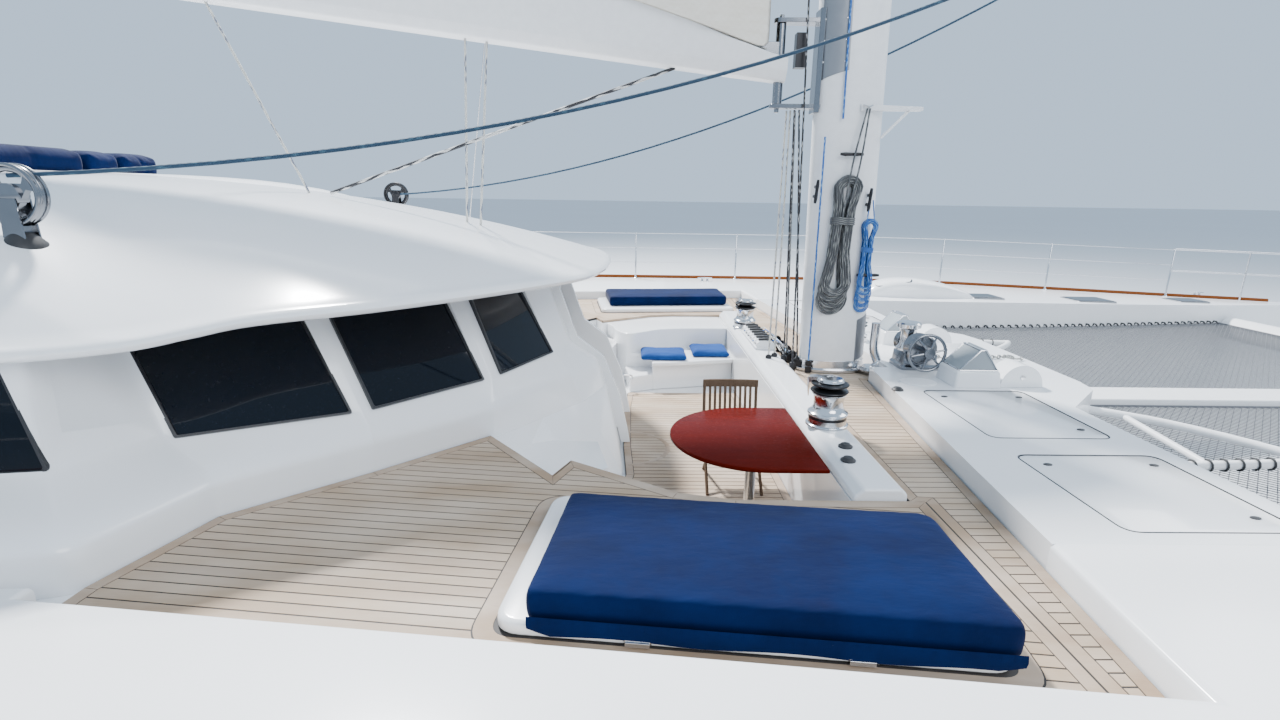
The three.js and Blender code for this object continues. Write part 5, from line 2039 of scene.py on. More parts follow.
@dataclass
class Decks:
    """Bridge deck, teak, coamings, foredeck and lids."""

    margin: float = 0.066
    side_deck: list[Plan] = field(
        default_factory=lambda: [
            (2.62, 3.05),
            (1.49, 3.045),
            (1.145, 2.955),
            (0.462, 2.482),
            (0.368, 2.715),
            (-0.168, 2.026),
            (-0.785, 2.683),
            (-1.398, 3.276),
            (-1.59, 3.936),
            (-1.602, 4.19),
            (2.62, 4.695),
        ]
    )
    walkway: list[Plan] = field(
        default_factory=lambda: [
            (2.625, 4.695),
            (2.625, 3.05),
            (2.533, 3.04),
            (2.533, -3.04),
            (2.625, -3.05),
            (2.625, -4.695),
            (2.807, -4.718),
            (3.206, -0.45),
            (3.39, -0.446),
            (3.39, 0.446),
            (3.206, 0.45),
            (2.807, 4.718),
        ]
    )
    sole: list[Plan] = field(
        default_factory=lambda: [
            (0.835, -1.25),
            (0.78, -1.6),
            (0.76, -2.0),
            (1.24, -2.9),
            (2.198, -2.96),
            (2.198, 1.18),
            (0.84, 1.18),
            (0.805, 0.6),
            (0.805, -0.6),
        ]
    )
    lockers: list[tuple[str, float, float, float, float]] = field(
        default_factory=lambda: [("inner", 3.38, 4.26, 1.22, 2.35), ("outer", 3.36, 4.3, 2.64, 3.64)]
    )

    def boards(self, outline: list[Plan], level: float, width: float) -> Shape:
        """Margin boards along an outline, mitred at its corners.

        Args:
            outline: The outline.
            level: The height of their top.
            width: Their width.

        Returns:
            The shape.
        """
        inner = [Vector(p) for p in inset(outline, width)]
        outer = [Vector(p) for p in inset(outline, 0.003)]
        shape = Shape()
        for k in range(len(outline)):
            a, b, c, d = outer[k - 1], outer[k], inner[k], inner[k - 1]
            way = (b - a).normalized() * 0.002
            shape.prism([a + way, b - way, c - way, d + way], level - 0.012, level)
        return shape

    def teak(self) -> None:
        """Planks, margin boards and lid surrounds over the CAD teak."""
        repaint("forward_deck_teak", CAULK)
        repaint("forward_cockpit_sole", CAULK)
        top = TEAK_TOP + 0.002
        gap = self.margin + 0.006
        for side in Side:
            turn = side.value * PLANK_TURN
            hole = Shape().prism(LID.outline(0.096, 0.17), 2.0, 2.4).on(side)
            area = Shape().prism(inset(self.side_deck, gap), top - 0.012, top).on(side)
            low, high = sorted((2.0 * side.value, 4.7 * side.value))
            finish = TEAK_PORT if side is Side.PORT else TEAK_STARBOARD
            planks(
                f"side_deck_planks_{side.tag}", area, finish, PLATFORM, turn, top, (-1.7, 2.7, low, high),
                hole,
            )
            edging = self.boards(self.side_deck, top, self.margin).on(side)
            edge = make(f"side_deck_margins_{side.tag}", edging.mesh("margins"), MARGIN)
            carve(edge, [Shape().prism(LID.outline(0.094, 0.17), 2.0, 2.4).on(side)], MARGIN)
            settle(edge, PLATFORM)
            inner, outer = LID.outline(0.012, 0.10), LID.outline(0.09, 0.17)
            section = (
                (inner, top - 0.01), (outer, top - 0.01), (outer, top), (inner, top), (inner, top - 0.01)
            )
            ring = Shape().loft([lift(line, z) for line, z in section], cap=False)
            put(f"lid_surround_{side.tag}", ring.on(side), MARGIN)
        strip = Shape()
        for (x0, y0), (x1, y1) in zip(self.side_deck, self.side_deck[1:5]):
            out = Vector((y1 - y0, x0 - x1, 0)).normalized()
            out = -out if out.y > 0 and x0 - x1 > 0.2 else out
            a, b = Vector((x0, y0, 0)), Vector((x1, y1, 0))
            strip.prism(
                [(a - out * 0.004)[:2], (b - out * 0.004)[:2], (b + out * 0.011)[:2], (a + out * 0.011)[:2]],
                2.1715,
                top,
            )
        for side in Side:
            put(f"well_edge_strip_{side.tag}", strip.on(side), MARGIN)
        area = Shape().prism(inset(self.walkway, gap), top - 0.012, top)
        planks("walkway_planks", area, TEAK_STRAIGHT, PLATFORM, 0.0, top, (2.5, 3.4, -4.75, 4.75))
        put("walkway_margins", self.boards(self.walkway, top, self.margin), MARGIN)
        top = WELL_SOLE + 0.002
        area = Shape().prism(inset(self.sole, gap), top - 0.012, top)
        for name, radius, wide, finish in (
            ("sole_ring", 0.42, 0.022, MARGIN), ("sole_ring_seam", 0.436, 0.005, CAULK)
        ):
            turns = [lerp(-1.5, 1.5, k / 30) for k in range(31)]
            arc = [(0.82 + radius * math.cos(a), -0.62 + radius * math.sin(a), top) for a in turns]
            put(name, Shape().tube(arc, wide, 8, flat=0.12), finish)
        planks("sole_planks", area, TEAK_STRAIGHT, PLATFORM, 0.0, top, (0.7, 2.25, -3.0, 1.25))
        put("sole_margins", self.boards(self.sole, top, self.margin), MARGIN)

    def lids(self) -> None:
        """The sun pads' lids, with hinges, and the foredeck's locker lids."""
        for side in Side:
            body = f"hatch_lid_{side.tag}"
            rim = (
                (-0.02, LID.base), (-0.004, LID.base + 0.004), (0.0, LID.base + 0.012),
                (0.0, LID.top - 0.026), (-0.004, LID.top - 0.012), (-0.014, LID.top - 0.003),
                (-0.03, LID.top),
            )
            moulding = Shape().stack((LID.outline(grow, 0.12 + grow), z) for grow, z in rim)
            put(f"{body}_moulding", moulding.on(side), WHITE, body, [body], Edge(shade=50))
            hinges = Shape()
            z, v = TEAK_TOP + 0.034, LID.width / 2
            for u in (-0.43, 0.44):
                hinges.tube([(*LID.place((u + end, v + 0.004)), z) for end in (-0.055, 0.055)], 0.017, 16)
                leaf = oblong(u - 0.05, u + 0.05, v - 0.01, v + 0.03)
                hinges.prism([LID.place(p) for p in leaf], TEAK_TOP + 0.012, z)
            put(f"lid_hinges_{side.tag}", hinges.on(side), CHROME, PLATFORM, edge=Edge(0.002))
        seams = Shape()
        for _, x0, x1, y0, y1 in self.lockers:
            ring = rounded(oblong(x0 + 0.004, x1 - 0.004, y0 + 0.004, y1 - 0.004), 0.086, 8)
            seams.tube(lift(ring, HULL_DECK - 0.0005), 0.0045, 6, closed=True)
        for side in Side:
            put(f"locker_seams_{side.tag}", seams.on(side), GASKET)
        for name, x0, x1, y0, y1 in self.lockers:
            for side in Side:
                node = f"locker_lid_{name}_{side.tag}"
                corners = oblong(x0 + 0.008, x1 - 0.008, y0 + 0.008, y1 - 0.008)
                rim = ((0.0, -0.035), (0.0, -0.006), (0.002, -0.002), (0.006, 0.0))
                panel = Shape().stack((rounded(inset(corners, g), 0.082, 7), HULL_DECK + z) for g, z in rim)
                put(f"{node}_panel", panel.on(side), WHITE, node, [node], Edge(shade=50))
                latches = Shape()
                for along, across in ((0.86, 0.16), (0.86, 0.84), (0.14, 0.16)):
                    x, y = lerp(x0, x1, along), lerp(y0, y1, across)
                    oval = [(x + 0.028 * math.cos(a), y + 0.018 * math.sin(a)) for a in around(24)]
                    crown = [(lerp(x, u, 0.8), lerp(y, v, 0.8)) for u, v in oval]
                    latches.stack(
                        (line, HULL_DECK + z)
                        for line, z in ((oval, -0.004), (oval, 0.004), (crown, 0.006))
                    )
                put(f"{node}_latches", latches.on(side), BLACK, node)

    def bench(self) -> None:
        """The port seat: a step, a seat with a curved lip over its foot, and a curved back."""
        low = WELL_SOLE - 0.0297

        def curve(points: list[Plan]) -> list[Plan]:
            """A smooth plan line through points."""
            return [(p.x, p.y) for p in smooth_path([(x, y, 0) for x, y in points], 6)]

        foot = curve([(1.15, 1.4), (1.5, 1.49), (1.85, 1.56), (2.199, 1.6)])
        lip = curve([(1.14, 1.29), (1.5, 1.355), (1.85, 1.44), (2.199, 1.52)])
        tread = curve([(0.86, 1.26), (1.0, 1.33), (1.16, 1.405)])
        back = curve(
            [(0.607, 2.32), (0.68, 2.0), (0.84, 1.79), (1.05, 1.93), (1.3, 2.1), (1.7, 2.17), (2.199, 2.19)]
        )
        behind = [(2.199, 2.6), (1.3, 2.6), (0.9, 2.4), (0.8, 1.8)]
        shape = Shape().prism([*tread, (1.16, 1.78), (0.795, 1.78)], low, 1.72)
        shape.prism([*foot, *behind, (1.15, 1.76)], low, 1.87)
        shape.prism([*lip, *behind, (1.14, 1.74)], 1.845, 1.9)
        shape.prism([*back, (2.199, 3.0), (1.5, 3.0), (1.165, 2.92), (0.53, 2.47)], low, 2.17)
        put("port_seat_moulding", shape, WHITE, replaces=["port_seat"], edge=Edge(0.018, 3))
        grip = Shape().tube(
            smooth_path(
                [
                    (0.66, 1.24, 1.70), (0.66, 1.22, 1.75), (0.72, 1.2, 1.765), (0.82, 1.2, 1.765),
                    (0.88, 1.215, 1.75), (0.885, 1.245, 1.70),
                ],
                4,
            ),
            0.012,
            10,
        )
        put("bench_grip", grip, CHROME)

    def build(self) -> None:
        """Makes the decks."""
        softened("bridge_deck", WHITE, edge=Edge(0.02, 3))
        softened("foredeck", WHITE, edge=Edge(0.018, 3))
        softened("forward_coaming", WHITE, edge=Edge(0.02, 3))
        self.bench()
        self.teak()
        self.lids()


# ---- Cushions


@dataclass
class Cushion:
    """A stuffed piece, swelled with Blender's Cloth and then smoothed."""

    name: str
    node: str | None
    body: str
    outline: list[Plan]
    low: float
    high: float
    finish: Finish
    slot: Slot
    swell: float = 0.02
    voxel: float = 0.024
    fill: float = 0.7
    corner: float = 0.03
    pressure: float = 4.0
    frames: int = 20

    def build(self) -> bpy.types.Object:
        """Makes the cushion.

        Returns:
            The piece.
        """
        shrink = self.swell * 0.7
        body = inset(self.outline, shrink)
        section = (
            (self.corner, self.low + 0.001),
            (0.004, self.low + self.corner * 0.9),
            (0.0, lerp(self.low, self.high, 0.5)),
            (0.004, self.high - shrink - self.corner * 0.9),
            (self.corner, self.high - shrink),
        )
        stuffed = Shape().stack((inset(body, grow), z) for grow, z in section)
        piece = make(self.name, stuffed.mesh(self.name), self.finish)
        remesh = piece.modifiers.new("cells", "REMESH")
        remesh.mode = "VOXEL"
        remesh.voxel_size = self.voxel
        baked(piece)
        start = [vertex.co.copy() for vertex in piece.data.vertices]
        cloth = piece.modifiers.new("swell", "CLOTH")
        cloth.settings.use_pressure = True
        cloth.settings.uniform_pressure_force = self.pressure
        cloth.settings.effector_weights.gravity = 0.0
        cloth.settings.quality = 4
        cloth.point_cache.frame_end = self.frames
        scene = bpy.context.scene
        for frame_number in range(1, self.frames + 1):
            scene.frame_set(frame_number)
        baked(piece)
        scene.frame_set(1)
        self.cap(piece, start)
        smooth = piece.modifiers.new("smooth", "SUBSURF")
        smooth.levels = smooth.render_levels = 1
        baked(piece)
        piece.data.materials.clear()
        piece.data.materials.append(self.finish.material())
        piece.data.shade_smooth()
        settle(piece, self.body, [self.node] if self.node else [])
        return piece

    def cap(self, piece: bpy.types.Object, start: list[Vector]) -> None:
        """Holds the swelling to its limit, and the underside flat."""
        for vertex, before in zip(piece.data.vertices, start):
            move = vertex.co - before
            if move.length > self.swell:
                move *= self.swell / move.length
            share = min(1.0, max(0.0, (before.z - self.low) / (0.35 * (self.high - self.low))))
            move.z = max(move.z, 0.0) if share < 1 else move.z
            vertex.co = before + Vector((move.x, move.y, move.z * share))
            vertex.co.z = max(vertex.co.z, self.low + 0.0005)


@dataclass
class SoftGoods:
    """Every cushion on board, and the hems of the pads' covers."""

    @staticmethod
    def hem() -> Shape:
        """The loose hem along a pad's outer edge, which hangs over the lid in short waves.

        Returns:
            The port pad's shape.
        """
        shape = Shape()
        for k in range(40):
            ends = lerp(-0.88, 1.03, k / 40), lerp(-0.88, 1.03, (k + 1) / 40)
            rings = []
            for u, lap in zip(ends, (0.0, 0.002)):
                slack = (0.032 - 0.006 * math.sin(9 * u)) * min(1.0, 9 * (u + 0.9), 9 * (1.05 - u))
                drops = ((0.588, -slack), (0.6, -slack), (0.608, 0.02), (0.602, 0.05), (0.59, 0.04))
                rings.append([(*LID.place((u + lap, v)), LID.top + drop) for v, drop in drops])
            shape.loft(rings)
        return shape

    def build(self) -> None:
        """Makes the cushions."""
        for side in Side:
            pad = rounded(
                [(-0.92, -0.36), (1.0, -0.36), (1.075, 0.6), (-0.92, 0.6)], [0.06, 0.12, 0.08, 0.06], 6
            )
            plan = [LID.place(p) for p in pad]
            if side is Side.STARBOARD:
                plan = [(x, -y) for x, y in reversed(plan)]
            body = f"hatch_lid_{side.tag}"
            put(f"sun_pad_{side.tag}_hem", self.hem().on(side), NAVY, body)
            name, low = f"sun_pad_{side.tag}", LID.top + SEAT_GAP
            Cushion(
                f"{name}_cover", name, body, plan, low, 2.418, NAVY, Slot.NAVY, 0.015, 0.02, corner=0.02
            ).build()
        seats = (
            ("seat_cushion_aft", 0.97, 1.615, 1.36, 1.9), ("seat_cushion_forward", 1.645, 2.19, 1.56, 2.13)
        )
        for node, x0, x1, y0, y1 in seats:
            plan = rounded(oblong(x0, x1, y0, y1), 0.05, 5)
            Cushion(
                f"{node}_cover", node, PLATFORM, plan, 1.9003, 1.98, SEATBLUE, Slot.SEAT, 0.016, 0.014
            ).build()
        plan = rounded(oblong(-10.38, -8.02, 2.52, 3.11), 0.05, 5)
        Cushion(
            "aft_bench_cover", "aft_bench_cushion", PLATFORM, plan, 2.1203, 2.2, NAVY, Slot.NAVY, 0.018, 0.024
        ).build()
        for k, (y0, y1) in enumerate(((-1.3, -0.44), (-0.42, 0.76), (0.78, 1.24), (1.26, 1.86))):
            plan = rounded(oblong(-5.48, -4.96, y0, y1), 0.09, 5)
            Cushion(
                f"flybridge_bolster_{k + 1}", None if k else "flybridge_cushion", PLATFORM, plan, 4.08,
                4.32, NAVY, Slot.NAVY, 0.03, 0.028,
            ).build()


# ---- Cockpit furniture


@dataclass
class Furniture:
    """Table, chair and the aft bench."""

    def table(self) -> None:
        """The varnished table on its pedestal."""
        x0, x1, y, half, top = 1.15, 2.13, -2.16, 0.61, 2.28
        arc = [
            (x0 + half + half * math.cos(a), y + half * math.sin(a))
            for a in (math.pi / 2 + math.pi * k / 36 for k in range(37))
        ]
        plan = rounded([(x1, y - half), (x1, y + half)], 0) + arc
        edge = ((0.03, 0.032), (0.008, 0.03), (0.0, 0.022), (0.0, 0.008), (0.003, 0.002), (0.009, 0.0))
        leaf = Shape().stack((inset(plan, grow), top - drop) for grow, drop in edge)
        put("table_leaf", leaf, MAHOGANY, replaces=["table_top"], edge=Edge(shade=50))
        shape = Shape().lathe(
            [
                (0.0, 1.5403), (0.17, 1.5403), (0.17, 1.548), (0.16, 1.554), (0.06, 1.562), (0.04, 1.58),
                (0.038, 2.2), (0.05, 2.225), (0.12, 2.236), (0.12, 2.2477), (0.0, 2.2477),
            ],
            (1.75, y, 0.0),
            sides=40,
        )
        put("table_leg", shape, CHROME, replaces=["table_pedestal"], edge=Edge(shade=40))

    def chair(self) -> None:
        """The folding teak chair."""
        x, y, half, seat, top, floor = 1.735, -1.18, 0.24, 1.98, 2.4, WELL_SOLE + 0.004
        shape = Shape()
        for s in (-1, 1):
            sx = x + s * (half - 0.014)
            back = smooth_path(
                [
                    (sx, y - 0.47, floor),
                    (sx, y - 0.06, seat),
                    (sx, y - 0.005, seat + 0.2),
                    (sx, y + 0.02, top),
                ],
                6,
            )
            shape.tube(back, 0.0135, 10, flat=1.25)
            front = [(sx - s * 0.026, y + 0.06, floor), (sx - s * 0.026, y - 0.4, seat)]
            shape.tube(front, 0.0135, 10, flat=1.25)
            shape.bar(
                (sx - s * 0.012, y - 0.45, seat - 0.012),
                (sx - s * 0.012, y - 0.02, seat - 0.012),
                0.02,
                0.034,
            )
            shape.tube([(sx - s * 0.03, y - 0.2, 1.772), (sx + s * 0.016, y - 0.2, 1.772)], 0.009, 10)
        put("chair_frame", shape, CHAIRWOOD, replaces=["chair"], edge=Edge(0.002))
        slats = Shape()
        for k in range(7):
            v = y - 0.44 + k * 0.062
            slats.block((x - half, v, seat), (x + half, v + 0.046, seat + 0.014))
        put("chair_slats", slats, CHAIRWOOD, edge=Edge(0.004))
        rails = Shape()
        bow = ((-half, 0.012), (-half * 0.5, 0.026), (half * 0.5, 0.026), (half, 0.012))
        crest = smooth_path([(x + u, y + v, top - 0.03) for u, v in bow], 6)
        section = rounded(oblong(-0.012, 0.012, -0.033, 0.033), 0.008, 2)
        rails.loft([[(p.x, p.y + u, p.z + v) for u, v in section] for p in crest])
        rails.bar(
            (x - half + 0.02, y - 0.024, seat + 0.1), (x + half - 0.02, y - 0.024, seat + 0.1), 0.018, 0.04
        )
        for k in range(9):
            dx = -0.176 + 0.044 * k
            rails.bar(
                (x + dx, y - 0.024, seat + 0.1), (x + dx, y + 0.018, top - 0.05), 0.009, 0.022, (1, 0, 0)
            )
        put("chair_back", rails, CHAIRWOOD, edge=Edge(0.002))

    def build(self) -> None:
        """Makes the furniture."""
        self.table()
        self.chair()
        softened("aft_bench", WHITE, edge=Edge(0.02, 3))


# ---- Rig


@dataclass
class Rig:
    """Mast, boom, sails and stays."""

    foot: float = 2.205
    top: float = 33.2
    chord: float = 0.66
    thick: float = 0.34
    rake: float = 0.021
    pivot: float = 2.23
    heel: float = 4.99
    rise: float = 0.114
    length: float = 10.3
    depth: float = 0.52
    spreaders: tuple[Plan, ...] = ((10.5, 1.5), (17.5, 1.35), (24.5, 1.1))
    bunt: tuple[Point, ...] = (
        (0.13, 0.17, 0.6), (0.5, 0.29, 0.74), (
            1.2, 0.345, 0.66
        ), (4.5, 0.29, 0.52), (8.2, 0.21, 0.33), (9.8, 0.09, 0.12)
    )

    def mast_x(self, z: float) -> float:
        """The mast's middle at a height."""
        return 2.97 - (z - self.foot) * self.rake

    def scale(self, z: float) -> float:
        """The mast's section at a height as a share of its foot."""
        return 1 - 0.4 * max(0.0, z - 22.0) / (self.top - 22.0)

    def section(self, z: float, sides: int = 40, grow: float = 0.0) -> list[Point]:
        """The mast's oval section.

        Args:
            z: The height.
            sides: The number of points.
            grow: How far it stands out from the mast.

        Returns:
            The section's points.
        """
        chord, thick = self.chord * self.scale(z) / 2 + grow, self.thick * self.scale(z) / 2 + grow
        x = self.mast_x(z)
        return [(x + chord * math.cos(a), thick * powered(math.sin(a), 0.92), z) for a in around(sides)]

    def aft_face(self, z: float) -> float:
        """Where the mast's after face stands at a height."""
        return self.mast_x(z) - self.chord * self.scale(z) / 2

    def tip(self, z: float, reach: float, sign: int) -> Vector:
        """The outer end of a spreader."""
        return Vector((self.mast_x(z) - 0.38, sign * (0.06 + reach), z + 0.06))

    def heel_z(self, distance: float) -> float:
        """The boom's underside at a distance from its pivot."""
        return self.heel + distance * self.rise

    def mast(self) -> None:
        """The mast with its spreaders, track, foot collar and gooseneck."""
        shape = Shape().loft(
            [
                self.section(z)
                for z in (self.foot, 4.0, 8.0, 14.0, 22.0, 28.0, self.top - 0.05)
            ] + [self.section(self.top, grow=-0.03)]
        )
        for z, reach in self.spreaders:
            for s in (1, -1):
                rings = []
                for k in range(9):
                    t = k / 8
                    wide, high = lerp(0.11, 0.055, t), lerp(0.035, 0.02, t)
                    x, y = self.mast_x(z) - 0.38 * t, s * (0.06 + t * reach)
                    rings.append(
                        [(x + wide * math.cos(a), y, z + 0.06 * t + high * math.sin(a)) for a in around(16)]
                    )
                shape.loft(rings)
        put("mast_tube", shape, SPAR, replaces=["mast"], edge=Edge(shade=50))
        track = Shape()
        for z0, z1 in ((5.75, 14.0), (14.0, 22.0), (22.0, 32.6)):
            track.bar(
                (self.aft_face(z0) - 0.012, 0, z0), (self.aft_face(z1) - 0.012, 0, z1), 0.03, 0.034, (1, 0, 0)
            )
        put("mast_track", track, ALLOY)
        plate = Shape().loft(
            [
                self.section(z, grow=g)
                for z, g in ((MAST_BED, 0.06), (2.236, 0.06), (2.2365, 0.03), (2.24, 0.012), (2.32, 0.006))
            ]
        )
        put("mast_collar", plate, CHROME, edge=Edge(0.003))
        lugs = Shape()
        for z in (4.76, 5.5):
            aft, front = self.pivot - 0.07, self.mast_x(z) - 0.2
            plan = rounded([(aft, -0.06), (front, -0.09), (front, 0.09), (aft, 0.06)], [0.055, 0, 0, 0.055])
            lugs.prism(plan, z, z + 0.04)
        wall = [(self.aft_face(5.1) + 0.03, y, z) for y, z in oblong(-0.11, 0.11, 4.72, 5.62)]
        lugs.loft([wall, [(x - 0.045, y * 0.8, z) for x, y, z in wall]])
        lugs.lathe([(0.0, 4.72), (0.022, 4.725), (0.022, 5.575), (0.0, 5.58)], (self.pivot, 0, 0), sides=16)
        put("gooseneck_fork", lugs, DARKCHROME, edge=Edge(0.004))

    @staticmethod
    def lip(distance: float) -> float:
        """The trough's depth at a distance from its pivot: lower towards the mast."""
        return 0.22 + 0.3 * min(1.0, max(0.0, (distance - 0.2) / 1.7))

    def boom(self) -> None:
        """The boom's trough with its neck."""
        rings = []
        for d, low, high, depth in (
            (-0.05, 0.085, 0.16, 0.2), (0.1, 0.09, 0.2, 0.21), (0.5, 0.11, 0.26, 0.28),
            (1.1, 0.12, 0.31, 0.42), (1.9, 0.12, 0.33, 0.52), (3.5, 0.12, 0.33, 0.52),
            (6.5, 0.12, 0.33, 0.52), (self.length - 0.05, 0.072, 0.185, 0.305),
            (self.length, 0.06, 0.165, 0.29),
        ):
            half = [(0.0, 0.0), (low, 0.0), (low + 0.06, 0.09), (high, depth)]
            outline = rounded(
                [*half[1:], *[(-y, z) for y, z in reversed(half[1:])]],
                [0.05, 0.08, 0.012, 0.012, 0.08, 0.05],
                4,
            )
            rings.append([(self.pivot - d, y, self.heel_z(d) + z) for y, z in outline])
        shape = Shape().loft(rings)
        put("boom_trough", shape, SPAR, "boom", ["boom"], Edge(0.004))
        neck = Shape().lathe(
            [(0.0, 4.8005), (0.045, 4.8005), (0.045, 5.4995), (0.0, 5.4995)], (self.pivot, 0, 0), sides=24
        )
        neck.bar((self.pivot - 0.26, 0, 5.19), (self.pivot, 0, 5.19), 0.08, 0.3)
        put("boom_neck", neck, DARKCHROME, "boom", edge=Edge(0.006))

    @staticmethod
    def folded(d: float, half: float, high: float, folds: int, per: int) -> list[Plan]:
        """One section of the flaked sail: its inner folds, then the smooth bunt drawn over them.

        Args:
            d: The distance from the boom's pivot, which turns the wrinkles.
            half: Half the bunt's width.
            high: The bunt's height.
            folds: The number of inner folds.
            per: Points on each fold.

        Returns:
            The section's points, across and up.
        """
        line = []
        for k in range(folds * per + 1):
            u = k / per
            level = u / folds
            swing = powered(-math.cos(math.pi * u), 0.6)
            wrinkle = 0.05 * math.sin(2.3 * d + 1.7 * math.floor(u))
            reach = 0.76 * half * math.sqrt(1 - (0.86 * level) ** 2)
            line.append((reach * swing * (0.94 + wrinkle), high * (0.02 + 0.8 * level)))
        for k in range(1, 43):
            if k > 12:
                a = math.pi * (k - 12) / 30
                size = 1.0 + 0.022 * math.sin(
                    3.1 * d + 2.0 * a
                ) * math.sin(a) + 0.012 * math.sin(7.3 * d - 3.0 * a)
            else:
                a, size = lerp(1.05, 0.0, k / 12), lerp(0.9, 0.97, k / 12)
            across = powered(math.cos(a), 0.8)
            line.append((half * size * across, high * size * math.sin(a) ** 0.85))
        return line

    @staticmethod
    def cloth(
        name: str, lines: Sequence[Sequence[Vector]], thickness: float, levels: int = 0
    ) -> tuple[bpy.types.Object, float]:
        """Makes a sail of lines that run across it.

        Args:
            name: The piece's name.
            lines: Its lines, of equal count.
            thickness: The cloth's thickness.
            levels: How often it is subdivided.

        Returns:
            The piece, and the cloth's area on one side.
        """
        n = len(lines[0])
        faces = [
            (i * n + j, i * n + j + 1, (i + 1) * n + j + 1, (i + 1) * n + j)
            for i in range(len(lines) - 1)
            for j in range(n - 1)
        ]
        data = raw_mesh(name, [p for line in lines for p in line], faces=faces)
        data.update()
        area = sum(polygon.area for polygon in data.polygons)
        piece = make(name, data, SAIL, Edge(shade=180))
        thick = piece.modifiers.new("cloth", "SOLIDIFY")
        thick.thickness = thickness
        thick.offset = 0.0
        if levels:
            smooth = piece.modifiers.new("smooth", "SUBSURF")
            smooth.levels = smooth.render_levels = levels
        baked(piece)
        piece.data.shade_smooth()
        return piece, area

    def sail(self) -> None:
        """The mainsail flaked in the boom's trough: one long cloth, folded left and right."""
        first, last = self.bunt[0][0], self.bunt[-1][0]
        span = last - first
        folds, per, steps = 11, 8, 36
        lines, flat_width = [], 0.0
        for i in range(steps + 1):
            d = first + span * i / steps
            rest = self.lip(d)
            half, high = between(self.bunt, min(d, last))
            line = [
                Vector((self.pivot - d, y, self.heel_z(d) + rest + 0.003 + z))
                for y, z in self.folded(d, half, high + self.depth - rest, folds, per)
            ]
            lines.append(line)
            if i == steps // 2:
                flat_width = sum((b - a).length for a, b in zip(line, line[1:]))
        piece, area = self.cloth("mainsail_flaked", lines, 0.002, 1)
        settle(piece, "boom", ["stowed_mainsail"])
        length = span * math.hypot(1, self.rise)
        round(min(area, flat_width * length * 0.999), 2)
        log.info("mainsail cloth %.2f x %.2f m, area %.2f", flat_width, length, area)
        ties = Shape()
        for d in (1.3, 2.6, 4.0, 5.4, 6.8, 8.2):
            half, high = (size + spare for size, spare in zip(between(self.bunt, d), (0.012, 0.008)))
            base = self.heel_z(d) + self.depth
            arch = [(1.02, 0.0), (1.04, 0.35), (0.72, 0.8), (0.28, 1.0)]
            arch += [(-w, h) for w, h in reversed(arch)]
            loop = [(self.pivot - d, half * w, base + high * h) for w, h in arch]
            ties.tube(smooth_path(loop, 4), 0.012, 8, flat=0.4)
        put("sail_ties", ties, SAIL, "boom")

    def headsail(self) -> None:
        """The furled headsail, a cloth rolled round its stay."""
        foot = Vector((11.44, 0, 2.16))
        z = 28.6
        head = Vector((self.mast_x(z) + self.chord / 2 * self.scale(z) + 0.015, 0, z))
        way = (head - foot).normalized()
        one = way.orthogonal().normalized()
        two = way.cross(one)
        turns, per, steps = 3, 28, 60
        count = turns * per + 1
        points = []
        for i in range(steps + 1):
            t = 0.035 + 0.9 * i / steps
            centre = foot.lerp(head, t)
            full = 0.12 - 0.065 * (t - 0.09) / 0.85 if t > 0.09 else lerp(0.05, 0.12, (t - 0.035) / 0.055)
            full = min(full, lerp(0.055, 0.03, max(0.0, (t - 0.9) / 0.035)) if t > 0.9 else full)
            line = []
            for j in range(count):
                a = 2 * math.pi * j / per + t * 9.0
                r = lerp(full * 0.8, full, j / (count - 1))
                line.append(centre + one * (r * math.cos(a)) + two * (r * math.sin(a)))
            points.append(line)
        piece, area = self.cloth("headsail_roll", points, 0.0015)
        settle(piece, PLATFORM, ["furled_headsail"])
        stay = Shape().tube([foot, head], 0.013, 12)
        stay.tube([foot.lerp(head, 0.006), foot.lerp(head, 0.012)], 0.035, 16)
        put("forestay_wire", stay, WIRE)
        drum = foot.lerp(head, 0.018)
        turn = Vector((0, 0, 1)).rotation_difference(way).to_matrix().to_4x4()
        shape = Shape().lathe(
            [
                (0.0, -0.1), (0.13, -0.1), (0.14, -0.09), (0.14, -0.075), (0.07, -0.06), (0.07, 0.06),
                (0.14, 0.075), (0.14, 0.09), (0.13, 0.1), (0.0, 0.1),
            ],
            (0, 0, 0),
            sides=36,
        )
        put(
            "furling_drum", shape.turned(Matrix.Translation(drum) @ turn), BLACKALLOY,
            edge=Edge(0.003),
        )

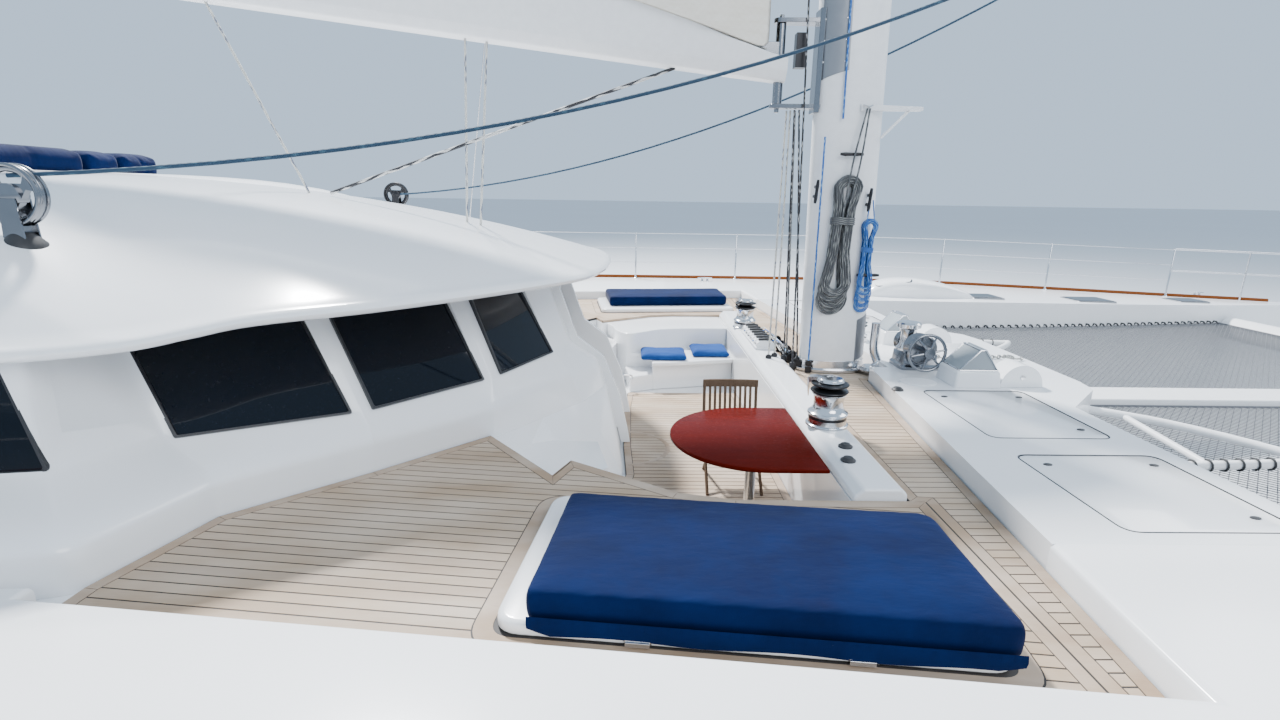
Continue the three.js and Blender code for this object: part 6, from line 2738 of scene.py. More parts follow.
    def shrouds(self) -> None:
        """Shrouds, turnbuckles and diagonal wires."""
        z = 27.0
        side = self.thick / 2 * self.scale(z)
        foot = Vector((-2.4, 6.18, 2.4))
        head = Vector((self.mast_x(z), side + 0.02, z))
        way = (head - foot).normalized()
        wire = Shape().tube([foot, head], 0.011, 12)
        screw = Shape()
        body = foot + way * 0.3
        screw.tube([foot - way * 0.02, foot + way * 0.1], [0.022, 0.022], 14)
        screw.tube(
            [foot + way * 0.1, foot + way * 0.14, body + way * 0.2, body + way * 0.24],
            [0.012, 0.028, 0.028, 0.012],
            16,
        )
        screw.tube([body + way * 0.24, body + way * 0.4], [0.016, 0.014], 12)
        plate = rounded(
            [(-2.46, DECK_GEAR), (-2.34, DECK_GEAR), (-2.36, 2.47), (-2.44, 2.47)], [0, 0, 0.03, 0.03]
        )
        screw.loft([[(x, y, h) for x, h in plate] for y in (6.168, 6.192)])
        for s in Side:
            put(f"shroud_wire_{s.tag}", wire.on(s), WIRE, replaces=[f"shroud_{s.tag}"])
            put(f"shroud_screw_{s.tag}", screw.on(s), CHROME, edge=Edge(0.003))
        inner = Shape()
        for s in (1, -1):
            tips = [self.tip(z, reach, s) for z, reach in self.spreaders]
            for tip, (end, _) in zip(tips, self.spreaders[1:]):
                inner.tube([tip, (self.mast_x(end), s * self.thick / 2 * 0.9, end - 0.15)], 0.006, 8)
            foot, head = (self.mast_x(6.6), s * self.thick / 2, 6.65), (self.mast_x(31.0), s * 0.1, 31.0)
            inner.tube([foot, *tips, head], 0.006, 8)
        put("diamond_wires", inner, WIRE)

    def build(self) -> None:
        """Makes the rig."""
        self.mast()
        self.boom()
        self.sail()
        self.headsail()
        self.shrouds()


# ---- Hardware


@dataclass
class Winch:
    """A self-tailing winch."""

    name: str
    node: str
    x: float
    y: float
    base: float
    radius: float
    height: float
    arm: float = 0.0

    @property
    def foot(self) -> Point:
        """Where the winch stands, a hair above its seat."""
        return (self.x, self.y, self.base + SEAT_GAP)

    def grown(self, shape: Shape) -> Shape:
        """A shape of unit radius and height, grown to the winch's size and put on its foot.

        Args:
            shape: The shape.

        Returns:
            The same shape.
        """
        x, y, z = self.foot
        shape.points = [
            Vector((p.x * self.radius + x, p.y * self.radius + y, p.z * self.height + z))
            for p in shape.points
        ]
        return shape

    def build(self) -> None:
        """Turns the winch's drum, jaws and base."""
        r, h, foot = self.radius, self.height, self.foot
        base = [(0.0, 0.0), (1.0, 0.0), (1.0, 0.02), (0.985, 0.035), (0.95, 0.045), (0.9, 0.05)]
        drum = [
            (0.9, 0.05), (0.88, 0.2), (0.92, 0.215), (0.95, 0.235), (0.93, 0.26), (0.82, 0.29),
            (0.72, 0.34), (0.69, 0.4), (0.69, 0.48), (0.71, 0.54), (0.75, 0.59), (0.79, 0.61), (0.79, 0.63),
            (0.6, 0.64), (0.0, 0.64),
        ]
        shape = Shape().lathe([(a * r, b * h) for a, b in base + drum[1:]], foot, sides=56)
        put(f"{self.name}_drum", shape, CHROME, replaces=[self.node], edge=Edge(0.0015, shade=28))
        band = Shape().lathe(
            [(0.875 * r, 0.06 * h), (0.893 * r, 0.062 * h), (0.885 * r, 0.19 * h), (0.87 * r, 0.195 * h)],
            foot,
            sides=56,
        )
        put(f"{self.name}_band", band, BLACKALLOY)
        jaws = Shape()
        jaws.lathe(
            [
                (0.0, 0.645), (0.72, 0.645), (0.86, 0.66), (0.88, 0.675), (0.86, 0.69), (0.6, 0.72),
                (0.5, 0.735), (0.0, 0.735),
            ],
            (0, 0, 0),
            sides=56,
        )
        jaws.lathe(
            [
                (0.0, 0.745), (0.5, 0.75), (0.6, 0.765), (0.86, 0.79), (0.88, 0.805), (0.86, 0.82),
                (0.72, 0.835), (0.0, 0.84),
            ],
            (0, 0, 0),
            sides=56,
        )
        put(f"{self.name}_jaws", self.grown(jaws), BLACKALLOY)
        cap = Shape().lathe(
            [
                (0.0, 0.84), (0.62, 0.845), (0.64, 0.86), (0.62, 0.9), (0.55, 0.925), (0.3, 0.94),
                (0.16, 0.942), (0.15, 0.93), (0.0, 0.93),
            ],
            (0, 0, 0),
            sides=56,
        )
        self.grown(cap)
        out = Vector((math.cos(self.arm), math.sin(self.arm), 0))
        across = Vector((-out.y, out.x, 0))
        arm = []
        for reach, wide, z0, z1 in (
            (0.2, 0.22, 0.86, 0.93), (0.75, 0.24, 0.85, 0.92), (0.95, 0.22, 0.78, 0.9),
            (1.0, 0.16, 0.62, 0.86), (0.98, 0.08, 0.5, 0.62),
        ):
            c = Vector(foot) + out * (reach * r)
            arm.append(
                [
                    c + across * (s * wide * r) + Vector((0, 0, z * h)) + out * q * r * 0.05
                    for s, z, q in ((-1, z0, 0), (1, z0, 0), (1, z1, 1), (-1, z1, 1))
                ]
            )
        cap.loft(arm)
        put(f"{self.name}_top", cap, CHROME, edge=Edge(0.002, shade=28))


@dataclass
class Hardware:
    """Winches, windlass, clutches and the roof's turning blocks."""

    clutches: list[float] = field(default_factory=lambda: [0.56, 0.7, 0.84, 0.98, 1.12, 1.26, 1.4])

    def windlass(self) -> None:
        """The windlass with its handwheel, gypsy and capstan."""
        x, y, z = 3.64, -0.42, 2.56
        body = Shape()
        plan = rounded(oblong(x - 0.16, x + 0.22, y - 0.15, y + 0.19), 0.05)
        levels = ((0.0, DECK_GEAR), (0.0, 2.37), (0.02, 2.39), (0.03, 2.48), (0.05, 2.51))
        body.stack((inset(plan, grow), h) for grow, h in levels)
        body.lathe(
            [(0.0, -0.05), (0.09, -0.05), (0.1, -0.04), (0.1, 0.1), (0.09, 0.11), (0.0, 0.11)],
            (x, y, z),
            (0, 1, 0),
            40,
        )
        put("windlass_body", body, DARKCHROME, replaces=["windlass"], edge=Edge(0.004))
        drums = Shape()
        drums.lathe([(0.0, -0.36), (0.05, -0.36), (0.05, 0.2), (0.0, 0.2)], (x, y, z), (0, 1, 0), 24)
        drums.lathe(
            [
                (0.06, 0.11), (0.115, 0.115), (0.125, 0.13), (0.095, 0.16), (0.125, 0.19), (0.115, 0.2),
                (0.0, 0.205),
            ],
            (x, y, z),
            (0, 1, 0),
            40,
        )
        drums.lathe(
            [
                (0.05, -0.06), (0.13, -0.065), (0.14, -0.08), (0.1, -0.11), (0.085, -0.14), (0.1, -0.17),
                (0.14, -0.2), (0.13, -0.215), (0.0, -0.22),
            ],
            (x, y, z),
            (0, 1, 0),
            40,
        )
        put("windlass_drums", drums, DARKCHROME, edge=Edge(0.002))
        side = y - 0.34
        rim = [(x - 0.02 + 0.17 * math.cos(a), side, z + 0.17 * math.sin(a)) for a in around(48)]
        wheel = Shape().tube(rim, 0.015, 12, closed=True)
        for k in range(6):
            a = math.pi * k / 3 + 0.2
            spoke = [(x + r * math.cos(a), side, z + r * math.sin(a)) for r in (0.03, 0.168)]
            wheel.tube(spoke, [0.012, 0.008], 10)
        put("windlass_wheel", wheel, DARKCHROME)
        capstan = Shape().lathe(
            [
                (0.0, 2.5105), (0.1, 2.5105), (0.1, 2.53), (0.075, 2.56), (0.066, 2.62), (0.066, 2.68),
                (0.085, 2.72), (0.112, 2.735), (0.115, 2.77), (0.1, 2.785), (0.03, 2.79), (0.0, 2.788),
            ],
            (x - 0.06, y + 0.02, 0.0),
            sides=44,
        )
        put("windlass_capstan", capstan, CHROME, edge=Edge(0.001, shade=40))

    def clutch_bank(self) -> None:
        """The row of rope clutches on its plinth."""
        plinth = Shape().prism(rounded(oblong(2.27, 2.5, 0.5, 1.5), 0.02), COAMING_GEAR, 2.3)
        put("clutch_plinth", plinth, WHITE, replaces=["clutch_bank"], edge=Edge(0.004))
        shells, levers = Shape(), Shape()
        side = rounded(
            [(-0.1, 0.0), (0.1, 0.0), (0.1, 0.045), (0.07, 0.07), (-0.06, 0.07), (-0.1, 0.04)],
            [0.004, 0.004, 0.02, 0.02, 0.02, 0.02],
            3,
        )
        lever = rounded(
            [(-0.075, 0.066), (0.02, 0.074), (0.085, 0.07), (0.09, 0.088), (0.02, 0.098), (-0.07, 0.092)],
            0.008,
            2,
        )
        for y in self.clutches:
            shells.loft([[(2.385 + u, y + w, 2.3 + v) for u, v in side] for w in (-0.044, 0.044)])
            levers.loft([[(2.385 + u, y + w, 2.3 + v) for u, v in lever] for w in (-0.02, 0.02)])
        put("clutch_shells", shells, SATIN, edge=Edge(0.004))
        put("clutch_levers", levers, BLACK, edge=Edge(0.003))

    def roof_block(self) -> None:
        """The upright turning blocks on the roof's shoulders: cheeks, an open sheave and a black foot."""
        x, y, z, r = -2.47, -2.9, 3.9, 0.155
        cheeks, sheave, foot = Shape(), Shape(), Shape()
        foot.lathe(
            [(0.0, 3.31), (0.12, 3.31), (0.125, 3.6), (0.1, 3.645), (0.05, 3.7), (0.0, 3.7)],
            (x, y, 0),
            sides=28,
        )
        for off in (-0.052, 0.042):
            cheeks.loft(
                [
                    [
                        (x + u, y + off + w, z + v)
                        for u, v in ((-0.06, -0.26), (0.06, -0.26), (0.045, -0.02), (-0.045, -0.02))
                    ]
                    for w in (0.0, 0.01)
                ]
            )
        for off, size, thick, sides in (
            (-0.03, r, 0.012, 10), (0.03, r, 0.012, 10), (0.0, r - 0.014, 0.024, 12)
        ):
            rim = [(x + size * math.cos(a), y + off, z + size * math.sin(a)) for a in around(56)]
            sheave.tube(rim, thick, sides, closed=True)
        sheave.lathe(
            [(0.0, -0.045), (0.04, -0.045), (0.06, -0.035), (0.06, 0.035), (0.04, 0.045), (0.0, 0.045)],
            (x, y, z),
            (0, 1, 0),
            32,
        )
        for k in range(3):
            a = 2 * math.pi * k / 3 + 0.5
            way = Vector((math.cos(a), 0, math.sin(a)))
            across = Vector((-way.z, 0, way.x))
            c = Vector((x, y, z))
            web = [
                c + way * u + across * v
                for u, v in (
                    (0.04, -0.045), (0.09, -0.018), (0.14, -0.06), (0.14, 0.06), (0.09, 0.018), (0.04, 0.045)
                )
            ]
            sheave.loft([[p + Vector((0, w, 0)) for p in web] for w in (-0.02, 0.02)])
        put(
            "roof_block_starboard", cheeks, DARKCHROME, replaces=["roof_turning_block"],
            edge=Edge(0.002),
        )
        put("roof_block_sheave_starboard", sheave, DARKCHROME)
        for side in Side:
            put(
                f"roof_block_foot_{side.tag}",
                foot if side is Side.STARBOARD else foot.mirrored(),
                BLACK,
            )
        put("roof_block_port", Shape().join(cheeks).join(sheave).mirrored(), BLACKALLOY)

    def build(self) -> None:
        """Makes the hardware."""
        Winch("winch_a", "winch_starboard", 2.365, -1.9, 2.27, 0.16, 0.4, 2.6).build()
        Winch("winch_b", "winch_port", 2.37, 1.79, 2.27, 0.155, 0.4, 2.2).build()
        Winch("winch_c", "winch_foredeck", 3.52, 0.78, 2.34, 0.11, 0.26, 3.0).build()
        self.windlass()
        self.clutch_bank()
        self.roof_block()


@dataclass
class Hank:
    """A rope's long spare end, folded up and down into a hank that hangs on the mast."""

    name: str
    node: str
    finish: Finish
    slot: Slot
    middle: float
    back: float
    low: float
    high: float
    half: float
    rope: float
    layers: int
    lean: float
    hook: Point
    pitch: float = 1.2
    stagger: float = 0.06
    arc: int = 9
    run: int = 6

    def axis(self, u: float) -> float:
        """Where the hank's middle hangs at a share of its height."""
        return self.middle + self.lean * (u - 0.5) + 0.006 * math.sin(6 * u + 1)

    def path(self) -> list[Vector]:
        """The rope's centreline: turns that grow, shift a layer and shrink, drawn together at the throat.

        Returns:
            The line's points.
        """
        pitch, inner = self.pitch * self.rope, 3.45 * self.rope
        outer = self.half - self.rope / 2
        top = self.high - outer - self.rope / 2
        turns = (outer - inner) / pitch
        line = [(-inner, 0.0, lerp(top, self.low + 0.16, k / 8), self.low + 0.16) for k in range(8)]
        per = 2 * (self.arc + self.run)
        for k in range(int(turns * self.layers * per)):
            layer, share = divmod(k / per, turns)
            wide = inner + pitch * (share if layer % 2 == 0 else turns - share)
            shift = min(1.0, share / 0.2) if layer else 1.0
            deep = (layer - 1 + shift) * pitch
            foot = self.low + self.rope / 2 + wide + 0.9 * (outer - wide) + self.stagger * (layer - 1 + shift)
            second, step = divmod(k % per, self.arc + self.run)
            start, end = (top, foot) if second else (foot, top)
            if step < self.arc:
                a = math.pi * (1 - second) + math.pi * step / self.arc
                line.append((wide * math.cos(a), deep, start + wide * math.sin(a), foot))
            else:
                z = lerp(start, end, (step - self.arc) / self.run)
                line.append((-wide if second else wide, deep, z, foot))
        out = []
        for x, y, z, foot in line:
            u = (z - self.low) / (self.high - self.low)
            slack = min(1.0, max(0.0, min((z - foot) / (0.22 * (self.high - self.low)), (0.93 - u) / 0.14)))
            x -= math.copysign((inner - 0.6 * pitch) * slack * slack * (3 - 2 * slack), x)
            x *= 1.0 - 0.1 * max(0.0, u)
            out.append(Vector((self.axis(u) + x, self.back - self.rope * 0.6 - y, z)))
        return out

    def build(self) -> None:
        """Sweeps the rope, ties it and hangs it on its hook."""
        path = self.path()
        piece = put(
            self.name, Shape().tube(path, self.rope / 2, 8, self.rope * 4), self.finish,
            replaces=[self.node],
        )
        thick = self.back - self.rope * (0.6 + self.pitch * (self.layers - 1) / 2)
        deep = self.rope * (0.5 * self.pitch * self.layers + 0.62)
        wide = 0.93 * (self.half - 3.0 * self.rope) + 0.3 * self.rope
        tie = Shape()
        u = 0.66
        x, z = self.axis(u), lerp(self.low, self.high, u)
        for k in range(4):
            h = z + k * self.rope
            ring = [
                (
                    x + wide * powered(math.cos(a), 0.6),
                    thick + deep * powered(math.sin(a), 0.6),
                    h + 0.004 * math.sin(2 * a),
                )
                for a in around(40)
            ]
            tie.tube(ring, self.rope / 2, 8, self.rope * 4, closed=True)
        end = Vector((x, thick - deep - 0.004, z + 4 * self.rope))
        hook = Vector(self.hook)
        for s in (-1, 1):
            leg = [end + Vector((s * 0.02, 0, -0.01)), end.lerp(hook, 0.5) + Vector((s * 0.035, 0, 0))]
            leg = smooth_path([*leg, hook + Vector((s * 0.012, 0, 0))], 6)
            tie.tube(leg, self.rope / 2, 8, self.rope * 4)
        put(f"{self.name}_tie", tie, self.finish)


@dataclass
class Running:
    """Working ropes that are set up tight, with the blocks and cleats that they lead to."""

    clew: Point = (9.2, 0.13, 9.0)
    block: Point = (-2.5, 2.9, 3.93)

    def sheets(self) -> None:
        """Both headsail sheets, from the roof's blocks to the clew."""
        for side, z in ((Side.STARBOARD, 4.0), (Side.PORT, 3.9)):
            start = Vector((self.block[0] + 0.02, self.block[1], z))
            line = bezier(start, Vector((3.35, 1.5, z + 0.36)), Vector(self.clew), 36)
            put(
                f"headsail_sheet_{side.tag}",
                Shape().tube(line, 0.0125, 10, 0.05).on(side),
                TEALROPE,
            )

    def falls(self) -> None:
        """Ropes between boom and roof, and the lines from the gooseneck down to the clutches."""
        for k, (top, foot, radius, finish) in enumerate(
            (
                ((-3.04, 0.0, 5.6), (-2.28, 0.0, 3.9), 0.009, WHITEROPE),
                ((1.25, 0.0, 5.105), (-2.08, 0.0, 3.92), 0.0125, FLECKROPE),
                ((-0.7, 0.0, 5.33), (-0.77, 0.0, 3.6), 0.009, WHITEROPE),
                ((-0.5, 0.0, 5.31), (-0.64, 0.0, 3.58), 0.009, WHITEROPE),
            )
        ):
            a, b = Vector(top), Vector(foot)
            line = [a.lerp(b, t / 24) for t in range(25)]
            piece = make(
                f"boom_fall_{k + 1}", Shape().tube(line, radius * 1.3, 10, radius * 10).mesh("fall"), finish
            )
            baked(piece)
            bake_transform(piece)
        table = (
            (Vector((2.34, 0.05, 4.75)), Vector((2.34, 0.12, 2.31)), WHITEROPE),
            (Vector((2.37, 0.02, 4.75)), Vector((2.42, 0.2, 2.31)), WHITEROPE),
            (Vector((2.4, -0.02, 4.75)), Vector((2.5, 0.1, 2.31)), BLACKROPE),
            (Vector((2.42, 0.04, 4.75)), Vector((2.56, 0.24, 2.31)), GREYROPE),
            (Vector((2.44, -0.04, 4.75)), Vector((2.62, 0.02, 2.31)), BLACKROPE),
            (Vector((2.435, -0.1, 5.9)), Vector((2.52, -0.185, 2.31)), BLACKROPE),
            (Vector((2.62, 0.17, 8.6)), Vector((2.77, 0.185, 2.33)), WHITEROPE),
            (Vector((2.74, -0.18, 8.6)), Vector((2.82, -0.19, 4.66)), BLUEROPE),
            (Vector((2.67, -0.175, 4.5)), Vector((2.68, -0.2, 2.33)), BLUEROPE),
        )
        for k, (a, b, finish) in enumerate(table):
            put(
                f"mast_line_{k + 1}",
                Shape().tube([a.lerp(b, t / 12) for t in range(13)], 0.0095, 8, 0.04),
                finish,
            )
        blocks = Shape()
        for _, b, _ in table[:6] + table[8:]:
            blocks.lathe(
                [(0.0, -0.016), (0.03, -0.014), (0.034, 0.0), (0.03, 0.014), (0.0, 0.016)],
                tuple(b + Vector((0, 0, -0.025))),
                (0.2, 1, 0),
                20,
            )
            blocks.block((b.x - 0.03, b.y - 0.012, MAST_BED), (b.x + 0.03, b.y + 0.012, 2.27))
        for k in range(11):
            x, y, z = 2.6 + 0.05 * (k % 2), -0.04 + 0.125 * k, 2.262
            for off in (-0.022, 0.015):
                blocks.lathe(
                    [(0.0, off), (0.048, off), (0.048, off + 0.007), (0.0, off + 0.007)],
                    (x, y, z),
                    (0.25 - 0.1 * (k % 3), 1, 0),
                    24,
                )
            blocks.lathe(
                [(0.0, -0.014), (0.043, -0.014), (0.034, 0.0), (0.043, 0.014), (0.0, 0.014)],
                (x, y, z),
                (0.25 - 0.1 * (k % 3), 1, 0),
                24,
            )
            blocks.block((x - 0.045, y - 0.018, MAST_BED), (x + 0.045, y + 0.018, 2.225))
        put("mast_foot_blocks", blocks, BLACKALLOY, edge=Edge(0.002))
        finishes = (GREYROPE, BLUEROPE, WHITEROPE, BLACKROPE)
        for k, y in enumerate(Hardware().clutches):
            x = 2.56 + 0.05 * (k % 3)
            line = smooth_path(
                [(2.27, y, 2.336), (2.5, y, 2.338), (2.56, y - 0.06, 2.34), (x, 0.2 + 0.05 * k, 2.26)], 6
            )
            put(f"clutch_rope_{k + 1}", Shape().tube(line, 0.008, 8, 0.04), finishes[k % 4])

    def fittings(self) -> None:
        """Plates, cleats, hooks and the bracket on the mast."""
        rig = Rig()
        plate = Shape()
        for low, high, a0, a1 in ((5.0, 6.5, 3.55, 4.5), (2.32, 2.75, 5.35, 5.95)):
            angles = [lerp(a0, a1, k / 10) for k in range(11)]
            rings = []
            for z in (low, high):
                slant = 0.09 if z < 5.5 else 0.0
                faces = []
                for grow in (0.001, 0.007):
                    chord, thick = rig.chord / 2 + grow, rig.thick / 2 + grow
                    faces.append(
                        [
                            (
                                rig.mast_x(z) + chord * math.cos(a),
                                thick * powered(math.sin(a), 0.92),
                                z + slant * (a - a0),
                            )
                            for a in angles
                        ]
                    )
                rings.append(faces[0] + faces[1][::-1])
            plate.loft(rings)
        put("mast_plates", plate, ALLOY, edge=Edge(0.001, shade=30))
        spots = [
            (rig.mast_x(z) + 0.338 * math.cos(a), -0.178 * abs(math.sin(a)) ** 0.92, z + 0.04)
            for z in (5.12, 5.3, 5.48, 5.66, 5.9, 6.2)
            for a in (3.66, 4.38)
        ]
        studs("mast_plate_bolts", spots, 0.011, 0.006, (0, -1, 0), CHROME)
        cleats = Shape()
        for x, y, z, turn in (
            (2.925, -0.172, 4.345, 0.0),
            (3.14, -0.165, 3.93, 1.5),
            (3.2, -0.15, 3.21, 0.0),
            (2.62, -0.17, 4.0, 1.5),
        ):
            way = Vector((math.cos(turn), 0, math.sin(turn))) * 0.11
            c = Vector((x, y - 0.045, z))
            cleats.tube(
                [c - way, c - way * 0.6, c, c + way * 0.6, c + way], [0.012, 0.017, 0.015, 0.017, 0.012], 12
            )
            for s in (-0.4, 0.4):
                cleats.tube([c + way * s, c + way * s + Vector((0, 0.06, 0))], [0.012, 0.018], 12)
        cleats.block((2.37, -0.05, 5.12), (2.47, 0.05, 5.42))
        put("mast_cleats", cleats, BLACKALLOY, edge=Edge(0.002))
        arm = Shape()
        side = rounded([(2.98, 4.735), (3.56, 4.74), (3.56, 4.775), (2.98, 4.79)], [0, 0.015, 0.015, 0])
        arm.loft([upright(side, -0.165 + w) for w in (-0.035, 0.035)])
        arm.tube([(3.2, -0.165, 4.5), (3.44, -0.165, 4.745)], 0.014, 12)
        put("mast_bracket", arm, SPAR, edge=Edge(0.003))
        foot = Shape().tube(
            smooth_path([(3.36, -0.14, 2.72), (3.36, -0.14, 2.45), (3.4, -0.17, 2.3), (3.3, -0.22, 2.25)], 6),
            0.045,
            20,
        )
        foot.lathe(
            [(0.0, 2.2403), (0.1, 2.2403), (0.11, 2.26), (0.07, 2.28), (0.06, 2.3), (0.0, 2.3)],
            (3.3, -0.22, 0),
            sides=32,
        )
        foot.tube([(2.99, -0.21, 4.78), (3.04, -0.235, 4.76), (3.08, -0.21, 4.78)], 0.008, 10)
        put("mast_foot_horn", foot, CHROME, edge=Edge(0.002))

    def build(self) -> None:
        """Makes the ropes, hanks and mast fittings."""
        self.sheets()
        self.falls()
        self.fittings()
        Hank(
            "grey_hank", "halyard_coil_grey", GREYROPE, Slot.GREYROPE, 2.885, -0.1703, 2.8, 4.17, 0.165,
            0.018, 4, 0.085, (3.04, -0.225, 4.75),
        ).build()
        Hank(
            "blue_hank", "halyard_coil_blue", BLUEROPE, Slot.BLUEROPE, 3.17, -0.1583, 2.82, 3.76, 0.088,
            0.012, 5, 0.012, (3.16, -0.21, 3.93),
        ).build()


@dataclass
class Foredeck:
    """Hoods, covers, chain, cleats and lashings forward of the mast."""

    deck: float = DECK_GEAR

    def hoods(self) -> None:
        """Sloped windows and round covers on low boxes, on both sides of the middle."""
        z = self.deck
        boxes, glass, frames = Shape(), Shape(), Shape()
        for y in (-1.14, 0.52):
            box, levels = oblong(3.72, 4.14, y, y + 0.38), ((0.0, z), (0.015, z + 0.13), (0.03, z + 0.15))
            boxes.stack((rounded(inset(box, grow), 0.03), h) for grow, h in levels)
            gable = [(3.76, z + 0.1505), (4.1, z + 0.1505), (3.975, z + 0.33), (3.93, z + 0.33)]
            glass.loft([upright(gable, v) for v in (y + 0.045, y + 0.335)])
            for v in (y + 0.04, y + 0.34):
                frames.tube(upright(gable, v), 0.009, 10, closed=True)
            for u, h in gable:
                frames.tube([(u, y + 0.04, h), (u, y + 0.34, h)], 0.009, 10)
            disc = [
                (4.33 + 0.19 * math.cos(a), z + 0.2 * math.sin(a))
                for a in (math.pi * k / 28 for k in range(29))
            ]
            boxes.loft([upright(disc, v) for v in (y + 0.03, y + 0.26)])
            frames.lathe(
                [(0.0, 0.0), (0.022, 0.0), (0.022, 0.008), (0.0, 0.01)],
                (4.33, y + 0.03, z + 0.09),
                (0, -1, 0),
                20,
            )
        box, levels = [
            (3.9, -0.7), (4.62, -0.62), (4.62, 0.4), (3.9, 0.44)
        ], ((0.0, z), (0.01, z + 0.05), (0.025, z + 0.06))
        boxes.stack((rounded(inset(box, grow), 0.05), h) for grow, h in levels)
        put("foredeck_hoods", boxes, WHITE, edge=Edge(0.012, 3))
        put("foredeck_hood_glass", glass, PALEGLASS)
        put("foredeck_hood_frames", frames, CHROME)
        lid = Shape()
        for grow, low, high in ((0.0, z, z + 0.004), (-0.012, z + 0.004, z + 0.012)):
            oval = [
                (3.46 + (0.17 + grow) * math.cos(a), -0.98 + (0.13 + grow) * math.sin(a))
                for a in around(40)
            ]
            lid.prism(oval, low, high)
        put("deck_hatch_oval", lid, SATIN, edge=Edge(0.002))
        pedals = Shape()
        for u, v, h in ((3.18, -1.22, DECK_GEAR), (2.36, -2.36, COAMING_GEAR), (2.3, -2.6, COAMING_GEAR)):
            pedals.lathe(
                [(0.0, 0.0), (0.05, 0.0), (0.05, 0.008), (0.034, 0.02), (0.03, 0.026), (0.0, 0.03)],
                (u, v, h),
                sides=28,
            )
        put("foot_switches", pedals, BLACK, edge=Edge(0.001))

    def chain(self) -> None:
        """The anchor chain from the windlass to the stem, with links turned by quarters."""
        path = smooth_path(
            [
                (3.8, -0.42, 2.475), (4.0, -0.4, 2.418), (4.3, -0.36, 2.4175), (4.66, -0.28, 2.4175),
                (4.8, -0.2, 2.375), (4.93, -0.12, 2.36),
            ],
            10,
        )
        links, step, gone = Shape(), 0.034, 0.0
        for k, (a, b) in enumerate(zip(path, path[1:])):
            gone += (b - a).length
            if gone < step:
                continue
            gone -= step
            way = (b - a).normalized()
            side = way.cross(Vector((0, 0, 1))).normalized()
            if k % 2:
                side = side.cross(way)
            ring = [a + way * (0.026 * math.cos(t)) + side * (0.016 * math.sin(t)) for t in around(12)]
            links.tube(ring, 0.006, 6, closed=True)
        put("anchor_chain", links, GALVANISED)

    def cleats(self) -> None:
        """Mooring cleats on the decks; those without a height stand on both hulls."""
        shape = Shape()
        for x, y, z, turn in (
            (3.05, 0.95, DECK_GEAR, 0.3), (4.62, 1.15, DECK_GEAR, 1.2), (4.7, -3.2, DECK_GEAR, 1.4),
            (11.9, 5.75, 0.0, 0.1), (-10.9, 5.6, 0.0, 0.0), (2.3, 5.9, 0.0, 0.0),
        ):
            on_hull = z == 0.0
            for s in (1, -1):
                if on_hull or s == 1:
                    level = HULLS.at(x)[3] + 0.0004 if on_hull else z
                    c = Vector((x, y * s, level + 0.06))
                    way = Vector((math.cos(turn), math.sin(turn), 0)) * 0.14
                    shape.tube(
                        [c - way, c - way * 0.5, c, c + way * 0.5, c + way],
                        [0.01, 0.017, 0.018, 0.017, 0.01],
                        12,
                    )
                    for t in (-0.35, 0.35):
                        shape.tube([c + way * t, c + way * t - Vector((0, 0, 0.06))], [0.015, 0.024], 12)
        put("mooring_cleats", shape, CHROME)

    def lashings(self) -> None:
        """Black lashings round the nets' edges, and the arms beside the longeron."""
        outline = [
            (4.96, 0.24), (4.91, 2.61), (4.46, 2.61), (4.46, 3.71), (5.0, 3.72), (6.4, 3.8), (7.0, 3.88),
            (8.45, 4.07), (9.0, 4.14), (10.5, 4.39), (11.3, 4.52),
        ]
        ties, arms = Shape(), Shape()
        for a, b in zip(outline, outline[1:]):
            a, b = Vector((*a, 0)), Vector((*b, 0))
            count = int((b - a).length / 0.13)
            out = (b - a).normalized().cross(Vector((0, 0, 1)))
            out = -out if out.dot(Vector((7.5, 2.2, 0)) - a) > 0 else out
            for k in range(count):
                c = a.lerp(b, (k + 0.5) / count) + Vector((0, 0, NET_LEVEL))
                ties.tube(
                    [
                        c - out * 0.04,
                        c - out * 0.01 + Vector((0, 0, 0.03)),
                        c + out * 0.03 + Vector((0, 0, 0.03)),
                        c + out * 0.055,
                    ],
                    0.014,
                    6,
                )
        corners = [
            (4.95, 1.0, 2.12), (5.5, 1.35, 2.1), (6.0, 1.92, 2.06), (5.9, 2.04, 2.04), (4.95, 2.12, 2.04)
        ]
        arms.tube(smooth_path([Vector(c) for c in corners], 5), 0.036, 16)
        arms.tube([(5.25, 1.18, 2.1), (5.2, 2.1, 2.045)], 0.028, 14)
        for k in range(7):
            u = 5.05 + 0.13 * k
            ties.tube(
                [
                    (u + 0.02, 2.12 - 0.08 * (u - 5) + 0.045 * math.sin(t), 2.04 + 0.045 * math.cos(t))
                    for t in around(12)
                ],
                0.008,
                6,
                closed=True,
            )
        for side in Side:
            put(f"net_lashings_{side.tag}", ties.on(side), BLACK)
            put(f"net_arms_{side.tag}", arms.on(side), SPAR)

    def build(self) -> None:
        """Makes the foredeck's gear."""
        self.hoods()
        self.chain()
        self.cleats()
        self.lashings()


# ---- Rails, beam and nets


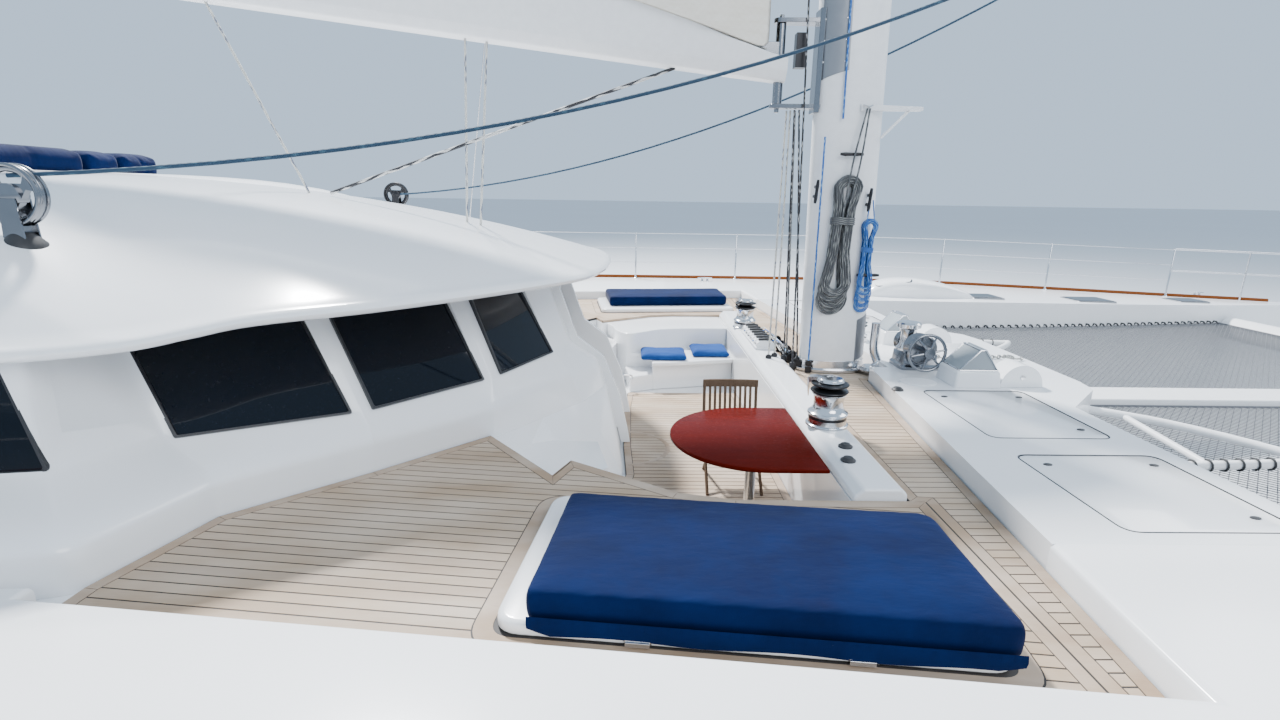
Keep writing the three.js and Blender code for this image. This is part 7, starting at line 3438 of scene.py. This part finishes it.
@dataclass
class Rails:
    """Guardrails, pulpits, beam, longeron and nets."""

    feet: list[float] = field(
        default_factory=lambda: [-11.0, -9.0, -7.0, -5.0, -3.0, -1.02, 0.96, 2.94, 4.97, 7.0, 8.96, 11.07]
    )
    high: float = 0.89

    def foot(self, x: float) -> Vector:
        """Where a stanchion stands."""
        deck, _, _, sheer = HULLS.at(x)
        return Vector((x, HULL_Y + deck - 0.095, sheer))

    def build(self) -> None:
        """Makes rails, beam, longeron and nets."""
        posts, wires = Shape(), Shape()
        up = Vector((0, 0, 1))
        for x in self.feet:
            p = self.foot(x)
            posts.tube(
                [p + up * 0.0005, p + up * (self.high - 0.01), p + up * self.high],
                [0.0145, 0.0145, 0.008],
                14,
            )
            posts.lathe(
                [(0.0, 0.0005), (0.038, 0.0005), (0.04, 0.008), (0.024, 0.02), (0.021, 0.05), (0.0145, 0.055)],
                tuple(p),
                sides=20,
            )
        line = [self.foot(x) for x in self.feet]
        for share in (0.35, 0.67, 0.985):
            wires.tube([p + up * (self.high * share) for p in line], 0.005, 8)
        bow = [self.foot(x) for x in (11.07, 12.3, 13.1)]
        tops = [p + up * self.high for p in bow] + [Vector((13.35, HULL_Y, 2.16 + self.high))]
        middle = [p + up * (self.high * 0.55) for p in bow] + [
            Vector((13.35, HULL_Y, 2.16 + self.high * 0.55))
        ]
        posts.tube(smooth_path(tops, 6), 0.016, 14)
        posts.tube(smooth_path(middle, 6), 0.013, 12)
        for p in bow[1:]:
            posts.tube([p + up * 0.0005, p + up * self.high], 0.016, 14)
        for side in Side:
            put(
                f"rail_posts_{side.tag}", posts.on(side), CHROME,
                replaces=[f"guardrail_{side.tag}"],
            )
            put(f"rail_wires_{side.tag}", wires.on(side), WIRE)
        beam = [
            [(11.5 + 0.19 * math.cos(a), y, 1.8 + 0.19 * math.sin(a)) for a in around(48)]
            for y in (-4.52, 4.52)
        ]
        put("beam_tube", Shape().loft(beam), SPAR, replaces=["forward_beam"])
        softened("longeron", SPAR, edge=Edge(0.03, 4))
        self.nets()

    def nets(self) -> None:
        """Knotless nets of crossed cords, swept along lines by a Geometry Nodes tree."""
        outline = [
            (4.96, 0.24), (4.91, 2.61), (4.46, 2.61), (4.46, 3.98), (6.5, 4.06), (8.5, 4.3), (11.3, 4.72),
            (11.3, 0.24),
        ]
        for side in Side:
            spots, links = self.strands(outline, 0.055)
            data = raw_mesh("strands", [(x, y * side.value, z) for x, y, z in spots], links)
            rule = Rule(f"net_{side.tag} rule", {"Cord": 0.0035, "Sides": 4})
            curve = rule.node("GeometryNodeMeshToCurve", None, {0: rule.start.outputs[0]})
            ring = rule.node(
                "GeometryNodeCurvePrimitiveCircle",
                None,
                {"Resolution": rule.size("Sides"), "Radius": rule.size("Cord")},
            )
            swept = rule.node(
                "GeometryNodeCurveToMesh",
                None,
                {"Curve": curve.outputs[0], "Profile Curve": ring.outputs[0], "Fill Caps": True},
            )
            piece = linked(f"net_cords_{side.tag}", data)
            rule.run(piece, swept.outputs[0], NETCORD)
            settle(piece, PLATFORM, [f"net_{side.tag}"])
            rim = Shape().tube(lift(outline, NET_LEVEL), 0.012, 8, closed=True)
            put(f"net_edge_{side.tag}", rim.on(side), NETCORD)

    @staticmethod
    def strands(outline: list[Plan], pitch: float) -> tuple[list[Point], list[tuple[int, int]]]:
        """Diagonal lines clipped to an outline, as points and the pairs that they join.

        Args:
            outline: The outline.
            pitch: The distance between two lines.

        Returns:
            The points and the pairs.
        """
        spots, links = [], []
        for way in (1, -1):
            normal = Vector((1, -way)).normalized()
            along = Vector((1, way)).normalized()
            reach = [Vector(p).dot(normal) for p in outline]
            c = min(reach) + pitch / 2
            while c < max(reach):
                cuts = []
                for k in range(len(outline)):
                    a, b = Vector(outline[k]), Vector(outline[(k + 1) % len(outline)])
                    da, db = a.dot(normal) - c, b.dot(normal) - c
                    if da * db < 0:
                        p = a.lerp(b, da / (da - db))
                        cuts.append(p.dot(along))
                cuts.sort()
                for s, e in zip(cuts[::2], cuts[1::2]):
                    for t in (s, e):
                        p = normal * c + along * t
                        spots.append((p.x, p.y, 1.888 + 0.003 * way))
                    links.append((len(spots) - 2, len(spots) - 1))
                c += pitch
        return spots, links


# ---- Below the water and on the flybridge


@dataclass
class Underbody:
    """Rudders and propellers."""

    def build(self) -> None:
        """Makes rudder blades and propellers."""
        for side in Side:
            table = ((-0.62, 0.76, 0.045), (-1.0, 0.66, 0.038), (-1.38, 0.55, 0.03), (-1.45, 0.5, 0.016))
            rings = [
                Hulls.foil(z, RUDDER_X - 0.7 * chord, RUDDER_X + 0.3 * chord, half)
                for z, chord, half in table
            ]
            blade = Shape().loft(rings).tube(
                [(RUDDER_X, HULL_Y, -0.7), (RUDDER_X, HULL_Y, -0.5853)], 0.036, 20
            )
            put(
                f"rudder_blade_{side.tag}", blade.on(side), BOTTOM, f"rudder_{side.tag}",
                [f"rudder_{side.tag}"],
            )
            prop = Shape().lathe(
                [(0.0, 0.0), (0.06, 0.0), (0.06, 0.09), (0.045, 0.14), (0.02, 0.16), (0.0, 0.16)],
                (-9.2403, HULL_Y, SHAFT_Z),
                (-1, 0, 0),
                28,
            )
            for k in range(3):
                rings = []
                for r, half, twist in (
                    (0.03, 0.05, 0.9), (0.1, 0.085, 0.75), (0.17, 0.1, 0.6), (0.24, 0.085, 0.5),
                    (0.28, 0.045, 0.45), (0.29, 0.02, 0.43),
                ):
                    ring = []
                    for a in around(16):
                        u, v = half * math.cos(a), 0.008 * math.sin(a) * (0.3 + 0.7 * (0.3 - r) / 0.3)
                        ring.append(
                            (
                                u * math.cos(twist) - v * math.sin(twist),
                                u * math.sin(twist) + v * math.cos(twist),
                                r,
                            )
                        )
                    rings.append(ring)
                turn = Matrix.Translation((-9.31, HULL_Y, SHAFT_Z)) @ Matrix.Rotation(
                    2 * math.pi * k / 3, 4, "X"
                )
                blade = Shape().loft([[(y, x, z) for x, y, z in ring] for ring in rings]).turned(turn)
                prop.join(blade)
            put(
                f"propeller_blades_{side.tag}", prop.on(side), BRONZE, f"propeller_{side.tag}",
                [f"propeller_{side.tag}"],
            )


@dataclass
class Flybridge:
    """Coaming and steering wheels on the roof."""

    def build(self) -> None:
        """Makes the coaming and the wheels."""
        for vertex in softened("flybridge_coaming", WHITE, edge=Edge(0.04, 4)).data.vertices:
            if vertex.co.x > -7.5:
                vertex.co.z = min(vertex.co.z, 4.24)
        for side in Side:
            centre = Vector((-9.02, 1.9 * side.value, 4.8))
            rim = [centre + Vector((0, 0.4 * math.cos(a), 0.4 * math.sin(a))) for a in around(64)]
            wheel = Shape().tube(rim, 0.016, 14, closed=True)
            for k in range(6):
                a = math.pi * k / 3
                tip = Vector((0, 0.39 * math.cos(a), 0.39 * math.sin(a)))
                wheel.tube([centre + tip * 0.1, centre + tip], [0.011, 0.009], 10)
            wheel.lathe(
                [
                    (0.0, -0.025), (0.04, -0.025), (0.05, -0.015), (0.05, 0.015), (0.03, 0.03),
                    (0.028, 0.119), (0.0, 0.119),
                ],
                tuple(centre),
                (1, 0, 0),
                28,
            )
            node = f"steering_wheel_{side.tag}"
            put(f"{node}_rim", wheel, CHROME, node, [node])


# ---- Studio


@dataclass
class Studio:
    """Floor, lights and camera."""

    eye: Point = (0.85, -6.5, 3.95)
    lens: float = 18.0
    down: float = 14.5
    left: float = -1.0
    roll: float = 0.85

    def floor(self) -> None:
        """A plain pale floor at the waterline."""
        data = raw_mesh("floor", lift(oblong(-400, 400, -400, 400), 0), faces=[(0, 1, 2, 3)])
        make("floor", data, Ground("studio floor"))

    def lights(self) -> None:
        """Soft studio lights and an even sky."""
        for name, spot, aim, power, size in (
            ("key", (-10.0, 20.0, 30.0), (1, 0, 2), 46000.0, 3.0),
            ("fill", (12.0, -26.0, 20.0), (0, 0, 2), 6000.0, 18.0),
            ("back", (26.0, 10.0, 24.0), (0, 0, 3), 3500.0, 14.0),
        ):
            data = bpy.data.lights.new(name, "AREA")
            data.energy = power
            data.size = size
            light = linked(name, data)
            light.location = spot
            light.rotation_euler = (Vector(aim) - Vector(spot)).to_track_quat("-Z", "Y").to_euler()
        world = bpy.data.worlds.new("studio")
        world.use_nodes = True
        backdrop = world.node_tree.nodes["Background"]
        backdrop.inputs["Color"].default_value = (0.60, 0.78, 1.0, 1.0)
        backdrop.inputs["Strength"].default_value = 1.1
        bpy.context.scene.world = world

    def camera(self) -> None:
        """The camera at the photograph's angle."""
        psi, theta, rho = math.radians(self.left), math.radians(self.down), math.radians(self.roll)
        ahead = Vector((-math.sin(psi) * math.cos(theta), math.cos(psi) * math.cos(theta), -math.sin(theta)))
        right = Vector((math.cos(psi), math.sin(psi), 0))
        up = right.cross(ahead)
        r2 = right * math.cos(rho) + up * math.sin(rho)
        u2 = up * math.cos(rho) - right * math.sin(rho)
        data = bpy.data.cameras.new("camera")
        data.lens = self.lens
        data.sensor_width = 36.0
        data.clip_start = 0.05
        data.clip_end = 900.0
        camera = linked("camera", data)
        matrix = Matrix((r2, u2, -ahead)).transposed().to_4x4()
        matrix.translation = Vector(self.eye)
        camera.matrix_world = matrix
        bpy.context.scene.camera = camera

    def build(self) -> None:
        """Sets the studio up."""
        self.floor()
        self.lights()
        self.camera()


HULLS = Hulls()


def main() -> None:
    """Builds the boat and the studio."""
    for assembly in (
        HULLS, Coachroof(), Decks(), Furniture(), Hardware(), Rig(), Running(), Foredeck(), Rails(),
        Flybridge(), Underbody(), SoftGoods(), Studio(),
    ):
        log.info("building %s", type(assembly).__name__)
        assembly.build()


if __name__ == "__main__":
    main()
